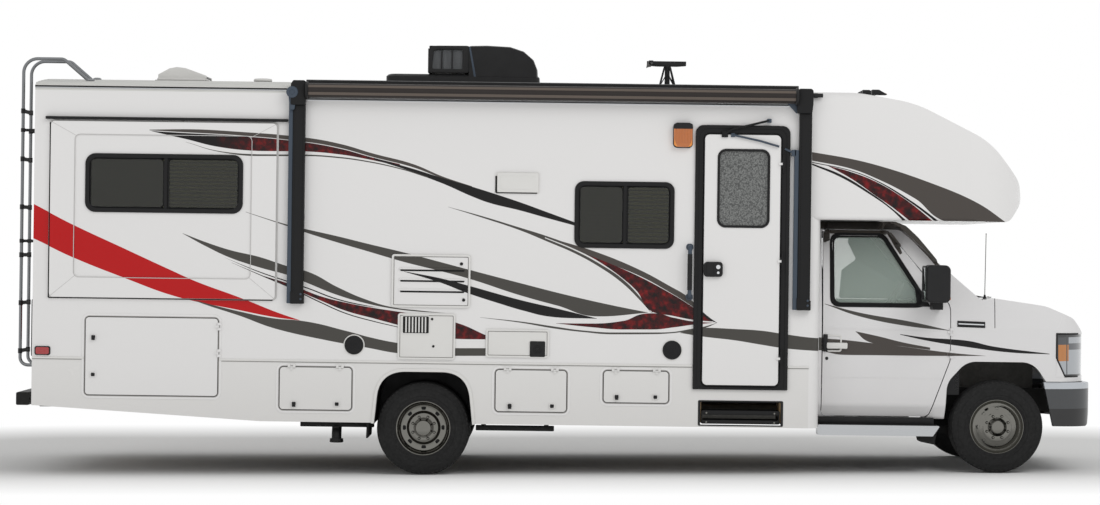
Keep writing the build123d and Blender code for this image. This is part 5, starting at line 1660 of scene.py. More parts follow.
    def build(self) -> None:
        """Make all pieces."""
        self.door("fridge_vent", self.fridge, 18, GEL_COAT, ["side_vents"])
        self.door("furnace_cover", self.furnace, 14, WHITE_ABS, ())
        self.door("shower_hatch", self.hatch, 14, WHITE_ABS, ())
        self.louvres()
        self.grille()
        self.valve()
        self.hood_flap()


def off_wall(way: int, section: Loop) -> Loop:
    """Section given by its distance out from a side wall and its height, as (y, z) points."""
    return [(way * (HALF_W + u), v) for u, v in section]


def grown(points: Loop, by: float) -> Loop:
    """Line moved outward along its normals."""
    moved = []
    for i, (u, v) in enumerate(points):
        a, b = points[max(i - 1, 0)], points[min(i + 1, len(points) - 1)]
        du, dv = b[0] - a[0], b[1] - a[1]
        size = math.hypot(du, dv)
        moved.append((u - dv / size * by, v + du / size * by))
    return moved


@dataclass
class WallTrim:
    """Belt moulding, drip rails, speakers and rear arch rims of the coach."""

    belt_h: float = 15
    rear_x: float = REAR_X
    seam_x: float = SEAM_X
    long_rail_z: float = 2904  # height of the rails that carry the dark insert

    def belt(self) -> None:
        """Moulding that covers the joint of wall and skirt, broken where doors cross it."""
        bar, groove = Stock(), Stock()
        z = BELT_Z + 4
        high = z + self.belt_h
        section = [(0, z), (7, z + 1), (9, z + 6), (7, high), (0, high + 2)]
        runs_right = [(self.rear_x, -7095), (-6049, -2402), (-1665, self.seam_x)]
        for way, runs in ((-1, runs_right), (1, [(self.rear_x, self.seam_x)])):
            for x0, x1 in runs:
                bar.prism(off_wall(way, section), Axis.X, x0, x1)
                y0, y1 = sorted((way * HALF_W, way * (HALF_W + 2.5)))
                groove.box(x0, x1, y0, y1, BELT_Z - 1, z, 0)
        bar.make("belt_moulding", WHITE_ABS)
        groove.make("belt_joint", GREY_SEALANT)

    def drip_rail(self) -> None:
        """Rail along both roof edges with its black insert, and the strip over the sheet's edge."""
        rail, insert, strip = Stock(), Stock(), Stock()
        edge = ROOF_EDGE_Z
        lap = [(0, edge - 32), (4, edge - 32), (5, edge - 20), (0, edge - 16)]
        high = self.long_rail_z
        for way, runs in (
            (-1, [(self.rear_x, -5520, high), (-5395, -1628, 2832)]),
            (1, [(self.rear_x, self.seam_x, high)]),
        ):
            for x0, x1, z in runs:
                section = [(0, z - 9), (9, z - 9), (11, z - 4), (8, z + 2), (8, z + 9), (0, z + 12)]
                rail.prism(off_wall(way, section), Axis.X, x0, x1)
                if z == high:
                    y0, y1 = sorted((way * (HALF_W + 7), way * (HALF_W + 10)))
                    insert.box(x0, x1, y0, y1, z - 7, z + 10, 0)
            strip.prism(off_wall(way, lap), Axis.X, self.rear_x, self.seam_x)
        rail.make("drip_rails", MILL_ALUMINIUM)
        insert.make("drip_rail_inserts", BLACK_POWDER)
        strip.make("roof_edge_strips", WHITE_ABS)

    def speakers(self) -> None:
        """Two round outdoor speakers: ribbed black cover in a soft ring."""
        for name, x, z in (("rear", -5012, 942), ("front", -2560, 935)):
            cover = Stock()
            y = -HALF_W
            cover.lathe([(0, 0), (0, 73), (-9, 73), (-14, 68), (-14, 62), (-9, 60),
                         (-9, 0)], (x, y, z), 48)
            for r in (12, 24, 36, 48):
                cover.lathe([(-8, r - 3), (-12, r - 2), (-12, r + 2), (-8, r + 3)], (x, y, z), 40)
            for i in range(6):
                angle = math.pi * i / 6
                dx, dz = 58 * math.cos(angle), 58 * math.sin(angle)
                cover.tube([(x - dx, y - 9, z - dz), (x + dx, y - 9, z + dz)], 2.2, sides=6)
            cover.make(f"speaker_{name}", BLACK_ABS)
            ring = Stock()
            ring.lathe([(0, 73.5), (0, 82), (-3, 81), (-5, 77), (-5, 73.5)], (x, y, z), 48)
            ring.make(f"speaker_ring_{name}", WHITE_ABS)

    def rear_arch(self, side: Side) -> None:
        """White rim round the rear wheel opening and the dark tub inside it."""
        corners = [(-4865, 200), (-4812, 741), (-4136, 741), (-4079, 200)]
        line = [(p.x, p.y) for p in bent(corners, 225, 14)]
        keep = [p for p in line if p[1] > 338 or p in (line[0], line[-1])]
        keep[0] = (-4865 + 53 * 138 / 541, 338)
        keep[-1] = (-4079 - 57 * 138 / 541, 338)
        rim = Stock()
        inner, outer = grown(keep, 0.5), grown(keep, 24)
        y = -HALF_W
        rim.prism(inner + outer[::-1], Axis.Y, y - 9, y, 3)
        rim.make(f"rear_arch_rim_{side.word}", WHITE_ABS, side=side)
        tub = Stock()
        inside, skin = grown(keep, -2), grown(keep, 3)
        tub.prism(inside + skin[::-1], Axis.Y, y + 32, -690)
        tub.prism(inside, Axis.Y, -692, -689)
        tub.make(f"rear_arch_tub_{side.word}", BLACK_ABS, side=side)

    def build(self) -> None:
        """Make all pieces."""
        self.belt()
        self.drip_rail()
        self.speakers()
        for side in Side:
            self.rear_arch(side)


@dataclass
class BaggageDoor:
    """Seal and frame round a baggage door, with its latches."""

    name: str
    x0: float
    x1: float
    z0: float
    z1: float
    side: Side
    hinge_front: bool = False
    gap: float = 6
    radius: float = 26

    def surround(self) -> None:
        """Black seal in the gap and the white extrusion round it, on the coach."""
        y = -HALF_W
        seal, frame = Stock(), Stock()

        def loop(grow: float) -> Loop:
            """Outline of the leaf, grown."""
            return rounded(
                self.x0 - grow, self.x1 + grow, self.z0 - grow, self.z1 + grow, self.radius + grow,
                6
            )

        seal.ring(loop(self.gap + 6), loop(self.gap - 1), Axis.Y, y - 1.5, y + 3, 0.5)
        frame.ring(loop(self.gap + 24), loop(self.gap + 6), Axis.Y, y - 3, y, 1.2)
        seal.make(f"{self.name}_seal", GREY_SEALANT, side=self.side)
        frame.make(f"{self.name}_surround", GEL_COAT, side=self.side)

    def latches(self) -> None:
        """Paddle latch and cylinder lock over the leaf's latch bodies."""
        y = -HALF_W - 14
        width = self.x1 - self.x0
        if self.hinge_front:
            spots = [(self.x0 + 60, 980), (self.x0 + 60, 690)]
        else:
            spots = [(self.x0 + width * share, self.z0 + 45) for share in (0.2, 0.8)]
        paddle = Stock()
        for i, (x, z) in enumerate(spots):
            paddle.prism(rounded(x - 15, x + 15, z - 14, z + 13, 6), Axis.Y, y - 3, y + 11, 2)
            if i == 0:
                paddle.prism(
                    [(y - 2, z + 12), (y - 12, z + 9), (y - 14, z - 14), (y - 9, z - 26),
                     (y - 4, z - 24), (y - 4, z - 8)],
                    Axis.X, x - 13, x + 13, 1.5
                )
            else:
                paddle.lathe([(-2, 0), (-2, 13), (-6, 12), (-6, 9), (-4.5, 8), (-4.5, 0)],
                             (x, y, z), 20)
        paddle.make(f"{self.name}_latches", BLACK_NYLON, self.name, side=self.side)

    def build(self) -> None:
        """Make all pieces."""
        self.surround()
        self.latches()


@dataclass
class SlideOut:
    """Seals and joint lines of the slide-out room, and its window."""

    x0: float = -7365
    x1: float = -5626
    z0: float = 1285
    z1: float = 2640
    face_y: float = -HALF_W - 28
    rim: tuple[float, float, float, float] = (185, 190, 154, 100)

    def seals(self) -> None:
        """Wiper seals round the opening, painted shadow lines along its rear and lower edges, and
        the rain rail over it, on the coach.
        """
        y = -HALF_W
        rubber, rail = Stock(), Stock()
        outer = rounded(self.x0 - 14, self.x1 + 14, self.z0 - 12, self.z1 + 12, 40)
        inner = rounded(self.x0 + 2, self.x1 - 2, self.z0 + 2, self.z1 - 2, 28)
        rubber.ring(outer, inner, Axis.Y, y - 4, y, 1)
        rail.box(-7408, -5540, y - 34, y, self.z1 + 14, self.z1 + 36, 4)
        rubber.make("slideout_wiper", PALE_SEALANT)
        # Painted shadow: dark lines along the rear and lower edges only, where the fascia's rim
        # casts its shadow.
        dark = Stock()
        dark.box(self.x0 - 13, self.x0 - 3, y - 6, y, self.z0 - 6, self.z1 - 10, 1)
        dark.box(self.x0 - 8, self.x1 - 20, y - 6, y, self.z0 - 11, self.z0 - 3, 1)
        dark.make("slideout_sweep_seal", SEAL)
        rail.make("slideout_rain_rail", BLACK_POWDER)

    def joints(self) -> None:
        """Mitred corners of the fascia's rim, and the edge of its middle panel."""
        rear, front, low, top = self.rim
        inner = (self.x0 + rear, self.x1 - front, self.z0 + low, self.z1 - top)
        lines = Stock()
        y = self.face_y
        for (cx, cz), (px, pz) in (
            ((self.x0 + 9, self.z0 + 9), (inner[0] + 12, inner[2] + 12)),
            ((self.x0 + 9, self.z1 - 9), (inner[0] + 12, inner[3] - 12)),
            ((self.x1 - 9, self.z0 + 9), (inner[1] - 12, inner[2] + 12)),
            ((self.x1 - 9, self.z1 - 9), (inner[1] - 12, inner[3] - 12)),
        ):
            lines.tube([(cx, y + 0.6, cz), (px, y + 0.6, pz)], 2, sides=8)
        outer_loop = rounded(inner[0] - 3, inner[1] + 3, inner[2] - 3, inner[3] + 3, 43)
        inner_loop = rounded(inner[0] + 2, inner[1] - 2, inner[2] + 2, inner[3] - 2, 38)
        lines.ring(outer_loop, inner_loop, Axis.Y, y - 1.5, y + 7, 1)
        lines.make("slideout_joints", PALE_SEALANT, "slide_out_room")

    def build(self) -> None:
        """Make all pieces."""
        self.seals()
        self.joints()
        Window(
            "slideout_window", "slide_out_room", -7097, -5881, 1941, 2395, HALF_W + 20, radius=80,
            share=0.51, depth=34,
        ).build(["slideout_window"])


# --------------------------------------------------------------------------------------- entry door
@dataclass
class EntryDoor:
    """Seals, lock, stay, grab bar and step details of the entry door."""

    x0: float = -2398
    x1: float = -1669
    z0: float = 639
    z1: float = 2673
    light: tuple[float, float, float, float] = (-2218, -1832, 1894, 2482)
    hinge_heights: tuple[float, float, float] = (850, 1600, 2350)

    def trim(self) -> None:
        """Frame flange over the solid frame, the leaf's bulb seal and the glass bead."""
        y = -HALF_W - 14
        flange = Stock()
        flange.ring(
            rounded(self.x0 - 1, self.x1 + 1, self.z0 - 3, self.z1 + 1, 92, 8, foot=6),
            rounded(self.x0 + 26, self.x1 - 26, self.z0 + 14, self.z1 - 26, 68, 8, foot=4), Axis.Y,
            y - 7, y + 15, 3
        )
        flange.make("entry_flange", BLACK_POWDER, paint="black_plastic")
        seal = Stock()
        seal.ring(
            rounded(self.x0 + 64, self.x1 - 64, self.z0 + 22, self.z1 - 64, 44, 8),
            rounded(self.x0 + 72, self.x1 - 72, self.z0 + 32, self.z1 - 72, 36, 8), Axis.Y,
            -HALF_W - 23, -HALF_W - 18, 1.5
        )
        seal.make("entry_leaf_edge", SEAL, "entry_door")
        x0, x1, z0, z1 = self.light
        bead = Stock()
        bead.ring(
            rounded(x0 - 10, x1 + 10, z0 - 10, z1 + 10, 66, 8),
            rounded(x0 + 9, x1 - 9, z0 + 9, z1 - 9, 50, 8), Axis.Y, -HALF_W - 27, -HALF_W - 9, 3
        )
        bead.make("entry_light_frame", BLACK_POWDER, "entry_door", paint="black_plastic")

    def lock(self) -> None:
        """Square paddle lock with its cylinder and pull."""
        y = -HALF_W - 42
        body, metal = Stock(), Stock()
        body.prism(rounded(-2325, -2179, 1504, 1620, 26), Axis.Y, y - 6, y + 24, 4)
        body.prism(rounded(-2306, -2252, 1520, 1604, 14), Axis.Y, y - 14, y - 5, 3)
        metal.lathe([(-5, 0), (-5, 17), (-10, 16), (-11, 12), (-11, 0)], (-2214, y, 1580), 28)
        metal.box(-2216, -2212, y - 12, y - 10, 1573, 1587, 0.5)
        metal.lathe([(-5, 0), (-5, 11), (-9, 10), (-9, 0)], (-2214, y, 1536), 24)
        body.make("entry_lock_body", BLACK_NYLON, "entry_door", paint="black_plastic")
        metal.make("entry_lock_cylinders", CHROME, "entry_door")

    def stay(self) -> None:
        """Closer strut across the frame's top front corner and its lower gas strut."""
        upper, lower = Stock(), Stock()
        y = -HALF_W - 40
        upper.tube([(-2175, y, 2606), (-2120, y - 6, 2640), (-1835, y - 6, 2712)], 9, 30)
        upper.lathe([(0, 0), (0, 19), (-10, 17), (-12, 0)], (-2175, y + 4, 2606), 24)
        upper.box(-2200, -2150, y + 4, y + 20, 2580, 2632, 4)
        upper.make("entry_stay", BLACK_POWDER, "entry_door")
        arm = Stock()
        arm.tube([(-2110, y + 6, 2598), (-1900, y + 3, 2554), (-1756, y + 2, 2513)], 8, 60)
        arm.box(-2128, -2096, y + 4, -HALF_W - 10, 2582, 2612, 4)
        arm.make("entry_stay_arm", GREY_POWDER, "entry_door")
        lower.tube([(-1712, y + 2, 2496), (-1676, y + 2, 2480), (-1640, y + 2, 2462)], 8, 60)
        lower.box(-1660, -1622, -HALF_W - 48, -HALF_W, 2440, 2490, 5)
        lower.box(-1852, -1818, -HALF_W - 52, -HALF_W, 2696, 2726, 4)
        lower.make("entry_stay_bracket", GREY_POWDER)

    def knuckle_covers(self) -> None:
        """Black caps over the hinge knuckles in the frame's front jamb."""
        caps = Stock()
        for z in self.hinge_heights:
            caps.box(-1728, -1712, -HALF_W - 34, -HALF_W - 20, z - 38, z + 98, 2)
        caps.make("entry_knuckle_covers", BLACK_POWDER)

    def grab_bar(self) -> None:
        """Sleeve and feet of the grab bar."""
        bar = Stock()
        y = -HALF_W - 60
        x, low, high = -2433, 1346, 1731
        line = [(x, -HALF_W, low), (x, y, low), (x, y, high), (x, -HALF_W, high)]
        bar.tube(line, 16, 34, 18)
        for z in (low, high):
            foot = rounded(x - 28, x + 28, z - 26, z + 26, 22)
            bar.prism(foot, Axis.Y, -HALF_W - 8, -HALF_W, 3)
        bar.make("entry_grab_bar", GREY_POWDER, paint="aluminium")
        grip = Stock()
        grip.tube([(x, y, low + 54), (x, y, high - 54)], 19, 0, 18)
        grip.make("entry_grab_grip", BLACK_ABS)

    def step(self) -> None:
        """Ribbed treads, edge strips and the dark well behind them."""
        tread, strip = Stock(), Stock()
        for z, y in ((470, -HALF_W + 4), (396, -HALF_W + 14)):
            for i in range(9):
                tread.box(-2310, -1742, y + 30 + 22 * i, y + 40 + 22 * i, z, z + 3.5, 1)
            strip.box(-2322, -1730, y - 4, y + 6, z - 26, z + 4, 2.5)
        tread.make("step_treads", RUBBER, "entry_step")
        strip.make("step_nosings", BLACK_POWDER, "entry_step", paint="chassis_black")
        well = Stock()
        well.ring(rounded(-2354, -1697, 354, 552, 10), rounded(-2336, -1715, 364, 540, 6), Axis.Y,
                  -HALF_W - 3, -HALF_W + 10, 2)
        well.box(-2344, -1707, -HALF_W + 12, -968, 539, 545, 0)
        well.box(-2346, -2340, -HALF_W + 12, -968, 368, 540, 0)
        well.box(-1711, -1705, -HALF_W + 12, -968, 368, 540, 0)
        well.make("step_well_liner", BLACK_ABS)
        spots = Stock()
        for x in (-2288, -1764):
            for z, y in ((455, -HALF_W), (383, -HALF_W + 10)):
                spots.lathe([(0, 0), (0, 8), (-3, 7), (-4, 0)], (x, y, z), 16)
        spots.make("step_screws", STAINLESS, "entry_step")

    def build(self) -> None:
        """Make all pieces."""
        self.trim()
        self.lock()
        self.stay()
        self.knuckle_covers()
        self.grab_bar()
        self.step()


# ------------------------------------------------------------------------------------------- awning
@dataclass
class Awning:
    """Rolled awning on its two folded arms."""

    x0: float = -5395
    x1: float = -1620
    y: float = -HALF_W - 75
    z: float = ROOF_EDGE_Z - 41
    radius: float = 57

    def arc(self, low: float, high: float, near: float, far: float) -> Loop:
        """Outline of a strip of the roll, between two angles up from level and two radii."""
        turns = [math.radians(low + (high - low) * i / 12) for i in range(13)]
        rim = [(self.y - far * math.cos(t), self.z + far * math.sin(t)) for t in turns]
        return rim + [
            (self.y - near * math.cos(t), self.z + near * math.sin(t)) for t in reversed(turns)
        ]

    def roll(self) -> None:
        """Cloth wound on its tube, with two bands of painted highlight along the roll."""
        cloth, edge = Stock(), Stock()
        turns = [2 * math.pi * i / 64 for i in range(64)]
        wound = [
            (self.y - (self.radius - 3 * t / 6.3) * math.cos(t),
             self.z + (self.radius - 3 * t / 6.3) * math.sin(t))
            for t in turns
        ]
        cloth.prism(wound, Axis.X, self.x0 + 4, self.x1 - 4)
        cloth.prism([(-HALF_W - 4, self.z + 52), (-HALF_W - 4, self.z + 48), (self.y, self.z + 52),
                     (self.y, self.z + 57)], Axis.X, self.x0 + 10, self.x1 - 10)
        cloth.make("awning_cloth", AWNING_VINYL, "coach", ["awning"], "awning_fabric")
        # Painted highlight: two paler bands on the roll's upper and lower curve.
        edge.prism(
            self.arc(22, 44, self.radius - 4, self.radius + 1.4), Axis.X, self.x0 + 6, self.x1 - 6
        )
        edge.prism(
            self.arc(-40, -16, self.radius - 6, self.radius - 1), Axis.X, self.x0 + 6, self.x1 - 6
        )
        edge.make("awning_cloth_edge", AWNING_HIGHLIGHT)
        rail = Stock()
        z = ROOF_EDGE_Z
        rail.prism(
            [(-HALF_W, z + 2), (-HALF_W - 10, z + 4), (-HALF_W - 18, z + 14),
             (-HALF_W - 16, z + 40), (-HALF_W, z + 46)],
            Axis.X, self.x0 - 10, self.x1 + 10
        )
        rail.make("awning_rail", BLACK_POWDER)

    def arm(self, tag: str, x0: float, x1: float, top: float, strip_top: float) -> None:
        """Folded arm with its casting at the roll and its foot on the wall."""
        dark, pale = Stock(), Stock()
        face = -HALF_W - 56
        width = x1 - x0
        split = x0 + width * 0.27
        dark.box(split, x1 - 6, face, -HALF_W, 1262, top - 110, 4)
        dark.box(split + 16, x1 - 22, face - 6, face + 4, 1330, top - 220, 3)
        dark.prism(
            shape(
                [(x0 + 16, top - 190), (x1 - 8, top - 190), (x1, top - 120), (x1, top - 14),
                 (x1 - 16, top), (x0 + 34, top), (x0 + 16, top - 30)],
                14
            ),
            Axis.Y, face - 24, -HALF_W, 5
        )
        dark.prism(shape([(split - 6, 1255), (x1, 1255), (x1, 1330), (split - 6, 1352)], 8), Axis.Y,
                   face - 4, -HALF_W, 3)
        pale.box(x0 + 2, split - 2, face + 8, -HALF_W, 1258, strip_top, 3)
        pale.box(split + 1, split + 5, face + 2, -HALF_W, 1280, top - 200, 1)
        for z in (1292, 1330):
            pale.lathe([(0, 0), (0, 9), (-4, 8), (-5, 0)], (x1 - 24, face - 3, z), 16)
        dark.make(f"awning_arm_{tag}", BLACK_POWDER, paint="black_plastic")
        pale.make(f"awning_arm_strip_{tag}", GREY_POWDER)

    def ends(self) -> None:
        """End discs of the roll, the rear lever and the front gusset."""
        dark, pale = Stock(), Stock()
        section = [(0, 0), (0, 66), (4, 70), (16, 70), (22, 62), (22, 0)]
        dark.lathe([(self.x0 - 8 + u, r) for u, r in section], (0, self.y, self.z), 40, Axis.X)
        dark.lathe([(self.x1 + 4 - u, r) for u, r in section], (0, self.y, self.z), 40, Axis.X)
        dark.tube([(self.x0 - 60, self.y + 20, self.z), (self.x1 + 60, self.y + 20, self.z)], 20, 0)
        dark.make("awning_ends", BLACK_ABS)
        face = -HALF_W - 74
        pale.lathe([(0, 0), (0, 44), (-5, 46), (-12, 42), (-14, 22), (-10, 18), (-10, 0)],
                   (-5507, face, self.z - 14), 36)
        pale.prism(
            shape(
                [(-5526, self.z - 150), (-5490, self.z - 150), (-5470, self.z), (-5540, self.z)], 10
            ),
            Axis.Y, face + 2, -HALF_W, 3
        )
        pale.prism(shape([(-1724, 2872), (-1612, 2872), (-1612, 2770), (-1628, 2770)], 6), Axis.Y,
                   -HALF_W - 40, -HALF_W - 30, 2)
        pale.make("awning_levers", GREY_POWDER)
        stub = Stock()
        stub.tube([(-1497, -HALF_W - 30, 2911), (-1424, -HALF_W - 30, 2911)], 16, 0)
        stub.box(-1500, -1462, -HALF_W - 30, -HALF_W + 10, 2893, 2929, 3)
        stub.make("awning_stub", BLACK_ABS)

    def build(self) -> None:
        """Make all pieces."""
        self.roll()
        self.arm("rear", -5535, -5400, ROOF_EDGE_Z + 37, ROOF_EDGE_Z - 110)
        self.arm("front", -1640, -1500, ROOF_EDGE_Z + 22, 2488)
        self.ends()


# --------------------------------------------------------------------------------------------- roof
@dataclass
class RoofUnits:
    """Air conditioner, vent lid, pipe cap, antenna and their lap sealant."""

    mast_x: float = -2576

    def air_conditioner(self) -> None:
        """Shrouded unit: low tray, finned coil behind an open cage, and a domed cover."""
        base = ROOF_EDGE_Z + 66
        tray = Stock()
        steps = [(0, base), (0, base + 70), (14, base + 84), (30, base + 90)]
        loops = [(rounded(-4844 + i, -3612 - i, -350 + i, 350 - i, 70, 6), z) for i, z in steps]
        tray.dish(loops, Axis.Z)
        tray.make("ac_tray", BLACK_ABS, "coach", ["roof_fittings"], "black_plastic")
        dome = Stock()
        view = [(-4190, 3050), (-4190, 3326), (-4040, 3331), (-3850, 3322), (-3740, 3286),
                (-3660, 3216), (-3630, 3140), (-3626, 3050)]
        line = shape(view, 26, 4)
        middle = sum(p[1] for p in line) / len(line)
        rows = []
        for y, shrink in ((-344, 0.90), (-330, 0.955), (-300, 0.985), (-240, 1), (240, 1),
                          (300, 0.985), (330, 0.955), (344, 0.90)):
            along = 0.6 + 0.4 * shrink
            loop = [(-3910 + (u + 3910) * along, middle + (v - middle) * shrink) for u, v in line]
            rows.append((loop, y))
        dome.dish(rows, Axis.Y)
        dome.make("ac_dome", BLACK_ABS, paint="black_plastic")
        seam = Stock()
        rib = [(-4182, 3316), (-4168, 3316), (-4118, 3056), (-4136, 3056)]
        seam.prism(rib, Axis.Y, -347, -338, 1)
        seam.prism(rib, Axis.Y, 338, 347, 1)
        seam.make("ac_seam", GREY_POWDER)
        cage = Stock()
        outer = shape([(-4509, 3104), (-4496, 3300), (-4440, 3322), (-4180, 3324), (-4180, 3104)],
                      22, 4)
        inner = shape([(-4476, 3136), (-4466, 3276), (-4428, 3292), (-4232, 3292), (-4232, 3136)],
                      16, 4)
        for y0, y1 in ((-340, -318), (318, 340)):
            cage.ring(outer, inner, Axis.Y, y0, y1, 3)
        cage.box(-4500, -4180, -330, 330, 3300, 3322, 6)
        cage.box(-4509, -4484, -330, 330, 3104, 3300, 5)
        for x in (-4400, -4316):
            cage.box(x - 5, x + 5, -338, -326, 3130, 3300, 1.5)
        cage.make("ac_cage", BLACK_ABS, paint="black_plastic")
        coil = Stock()
        for i in range(26):
            x = -4474 + 9.4 * i
            coil.box(x, x + 4, -316, 316, 3134, 3294, 0)
        coil.box(-4476, -4230, -300, 300, 3130, 3290, 0)
        coil.make("ac_coil", COIL_FIN)

    def lids(self) -> None:
        """Vent lid, pipe cap, antenna base and beads of lap sealant."""
        lid = Stock()
        base = ROOF_EDGE_Z + 70
        lid.prism(rounded(-6700, -6300, -200, 200, 24), Axis.Z, base, base + 34, 4)
        for side in (-1, 1):
            lid.prism(
                [(-6690, base + 30), (-6690, base + 62), (-6600, base + 112), (-6540, base + 124),
                 (-6470, base + 116), (-6300, base + 56), (-6300, base + 30)],
                Axis.Y, min(side * 196, side * 180), max(side * 196, side * 180), 3
            )
        lid.make("vent_lid_frame", WHITE_ABS, paint="white_plastic")
        smoke = Stock()
        profile = [(-6686, base + 34), (-6684, base + 58), (-6598, base + 106), (-6540, base + 118),
                   (-6472, base + 110), (-6306, base + 52), (-6306, base + 34)]
        smoke.prism(shape(profile, 10), Axis.Y, -180, 180, 4)
        smoke.make("vent_lid", POLYETHYLENE)
        cap = Stock()
        section = [(0, 0), (0, 46), (26, 46), (26, 74), (34, 76), (46, 70), (50, 40), (50, 0)]
        cap.lathe(section, (-5863, 0, ROOF_EDGE_Z + 70), 40, Axis.Z)
        cap.prism(rounded(-2660, -2492, -82, 82, 18), Axis.Z, ROOF_EDGE_Z + 66, ROOF_EDGE_Z + 98, 4)
        cap.make("pipe_cap", WHITE_ABS, paint="white_plastic")
        bead = Stock()
        for loop in (rounded(-6712, -6288, -212, 212, 30), disc(-5863, 0, 84),
                     rounded(-2674, -2478, -96, 96, 26), rounded(-4858, -3598, -364, 364, 76)):
            corners = [(u, v, crown(v) + 3) for u, v in loop]
            bead.tube(corners + corners[:1], 8, 0, 8)
        bead.make("lap_sealant", GREY_SEALANT)

    def antenna(self) -> None:
        """Tapering lattice mast on the coach, and the covers of the turning head."""
        mast = Stock()
        low, high = ROOF_EDGE_Z + 96, ROOF_EDGE_Z + 250
        corners = [(-1, -1), (1, -1), (1, 1), (-1, 1)]
        x = self.mast_x
        feet = [(x + 62 * u, 62 * v, low) for u, v in corners]
        tops = [(x + 24 * u, 24 * v, high) for u, v in corners]
        for i, (foot, top) in enumerate(zip(feet, tops)):
            mast.tube([foot, top], 7, 0, 8)
            mast.tube([foot, tops[(i + 1) % 4]], 4, 0, 6)
            mast.tube([feet[(i + 1) % 4], top], 4, 0, 6)
        tall = high - low + 4
        mast.lathe([(0, 0), (0, 22), (tall, 20), (tall, 0)], (x, 0, low), 20, Axis.Z)
        mast.lathe([(-6, 0), (-6, 84), (4, 80), (16, 50), (20, 0)], (x, 0, low), 32, Axis.Z)
        mast.make("antenna_mast", BLACK_ABS)
        head = Stock()
        z = ROOF_EDGE_Z + 268
        head.prism(
            shape(
                [(-2744, z - 2), (-2736, z + 24), (-2640, z + 30), (-2520, z + 30), (-2430, z + 24),
                 (-2422, z - 2), (-2500, z - 8), (-2660, z - 8)],
                8
            ),
            Axis.Y, -29, 29, 7
        )
        for y in (-1, 1):
            for k in range(3):
                wide = 296 - 60 * k
                head.box(
                    -2738 + 8 * k, -2732 + 8 * k, min(y * 24, y * wide), max(y * 24, y * wide),
                    z - 4, z + 9, 1.5
                )
        head.make("antenna_head_cover", BLACK_ABS, "antenna_head")

    def build(self) -> None:
        """Make all pieces."""
        self.air_conditioner()
        self.lids()
        self.antenna()


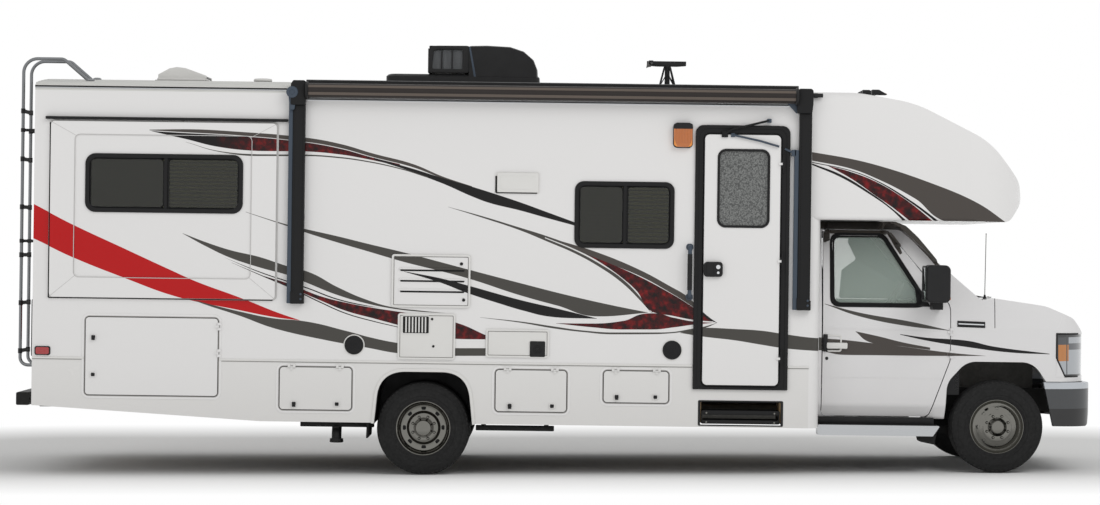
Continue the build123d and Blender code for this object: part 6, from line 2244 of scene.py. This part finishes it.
# ----------------------------------------------------------------------------------- lamps and rear
@dataclass
class CoachLamps:
    """Porch lamp, side markers, tail and rear clearance lamps, and the ladder's fittings."""

    rungs: int = 6
    rung_z: float = 855  # lowest rung
    rung_pitch: float = 374
    stay_heights: tuple[float, float] = (1712, 2576)

    def porch(self) -> None:
        """Amber porch lamp with a black hood and back plate."""
        amber, hood = Stock(), Stock()
        y = -HALF_W
        amber.prism(shape([(-2569, 2664), (-2424, 2664), (-2424, 2560), (-2450, 2500),
                           (-2543, 2500), (-2569, 2560)], 26), Axis.Y, y - 47, y - 6, 8)
        for i in range(6):
            x = -2552 + 22 * i
            amber.box(x, x + 6, y - 50, y - 40, 2530, 2640, 2)
        amber.make("porch_lens", AMBER_LENS, paint="lens")
        hood.prism(shape([(-2573, 2640), (-2420, 2640), (-2424, 2676), (-2450, 2688),
                          (-2543, 2688), (-2569, 2676)], 12), Axis.Y, y - 50, y, 4)
        hood.prism(rounded(-2573, -2420, 2494, 2688, 34), Axis.Y, y - 8, y, 2)
        hood.make("porch_hood", BLACK_ABS)

    def markers(self) -> None:
        """Red side markers in black feet."""
        foot = Stock()
        foot.prism(rounded(-7474, -7352, 834, 903, 16), Axis.Y, -HALF_W - 8, -HALF_W, 2)
        foot.across()
        foot.make("side_marker_feet", BLACK_ABS)
        ribs = Stock()
        for i in range(7):
            x = -7452 + 13 * i
            ribs.box(x, x + 5, -HALF_W - 20, -HALF_W - 17, 848, 889, 1)
        ribs.across()
        ribs.make("side_marker_ribs", RED_LENS)

    def tail(self) -> None:
        """Bezels and prisms of the tail lamps, the blank number plate and the red roof lamps."""
        bezel, ribs = Stock(), Stock()
        for y0 in (-1130, 970):
            bezel.ring(
                rounded(y0 - 12, y0 + 172, 818, 1262, 26), rounded(y0 + 7, y0 + 153, 837, 1243, 14),
                Axis.X, REAR_X - 30, REAR_X, 3
            )
            bezel.box(REAR_X - 29, REAR_X - 20, y0 + 4, y0 + 156, 962, 972, 1)
            for i in range(9):
                y = y0 + 14 + 15 * i
                ribs.box(REAR_X - 27, REAR_X - 24, y, y + 5, 976, 1238, 1)
        bezel.make("tail_lamp_bezels", BLACK_ABS)
        ribs.make("tail_lamp_ribs", RED_LENS)
        plate = Stock()
        plate.prism(rounded(-160, 160, 900, 1070, 14), Axis.X, REAR_X - 9, REAR_X - 6, 1)
        plate.make("number_plate", MILL_ALUMINIUM)
        tray = Stock()
        tray.ring(rounded(-182, 182, 880, 1092, 22), rounded(-163, 163, 897, 1073, 14), Axis.X,
                  REAR_X - 14, REAR_X, 3)
        tray.prism(rounded(-170, 170, 890, 1082, 14), Axis.X, REAR_X - 5, REAR_X, 0)
        tray.make("plate_holder", BLACK_ABS)
        red = Stock()
        for y in (-1130, -90, 0, 90, 1130):
            red.prism(rounded(y - 32, y + 32, 2800, 2832, 12), Axis.X, REAR_X - 18, REAR_X, 4)
        red.make("rear_clearance_lamps", RED_LENS)

    def ladder_feet(self) -> None:
        """Flanged feet, clamps and rubber treads of the ladder."""
        feet, grips = Stock(), Stock()
        for y in LADDER_RAILS_Y:
            for z in (745, *self.stay_heights):
                feet.lathe(
                    [(REAR_X - 9, 0), (REAR_X - 9, 26), (REAR_X - 4, 32), (REAR_X, 32),
                     (REAR_X, 0)],
                    (0, y, z), 24, Axis.X
                )
            feet.lathe([(0, 0), (0, 34), (10, 32), (16, 20), (16, 0)],
                       (-7112, y, crown(y) - 2), 24, Axis.Z)
        feet.make("ladder_feet", LADDER_TUBE)
        clamps = Stock()
        for i in range(self.rungs):
            z = self.rung_z + self.rung_pitch * i
            grips.tube([(LADDER_X, -975, z), (LADDER_X, -675, z)], 15, 0, 12)
            for y in LADDER_RAILS_Y:
                clamps.tube([(LADDER_X, y, z - 19), (LADDER_X, y, z + 19)], 17.5, 0, 16)
        grips.make("ladder_treads", RUBBER)
        for y in LADDER_RAILS_Y:
            for z in self.stay_heights:
                clamps.tube([(LADDER_X, y, z - 15), (LADDER_X, y, z + 15)], 17, 0, 16)
                clamps.tube([(LADDER_X + 8, y, z), (REAR_X + 4, y, z)], 11.5, 0, 12)
        clamps.make("ladder_clamps", BLACK_NYLON)

    def build(self) -> None:
        """Make all pieces."""
        self.porch()
        self.markers()
        self.tail()
        self.ladder_feet()


# ---------------------------------------------------------------------------------------------- cab
class Skin:
    """Outer surface of some solids at rest, probed from the right side or from the front."""

    def __init__(self, nodes: Iterable[bpy.types.Object]) -> None:
        """Gather the solids' faces in the body frame."""
        back = placing(Space.BODY).inverted()
        spots: list[Vector] = []
        faces: list[list[int]] = []
        for node in nodes:
            base = len(spots)
            spots += [back @ vertex.co for vertex in node.data.vertices]
            faces += [[base + i for i in face.vertices] for face in node.data.polygons]
        self.tree = BVHTree.FromPolygons(spots, faces)

    def side(self, x: float, z: float, missing: float = -1008) -> float:
        """Y of the right face at a spot."""
        hit = self.tree.ray_cast(Vector((x, -3000, z)), Vector((0, 1, 0)))[0]
        return hit.y if hit else missing

    def front(self, y: float, z: float, missing: float = 0) -> float:
        """X of the front face at a spot."""
        hit = self.tree.ray_cast(Vector((3000, y, z)), Vector((-1, 0, 0)))[0]
        return hit.x if hit else missing

    def drape(self, stock: Stock, outer: Loop, inner: Loop, lift: float, sink: float = 6) -> None:
        """Lay a frame between two outlines of as many points on the right face."""
        part = bmesh.new()
        depths = [self.side(x, z) for x, z in outer]
        rows = []
        for loop, way in ((outer, sink), (outer, -lift), (inner, -lift), (inner, sink)):
            rows.append([part.verts.new((x, y + way, z)) for (x, z), y in zip(loop, depths)])
        bridge(part, rows, around=True)
        stock.take(part)

    def strip(
        self, stock: Stock, top: Loop, foot: Loop, count: int, lift: float, sink: float
    ) -> None:
        """Lay a ribbon between two lines on the right face.

        Args:
            stock: Pieces that it joins.
            top: Corners of its upper line.
            foot: Corners of its lower line.
            count: Points along each line.
            lift: How far it stands out of the face.
            sink: How far it reaches into it.
        """
        upper, lower = resample(top, count), resample(foot, count)
        part = bmesh.new()
        rows = []
        across = 12
        for k in range(across + 1):
            share = k / across
            line = [
                (a[0] + (b[0] - a[0]) * share, a[1] + (b[1] - a[1]) * share)
                for a, b in zip(upper, lower)
            ]
            rise = lift if 0 < k < across else lift * 0.4
            rows.append([part.verts.new((x, self.side(x, z) - rise, z)) for x, z in line])
        rows += [
            [part.verts.new((v.co.x, v.co.y + lift + sink, v.co.z)) for v in rows[k]]
            for k in (across, 0)
        ]
        bridge(part, rows, closed=False, around=True)
        for i in (0, count - 1):
            part.faces.new([row[i] for row in rows])
        stock.take(part)


def resample(points: Sequence[tuple[float, float]], count: int) -> Loop:
    """Line of count points, evenly spaced along a polyline."""
    spots = [Vector(p) for p in points]
    lengths: list[float] = [0]
    for a, b in zip(spots, spots[1:]):
        lengths.append(lengths[-1] + (b - a).length)
    line = []
    for i in range(count):
        want = lengths[-1] * i / (count - 1)
        k = max(j for j in range(len(spots) - 1) if lengths[j] <= want + 1e-9)
        share = (want - lengths[k]) / (lengths[k + 1] - lengths[k])
        spot = spots[k].lerp(spots[k + 1], share)
        line.append((spot.x, spot.y))
    return line


@dataclass
class CabTrim:
    """Seals, gutter, handle, mirror glass, badge and lamp bezels, drawn on the right side."""

    skin: Skin
    window: tuple[tuple[float, float], ...] = (
        (-1297, 1302), (-560, 1302), (-905, 1838), (-1297, 1838)
    )

    def ribbons(
        self, name: str, finish: Finish, body: str, side: Side,
        rows: Sequence[tuple[Loop, Loop, int, float, float]]
    ) -> None:
        """Piece of ribbons on the skin.

        Args:
            name: Name of the piece without its side.
            finish: Its material.
            body: Body of the solids that it moves with.
            side: Side of the vehicle.
            rows: Upper line, lower line, points, lift and sink of each ribbon.
        """
        stock = Stock()
        for row in rows:
            self.skin.strip(stock, *row)
        stock.make(f"{name}_{side.word}", finish, body, side=side)

    def seals(self, side: Side) -> None:
        """Glass run and sail of the door, and the dark strips over it and on its frame: part gutter
        and seal, part painted shade and reflection under the cap.
        """
        door = f"cab_door_{side.word}"
        loops = []
        for grow, radius in ((22, 78), (-13, 50)):
            (x0, z0), (x1, _), (x2, z2), _ = self.window
            lean = (x1 - x2) / (z2 - z0)
            slant = grow * math.hypot(1, lean)
            corners = [(x0 - grow, z0 - grow), (x1 + slant + lean * grow, z0 - grow),
                       (x2 + slant - lean * grow, z2 + grow), (x0 - grow, z2 + grow)]
            line = shape(corners, radius, 8)
            loops.append(resample(line + line[:1], 96)[:-1])
        run = Stock()
        self.skin.drape(run, loops[0], loops[1], 4, 8)
        run.make(f"door_glass_run_{side.word}", SEAL, door, paint="black_plastic", side=side)
        top = [(-660, 1480), (-600, 1400), (-540, 1300)]
        foot = [(-640, 1290), (-600, 1290), (-538, 1290)]
        self.ribbons("mirror_sail", BLACK_ABS, door, side, [(top, foot, 14, 9, 6)])
        # The strips over the door and on its frame are partly the gutter and seal and partly
        # painted shade and reflection under the cap's overhang.
        top = [(-1392, 1950), (-820, 1950), (-736, 1918), (-640, 1830), (-520, 1690), (-400, 1540)]
        foot = [(-1392, 1889), (-850, 1889), (-772, 1888), (-680, 1812), (-548, 1678), (-420, 1522)]
        self.ribbons("cab_gutter", GUTTER_AND_SHADE, "coach", side, [(top, foot, 40, 4, 5)])
        self.ribbons("door_frame_film", GUTTER_AND_SHADE, door, side, [
            ([(-1364, 1882), (-900, 1882), (-852, 1868)],
             [(-1320, 1852), (-900, 1852), (-880, 1848)], 24, 2.5, 5),
            ([(-1364, 1880), (-1371, 1780)], [(-1319, 1880), (-1319, 1800)], 20, 2.5, 5),
            ([(-876, 1868), (-806, 1748), (-770, 1694)],
             [(-846, 1862), (-780, 1780), (-752, 1706)], 20, 5, 5),
        ])

    def handle(self, side: Side) -> None:
        """Black paddle and white pull in a pocket, with the lock under them."""
        door = f"cab_door_{side.word}"
        pocket, paddle, lock = Stock(), Stock(), Stock()
        face = self.skin.side(-1300, 1060)
        pocket.ring(rounded(-1350, -1226, 930, 1062, 20), rounded(-1338, -1238, 942, 1050, 12),
                    Axis.Y, face - 4, face + 4, 2)
        pocket.make(f"door_handle_pocket_{side.word}", WHITE_ABS, door, side=side)
        paddle.box(-1372, -1336, face - 16, face + 4, 930, 1066, 6)
        paddle.make(f"door_handle_{side.word}", BLACK_ABS, door, paint="black_plastic", side=side)
        pull = Stock()
        pull.box(-1345, -1182, face - 26, face - 2, 954, 1002, 9)
        pull.make(f"door_pull_{side.word}", WHITE_ABS, door, side=side)
        lock.lathe([(0, 0), (0, 13), (-3, 12), (-4, 0)], (-1342, self.skin.side(-1342, 878), 878),
                   24)
        lock.make(f"door_lock_{side.word}", BLACK_NYLON, door, side=side)

    def mirror(self, side: Side) -> None:
        """Flat and convex glass in a rim on the mirror's rear face, and its amber lamp."""
        door = f"cab_door_{side.word}"
        glass, rim = Stock(), Stock()
        rim.ring(rounded(-1394, -1166, 1333, 1611, 34), rounded(-1380, -1180, 1347, 1597, 24),
                 Axis.X, -627, -618, 3)
        rim.box(-626, -619, -1382, -1178, 1416, 1422, 1)
        rim.make(f"mirror_rim_{side.word}", BLACK_NYLON, door, side=side)
        glass.prism(rounded(-1380, -1180, 1422, 1597, 22), Axis.X, -623, -619, 1)
        glass.prism(rounded(-1380, -1180, 1347, 1416, 18), Axis.X, -624, -619, 1)
        glass.make(f"mirror_glass_{side.word}", MIRROR_GLASS, door, side=side)
        lamp = Stock()
        lamp.prism(rounded(-1370, -1300, 1350, 1372, 9), Axis.X, -434, -428, 2)
        lamp.make(f"mirror_repeater_{side.word}", AMBER_LENS, door, side=side)

    def fender(self, side: Side) -> None:
        """Blank badge, headlamp bezel, splash guard, painted shade under the sill, treads and the
        driver's pillar trim, which is partly painted shade of the cab's inside.
        """
        self.ribbons("fender_badge", BLACK_NYLON, "coach", side, [
            ([(-326, 1184), (-110, 1178)], [(-326, 1136), (-110, 1130)], 16, 6, 3)
        ])
        self.ribbons("fender_badge_strip", CHROME, "coach", side, [
            ([(-318, 1166), (-118, 1160)], [(-318, 1156), (-118, 1150)], 12, 8, 2)
        ])
        self.ribbons(
            "headlamp_bezel", BLACK_ABS, "coach", side,
            [
                ([(446, 1098), (640, 1098)], [(446, 1084), (640, 1084)], 16, 4, 5),
                ([(444, 1098), (444, 900), (520, 752)], [(458, 1098), (458, 904), (534, 752)], 20,
                 4, 5),
                ([(520, 766), (640, 766)], [(520, 752), (640, 752)], 12, 4, 5)
            ]
        )
        self.ribbons("headlamp_corner", CAB_ENAMEL, "coach", side, [
            ([(446, 896), (446, 752)], [(450, 896), (528, 752)], 14, 2.5, 5)
        ])
        guard = Stock()
        guard.prism([(-640, 366), (-560, 366), (-470, 330), (-492, 214), (-604, 236)], Axis.Y, -992,
                    -800, 3)
        guard.make(f"splash_guard_{side.word}", RUBBER, side=side)
        lining = Stock()
        lining.box(-420, -300, -960, -946, 604, 1000, 3)
        lining.make(f"arch_lining_{side.word}", BLACK_ABS, side=side)
        # Painted shade: a black strip standing in for the shadow under the door's sill.
        shade = Stock()
        shade.box(-1412, -500, -1000, -976, 368, 424, 2)
        shade.make(f"sill_shade_{side.word}", BLACK_ABS, side=side)
        if side is Side.LEFT:
            # Navy slab over the far window's area: real door and pillar trim, and painted shade of
            # the dark cab inside.
            pillar = Stock()
            outline = [(-1000, 1876), (-868, 1876), (-400, 1352), (-400, 1322), (-1080, 1322),
                       (-1060, 1560), (-940, 1650), (-1010, 1790)]
            pillar.prism(shape(outline, 26), Axis.Y, -800, -782, 5)
            pillar.make("driver_pillar_trim", PILLAR_TRIM_AND_SHADE, side=side)
        treads = Stock()
        for i in range(5):
            y = -1104 + 22 * i
            treads.box(-1392, -490, y, y + 9, 366, 370, 1)
        treads.make(f"running_board_treads_{side.word}", RUBBER, side=side)

    def build(self) -> None:
        """Make all pieces."""
        for side in Side:
            self.seals(side)
            self.handle(side)
            self.mirror(side)
            self.fender(side)


@dataclass
class CabFront:
    """Wipers, cowl, whip aerial, blank number plate and the cap's clearance lamps."""

    skin: Skin

    def wipers(self) -> None:
        """Two arms with blades that lie on the windscreen, over the dark cowl."""
        arms, cowl = Stock(), Stock()
        for y0, y1 in ((-640, -80), (40, 600)):
            blade = []
            for i in range(9):
                y, z = y0 + (y1 - y0) * i / 8, 1416 + 10 * i / 8
                blade.append((self.skin.front(y, z, -80) + 9, y, z))
            arms.tube(blade, 6.5, 10, 8, 2)
            foot = (self.skin.front(y0 + 60, 1392, -40) + 14, y0 + 20, 1386)
            arms.tube([foot, (blade[2][0] + 12, blade[2][1], blade[2][2] + 8), blade[4]], 8, 40, 8)
            arms.lathe([(-8, 0), (-8, 22), (14, 19), (18, 0)], foot, 20, Axis.Z)
        arms.make("wipers", BLACK_POWDER)
        rows = []
        for i in range(41):
            y = -800 + 40 * i
            rows.append((y, self.skin.front(y, 1384, -60), self.skin.front(y, 1362, -40)))
        part = bmesh.new()
        lines = [
            [part.verts.new((high + 5, y, 1388)) for y, high, _ in rows],
            [part.verts.new((low + 6, y, 1362)) for y, _, low in rows],
            [part.verts.new((low - 10, y, 1362)) for y, _, low in rows],
            [part.verts.new((high - 10, y, 1388)) for y, high, _ in rows],
        ]
        bridge(part, lines, closed=False, around=True)
        for i in (0, len(rows) - 1):
            part.faces.new([line[i] for line in lines])
        cowl.take(part)
        cowl.make("cowl", BLACK_ABS)

    def aerial(self) -> None:
        """Whip aerial in its rubber foot on the right fender."""
        rod, foot = Stock(), Stock()
        y = -730
        z = 1352
        rod.tube([(-76, y, z), (-70, y + 6, 1866)], 3.2, 0, 8)
        rod.lathe([(0, 0), (0, 5), (8, 4), (8, 0)], (-70, y + 6, 1862), 12, Axis.Z)
        rod.make("whip_aerial", STAINLESS)
        foot.lathe([(-24, 0), (-24, 24), (-4, 22), (10, 12), (34, 7), (34, 0)], (-76, y, z), 24,
                   Axis.Z)
        foot.make("whip_aerial_foot", BLACK_ABS)

    def plate(self) -> None:
        """Blank plate in its holder on the bumper."""
        holder, plate = Stock(), Stock()
        x = self.skin.front(0, 620, 752)
        holder.prism(rounded(-172, 172, 540, 708, 14), Axis.X, x - 2, x + 6, 2)
        holder.make("front_plate_holder", BLACK_ABS)
        plate.prism(rounded(-155, 155, 548, 700, 10), Axis.X, x + 5, x + 8, 1)
        plate.make("front_plate", MILL_ALUMINIUM)

    def clearance(self) -> None:
        """Amber clearance lamps on the cap's brow, each in a black wedge."""
        wedge, lens = Stock(), Stock()
        for y in (-860, -150, 0, 150, 860):
            z = ROOF_EDGE_Z + 26 if abs(y) > 500 else ROOF_EDGE_Z + 62
            wedge.prism(
                shape([(-1004, z - 20), (-1004, z + 20), (-950, z + 20), (-877, z - 20)], 5),
                Axis.Y, y - 42, y + 42, 4
            )
            lens.prism(
                shape([(-944, z + 6), (-938, z + 12), (-884, z - 12), (-886, z - 17)], 2), Axis.Y,
                y - 30, y + 30, 1
            )
        wedge.make("clearance_lamps", BLACK_ABS)
        lens.make("clearance_lenses", AMBER_LENS)

    def build(self) -> None:
        """Make all pieces."""
        self.wipers()
        self.aerial()
        self.plate()
        self.clearance()


# -------------------------------------------------------------------------------------------- seats
@dataclass
class CabSeat:
    """Upholstered bucket seat on its pedestal."""

    side: Side
    y: float = -610

    def pad(
        self, name: str, size: Point, place: Matrix, channels: Sequence[float],
        bolster: float
    ) -> None:
        """Crowned pad with bolsters, sewn channels and piping.

        Args:
            name: Name of the piece.
            size: Width across the vehicle, length and thickness.
            place: Matrix from the pad's own frame: Y along its length, Z to its front face.
            channels: Places of the sewn channels along its length, from -1 to 1.
            bolster: How far the side rolls stand up.
        """
        wide, long, thick = size
        count = 36
        part = bmesh.new()
        for face in (1, -1):
            grid = []
            for i in range(count + 1):
                row = []
                for j in range(count + 1):
                    u, v = 2 * i / count - 1, 2 * j / count - 1
                    x = wide / 2 * u * (1 - 0.035 * (1 - v * v))
                    y = long / 2 * v * (1 - 0.03 * (1 - u * u))
                    dome = ((1 - abs(u) ** 5) * (1 - abs(v) ** 5)) ** 0.5
                    z = thick * 0.5 + face * thick * (0.5 if face > 0 else 0.48) * dome
                    if face > 0:
                        z += bolster * math.exp(-(((abs(u) - 0.78) / 0.16) ** 2)) * dome
                        seam = max(
                            (math.exp(-(((v - c) / 0.028) ** 2)) for c in channels), default=0
                        )
                        z -= 9 * seam * dome * (abs(u) < 0.62)
                        z -= 8 * math.exp(-(((abs(u) - 0.62) / 0.03) ** 2)) * dome
                    row.append(part.verts.new(place @ Vector((x, y, z))))
                grid.append(row)
            for i in range(count):
                for j in range(count):
                    part.faces.new((grid[i][j], grid[i + 1][j], grid[i + 1][j + 1], grid[i][j + 1]))
        bmesh.ops.remove_doubles(part, verts=part.verts, dist=0.05)
        way = [2 * k / 24 - 1 for k in range(24)]
        square = [(t, -1) for t in way] + [(1, t) for t in way]
        square += [(-t, 1) for t in way] + [(-1, -t) for t in way]
        rim = [
            (wide / 2 * u * (1 - 0.035 * (1 - v * v)), long / 2 * v * (1 - 0.03 * (1 - u * u)))
            for u, v in square
        ]
        cloth = Stock()
        cloth.take(part)
        piping = [tuple(place @ Vector((x, y, thick * 0.5))) for x, y in rim]
        cloth.tube(piping + piping[:1], 3.5, 0, 8)
        made = cloth.make(
            f"{name}_{self.side.word}", SEAT_CLOTH, paint="seat_fabric", soften=60, side=self.side
        )

    def build(self, stands_for: Sequence[str]) -> None:
        """Make all pieces."""
        base = Stock()
        y = self.y
        steps = [(168, 672), (178, 690), (160, 880), (215, 912), (222, 930)]
        loops = [
            (rounded(-1000 - half, -1000 + half * 0.98, y - half, y + half, 30), z)
            for half, z in steps
        ]
        base.dish(loops, Axis.Z)
        base.box(-1190, -800, y - 200, y - 178, 900, 940, 5)
        base.box(-1190, -800, y + 178, y + 200, 900, 940, 5)
        base.prism(shape([(-1266, 960), (-1160, 940), (-1150, 1060), (-1230, 1110)], 24), Axis.Y,
                   y - 268, y - 250, 5)
        for dy in (-60, 60):
            base.tube([(-1338, y + dy, 1490), (-1364, y + dy, 1600)], 7, 0, 10)
        base.make(
            f"seat_base_{self.side.word}", BLACK_ABS, "coach", stands_for, "black_plastic",
            side=self.side
        )
        across = Matrix(((0, 1, 0, 0), (1, 0, 0, 0), (0, 0, 1, 0), (0, 0, 0, 1)))
        for name, size, (x, z), lean, fill, channels, bolster in (
            ("seat_cushion", (520, 505, 118), (-990, 932), -3, 0.85, (-0.45, 0.05, 0.5), 16),
            ("seat_back", (480, 490, 96), (-1312, 1280), -72, 0.85, (-0.5, -0.1, 0.3), 22),
            ("seat_headrest", (270, 165, 92), (-1408, 1640), -76, 0.8, (), 0),
        ):
            tilt = Matrix.Rotation(math.radians(lean), 4, "Y")
            place = Matrix.Translation((x, y, z)) @ tilt @ across
            self.pad(name, size, place, channels, bolster)


# ---------------------------------------------------------------------------------- under the coach
@dataclass
class Underbody:
    """Low side rails, dump valve, mud flaps and hitch that show below the skirts."""

    def build(self) -> None:
        """Make all pieces."""
        bars = Stock()
        for x0, x1, z0, z1, y in ((-5434, -4860, 298, 337, -1060), (-4070, -3461, 285, 326, -1060)):
            bars.box(x0, x1, y - 26, y + 26, z0, z1, 6)
            for x in (x0 + 60, x1 - 60):
                bars.box(x - 18, x + 18, y - 10, y + 10, z1 - 4, 560, 3)
        bars.make("side_rails_low", CHASSIS_PAINT)
        valve, cap = Stock(), Stock()
        x, y = -5153, -1040
        valve.tube([(x, y + 160, 420), (x, y + 40, 330), (x, y, 250), (x, y - 6, 196)], 38, 60, 20)
        valve.lathe([(0, 0), (0, 52), (16, 52), (16, 0)], (x, y - 6, 190), 32, Axis.Z)
        valve.make("dump_pipe", BLACK_ABS)
        cap.lathe([(-14, 0), (-14, 46), (-9, 54), (0, 54), (0, 0)], (x, y - 6, 190), 32, Axis.Z)
        cap.tube([(x, y - 70, 300), (x, y - 8, 300)], 5, 0, 8)
        cap.box(x - 22, x + 22, y - 78, y - 68, 290, 310, 3)
        cap.make("dump_cap", CHASSIS_PAINT)
        flaps = Stock()
        flaps.prism([(-4900, 640), (-4888, 640), (-4890, 400), (-4900, 222), (-4914, 222)], Axis.Y,
                    -1215, -700, 2)
        flaps.box(-4908, -4880, -1215, -700, 600, 640, 3)
        flaps.across()
        flaps.make("mud_flaps", RUBBER)
        hitch = Stock()
        hitch.ring(rounded(-32, 32, 448, 512, 6), rounded(-26, 26, 454, 506, 3), Axis.X, -7640,
                   -7420, 1)
        hitch.make("hitch_tube", CHASSIS_PAINT)


# ------------------------------------------------------------------------------------------- studio
@dataclass
class Studio:
    """Camera, pale floor, backdrop and soft light."""

    eye: Point = (-0.043, -24.37, 1.74)
    lens: float = 98.05
    sensor: float = 36
    shift: float = -0.00227
    far: float = 400
    floor_half: float = 60
    floor_z: float = -0.002  # just under the tyres
    apron_middle: Point = (0, 1.2, 0)
    apron_half: Point = (4.3, 1.3, 0)  # matt rectangle under the vehicle
    apron_fade: tuple[float, float] = (0.9, 3)  # where white sets in and is reached
    sky_strength: float = 0.6

    def camera(self) -> None:
        """Camera square to the right side, as far away as the view's flatness needs."""
        data = bpy.data.cameras.new("camera")
        data.lens = self.lens
        data.sensor_width = self.sensor
        data.shift_y = self.shift
        data.clip_end = self.far
        made = bpy.data.objects.new("camera", data)
        made.location = self.eye
        made.rotation_euler = (math.radians(90), 0, 0)
        bpy.context.scene.collection.objects.link(made)
        bpy.context.scene.camera = made

    def floor(self) -> None:
        """Floor that goes over into white far behind."""
        part = bmesh.new()
        half = self.floor_half
        for x, y in ((-half, -half), (half, -half), (half, half), (-half, half)):
            part.verts.new((x, y, self.floor_z))
        part.faces.new(part.verts)
        data = bpy.data.meshes.new("floor")
        part.to_mesh(data)
        part.free()
        paint = bpy.data.materials.new("studio_floor")
        paint.use_nodes = True
        tree = paint.node_tree
        tree.nodes.clear()
        matt = add_node(tree, "BsdfDiffuse", {}, {"Color": linear("#EDEDEC")})
        out = add_node(tree, "OutputMaterial")
        place = add_node(tree, "TexCoord").outputs["Object"]
        steps = (
            ("ADD", tuple(-v for v in self.apron_middle)), ("ABSOLUTE", None),
            ("SUBTRACT", self.apron_half), ("MAXIMUM", (0, 0, 0))
        )
        for operation, other in steps:
            inputs = {0: place} if other is None else {0: place, 1: other}
            place = add_node(tree, "VectorMath", {"operation": operation}, inputs).outputs[0]
        away = add_node(tree, "VectorMath", {"operation": "LENGTH"}, {0: place})
        fade = remap(tree, away.outputs["Value"], *self.apron_fade, 0, 1)
        white = add_node(tree, "Emission", {}, {"Color": (1, 1, 1, 1), "Strength": 1})
        mixed = mingle(tree, fade, matt.outputs[0], white.outputs[0])
        tree.links.new(mixed, out.inputs["Surface"])
        data.materials.append(paint)
        made = bpy.data.objects.new("floor", data)
        bpy.context.scene.collection.objects.link(made)

    def sky(self) -> None:
        """Even soft light all round, shown as white to the eye and in mirrors."""
        world = bpy.data.worlds.new("studio")
        bpy.context.scene.world = world
        world.use_nodes = True
        tree = world.node_tree
        tree.nodes.clear()
        rays = add_node(tree, "LightPath")
        mirrored = maths(
            tree, "MAXIMUM", rays.outputs["Is Glossy Ray"], rays.outputs["Is Transmission Ray"]
        )
        seen = maths(tree, "MAXIMUM", rays.outputs["Is Camera Ray"], mirrored)
        soft = add_node(
            tree, "Background", {}, {"Color": (1, 1, 1, 1), "Strength": self.sky_strength}
        )
        white = add_node(tree, "Background", {}, {"Color": (1, 1, 1, 1), "Strength": 1})
        mixed = mingle(tree, seen, soft.outputs[0], white.outputs[0])
        add_node(tree, "OutputWorld", {}, {"Surface": mixed})

    def lamp(self, name: str, spot: Point, aim: Point, size: float, power: float) -> None:
        """Large soft panel."""
        data = bpy.data.lights.new(name, "AREA")
        data.shape = "RECTANGLE"
        data.size, data.size_y, data.energy = size, size * 0.7, power
        made = bpy.data.objects.new(name, data)
        made.location = spot
        made.visible_glossy = False  # panes show what lies behind them and not the panel
        made.rotation_euler = (Vector(aim) - Vector(spot)).to_track_quat("-Z", "Y").to_euler()
        bpy.context.scene.collection.objects.link(made)

    def light(self) -> None:
        """Key from high in front of the right side, weaker fill from the rear."""
        self.lamp("key", (7, -11, 11), (0, 0, 1.2), 9, 560)
        self.lamp("fill", (-9, -12, 7), (0, 0, 1.4), 8, 170)

    def build(self) -> None:
        """Set everything up."""
        self.camera()
        self.floor()
        self.sky()
        self.light()
        bpy.context.scene.view_settings.view_transform = "Standard"


CAB_SKIN_NODES = (
    "cab_shell", "cab_door_right", "cab_door_glass_right", "front_fenders", "hood", "windscreen",
    "front_bumper", "grille", "lamps"
)


def main() -> None:
    """Load the solids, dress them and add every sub-assembly."""
    logging.basicConfig(level=logging.INFO, format="%(name)s: %(message)s")
    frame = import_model()
    Studio().build()
    Solids(frame["nodes"]).dress()
    for side in Side:
        word = side.word
        RearWheels(
            f"wheels_rear_{word}", f"wheels_rear_{word}", (-1025, -1078, 360), f"tyres_rear_{word}",
            f"rims_rear_{word}", side, twin_y=-813,
        ).build()
        FrontWheel(
            f"wheel_front_{word}", f"wheel_front_{word}", (3445, -881, 360), f"tyre_front_{word}",
            f"rim_front_{word}", side,
        ).build()
    Window(
        "window_right", "coach", -3325, -2555, 1714, 2229, HALF_W
    ).build(["window_frames", "window_glass"])
    for name, x0, x1, z0, z1 in (
        ("window_left_rear", -6900, -5890, 1941, 2395),
        ("window_left_middle", -4650, -3350, 1600, 2229),
        ("window_left_front", -2950, -2180, 1714, 2229),
    ):
        Window(name, "coach", x0, x1, z0, z1, HALF_W, Side.LEFT, share=0.5).build()
    Window("window_rear", "coach", -900, -100, 1941, 2395, -REAR_X, yaw=-90, share=0.5).build()
    SlideOut().build()
    Vents().build()
    WallTrim().build()
    for name, x0, x1, z0, z1 in (
        ("baggage_door_rear", -7081, -6063, 535, 1131),
        ("baggage_door_axle", -5580, -5028, 441, 765),
        ("baggage_door_middle", -3915, -3371, 447, 764),
        ("baggage_door_entry", -3082, -2585, 527, 767),
    ):
        BaggageDoor(name, x0, x1, z0, z1, Side.RIGHT, hinge_front=name.endswith("rear")).build()
    BaggageDoor("baggage_door_left", -6900, -5900, 470, 765, Side.LEFT).build()
    EntryDoor().build()
    Awning().build()
    RoofUnits().build()
    CoachLamps().build()
    skin = Skin(node for name, node in frame["nodes"].items() if name in CAB_SKIN_NODES)
    CabTrim(skin).build()
    CabFront(skin).build()
    for side in Side:
        CabSeat(side).build(["cab_seats"] if side is Side.RIGHT else ())
    Underbody().build()


if __name__ == "__main__":
    main()
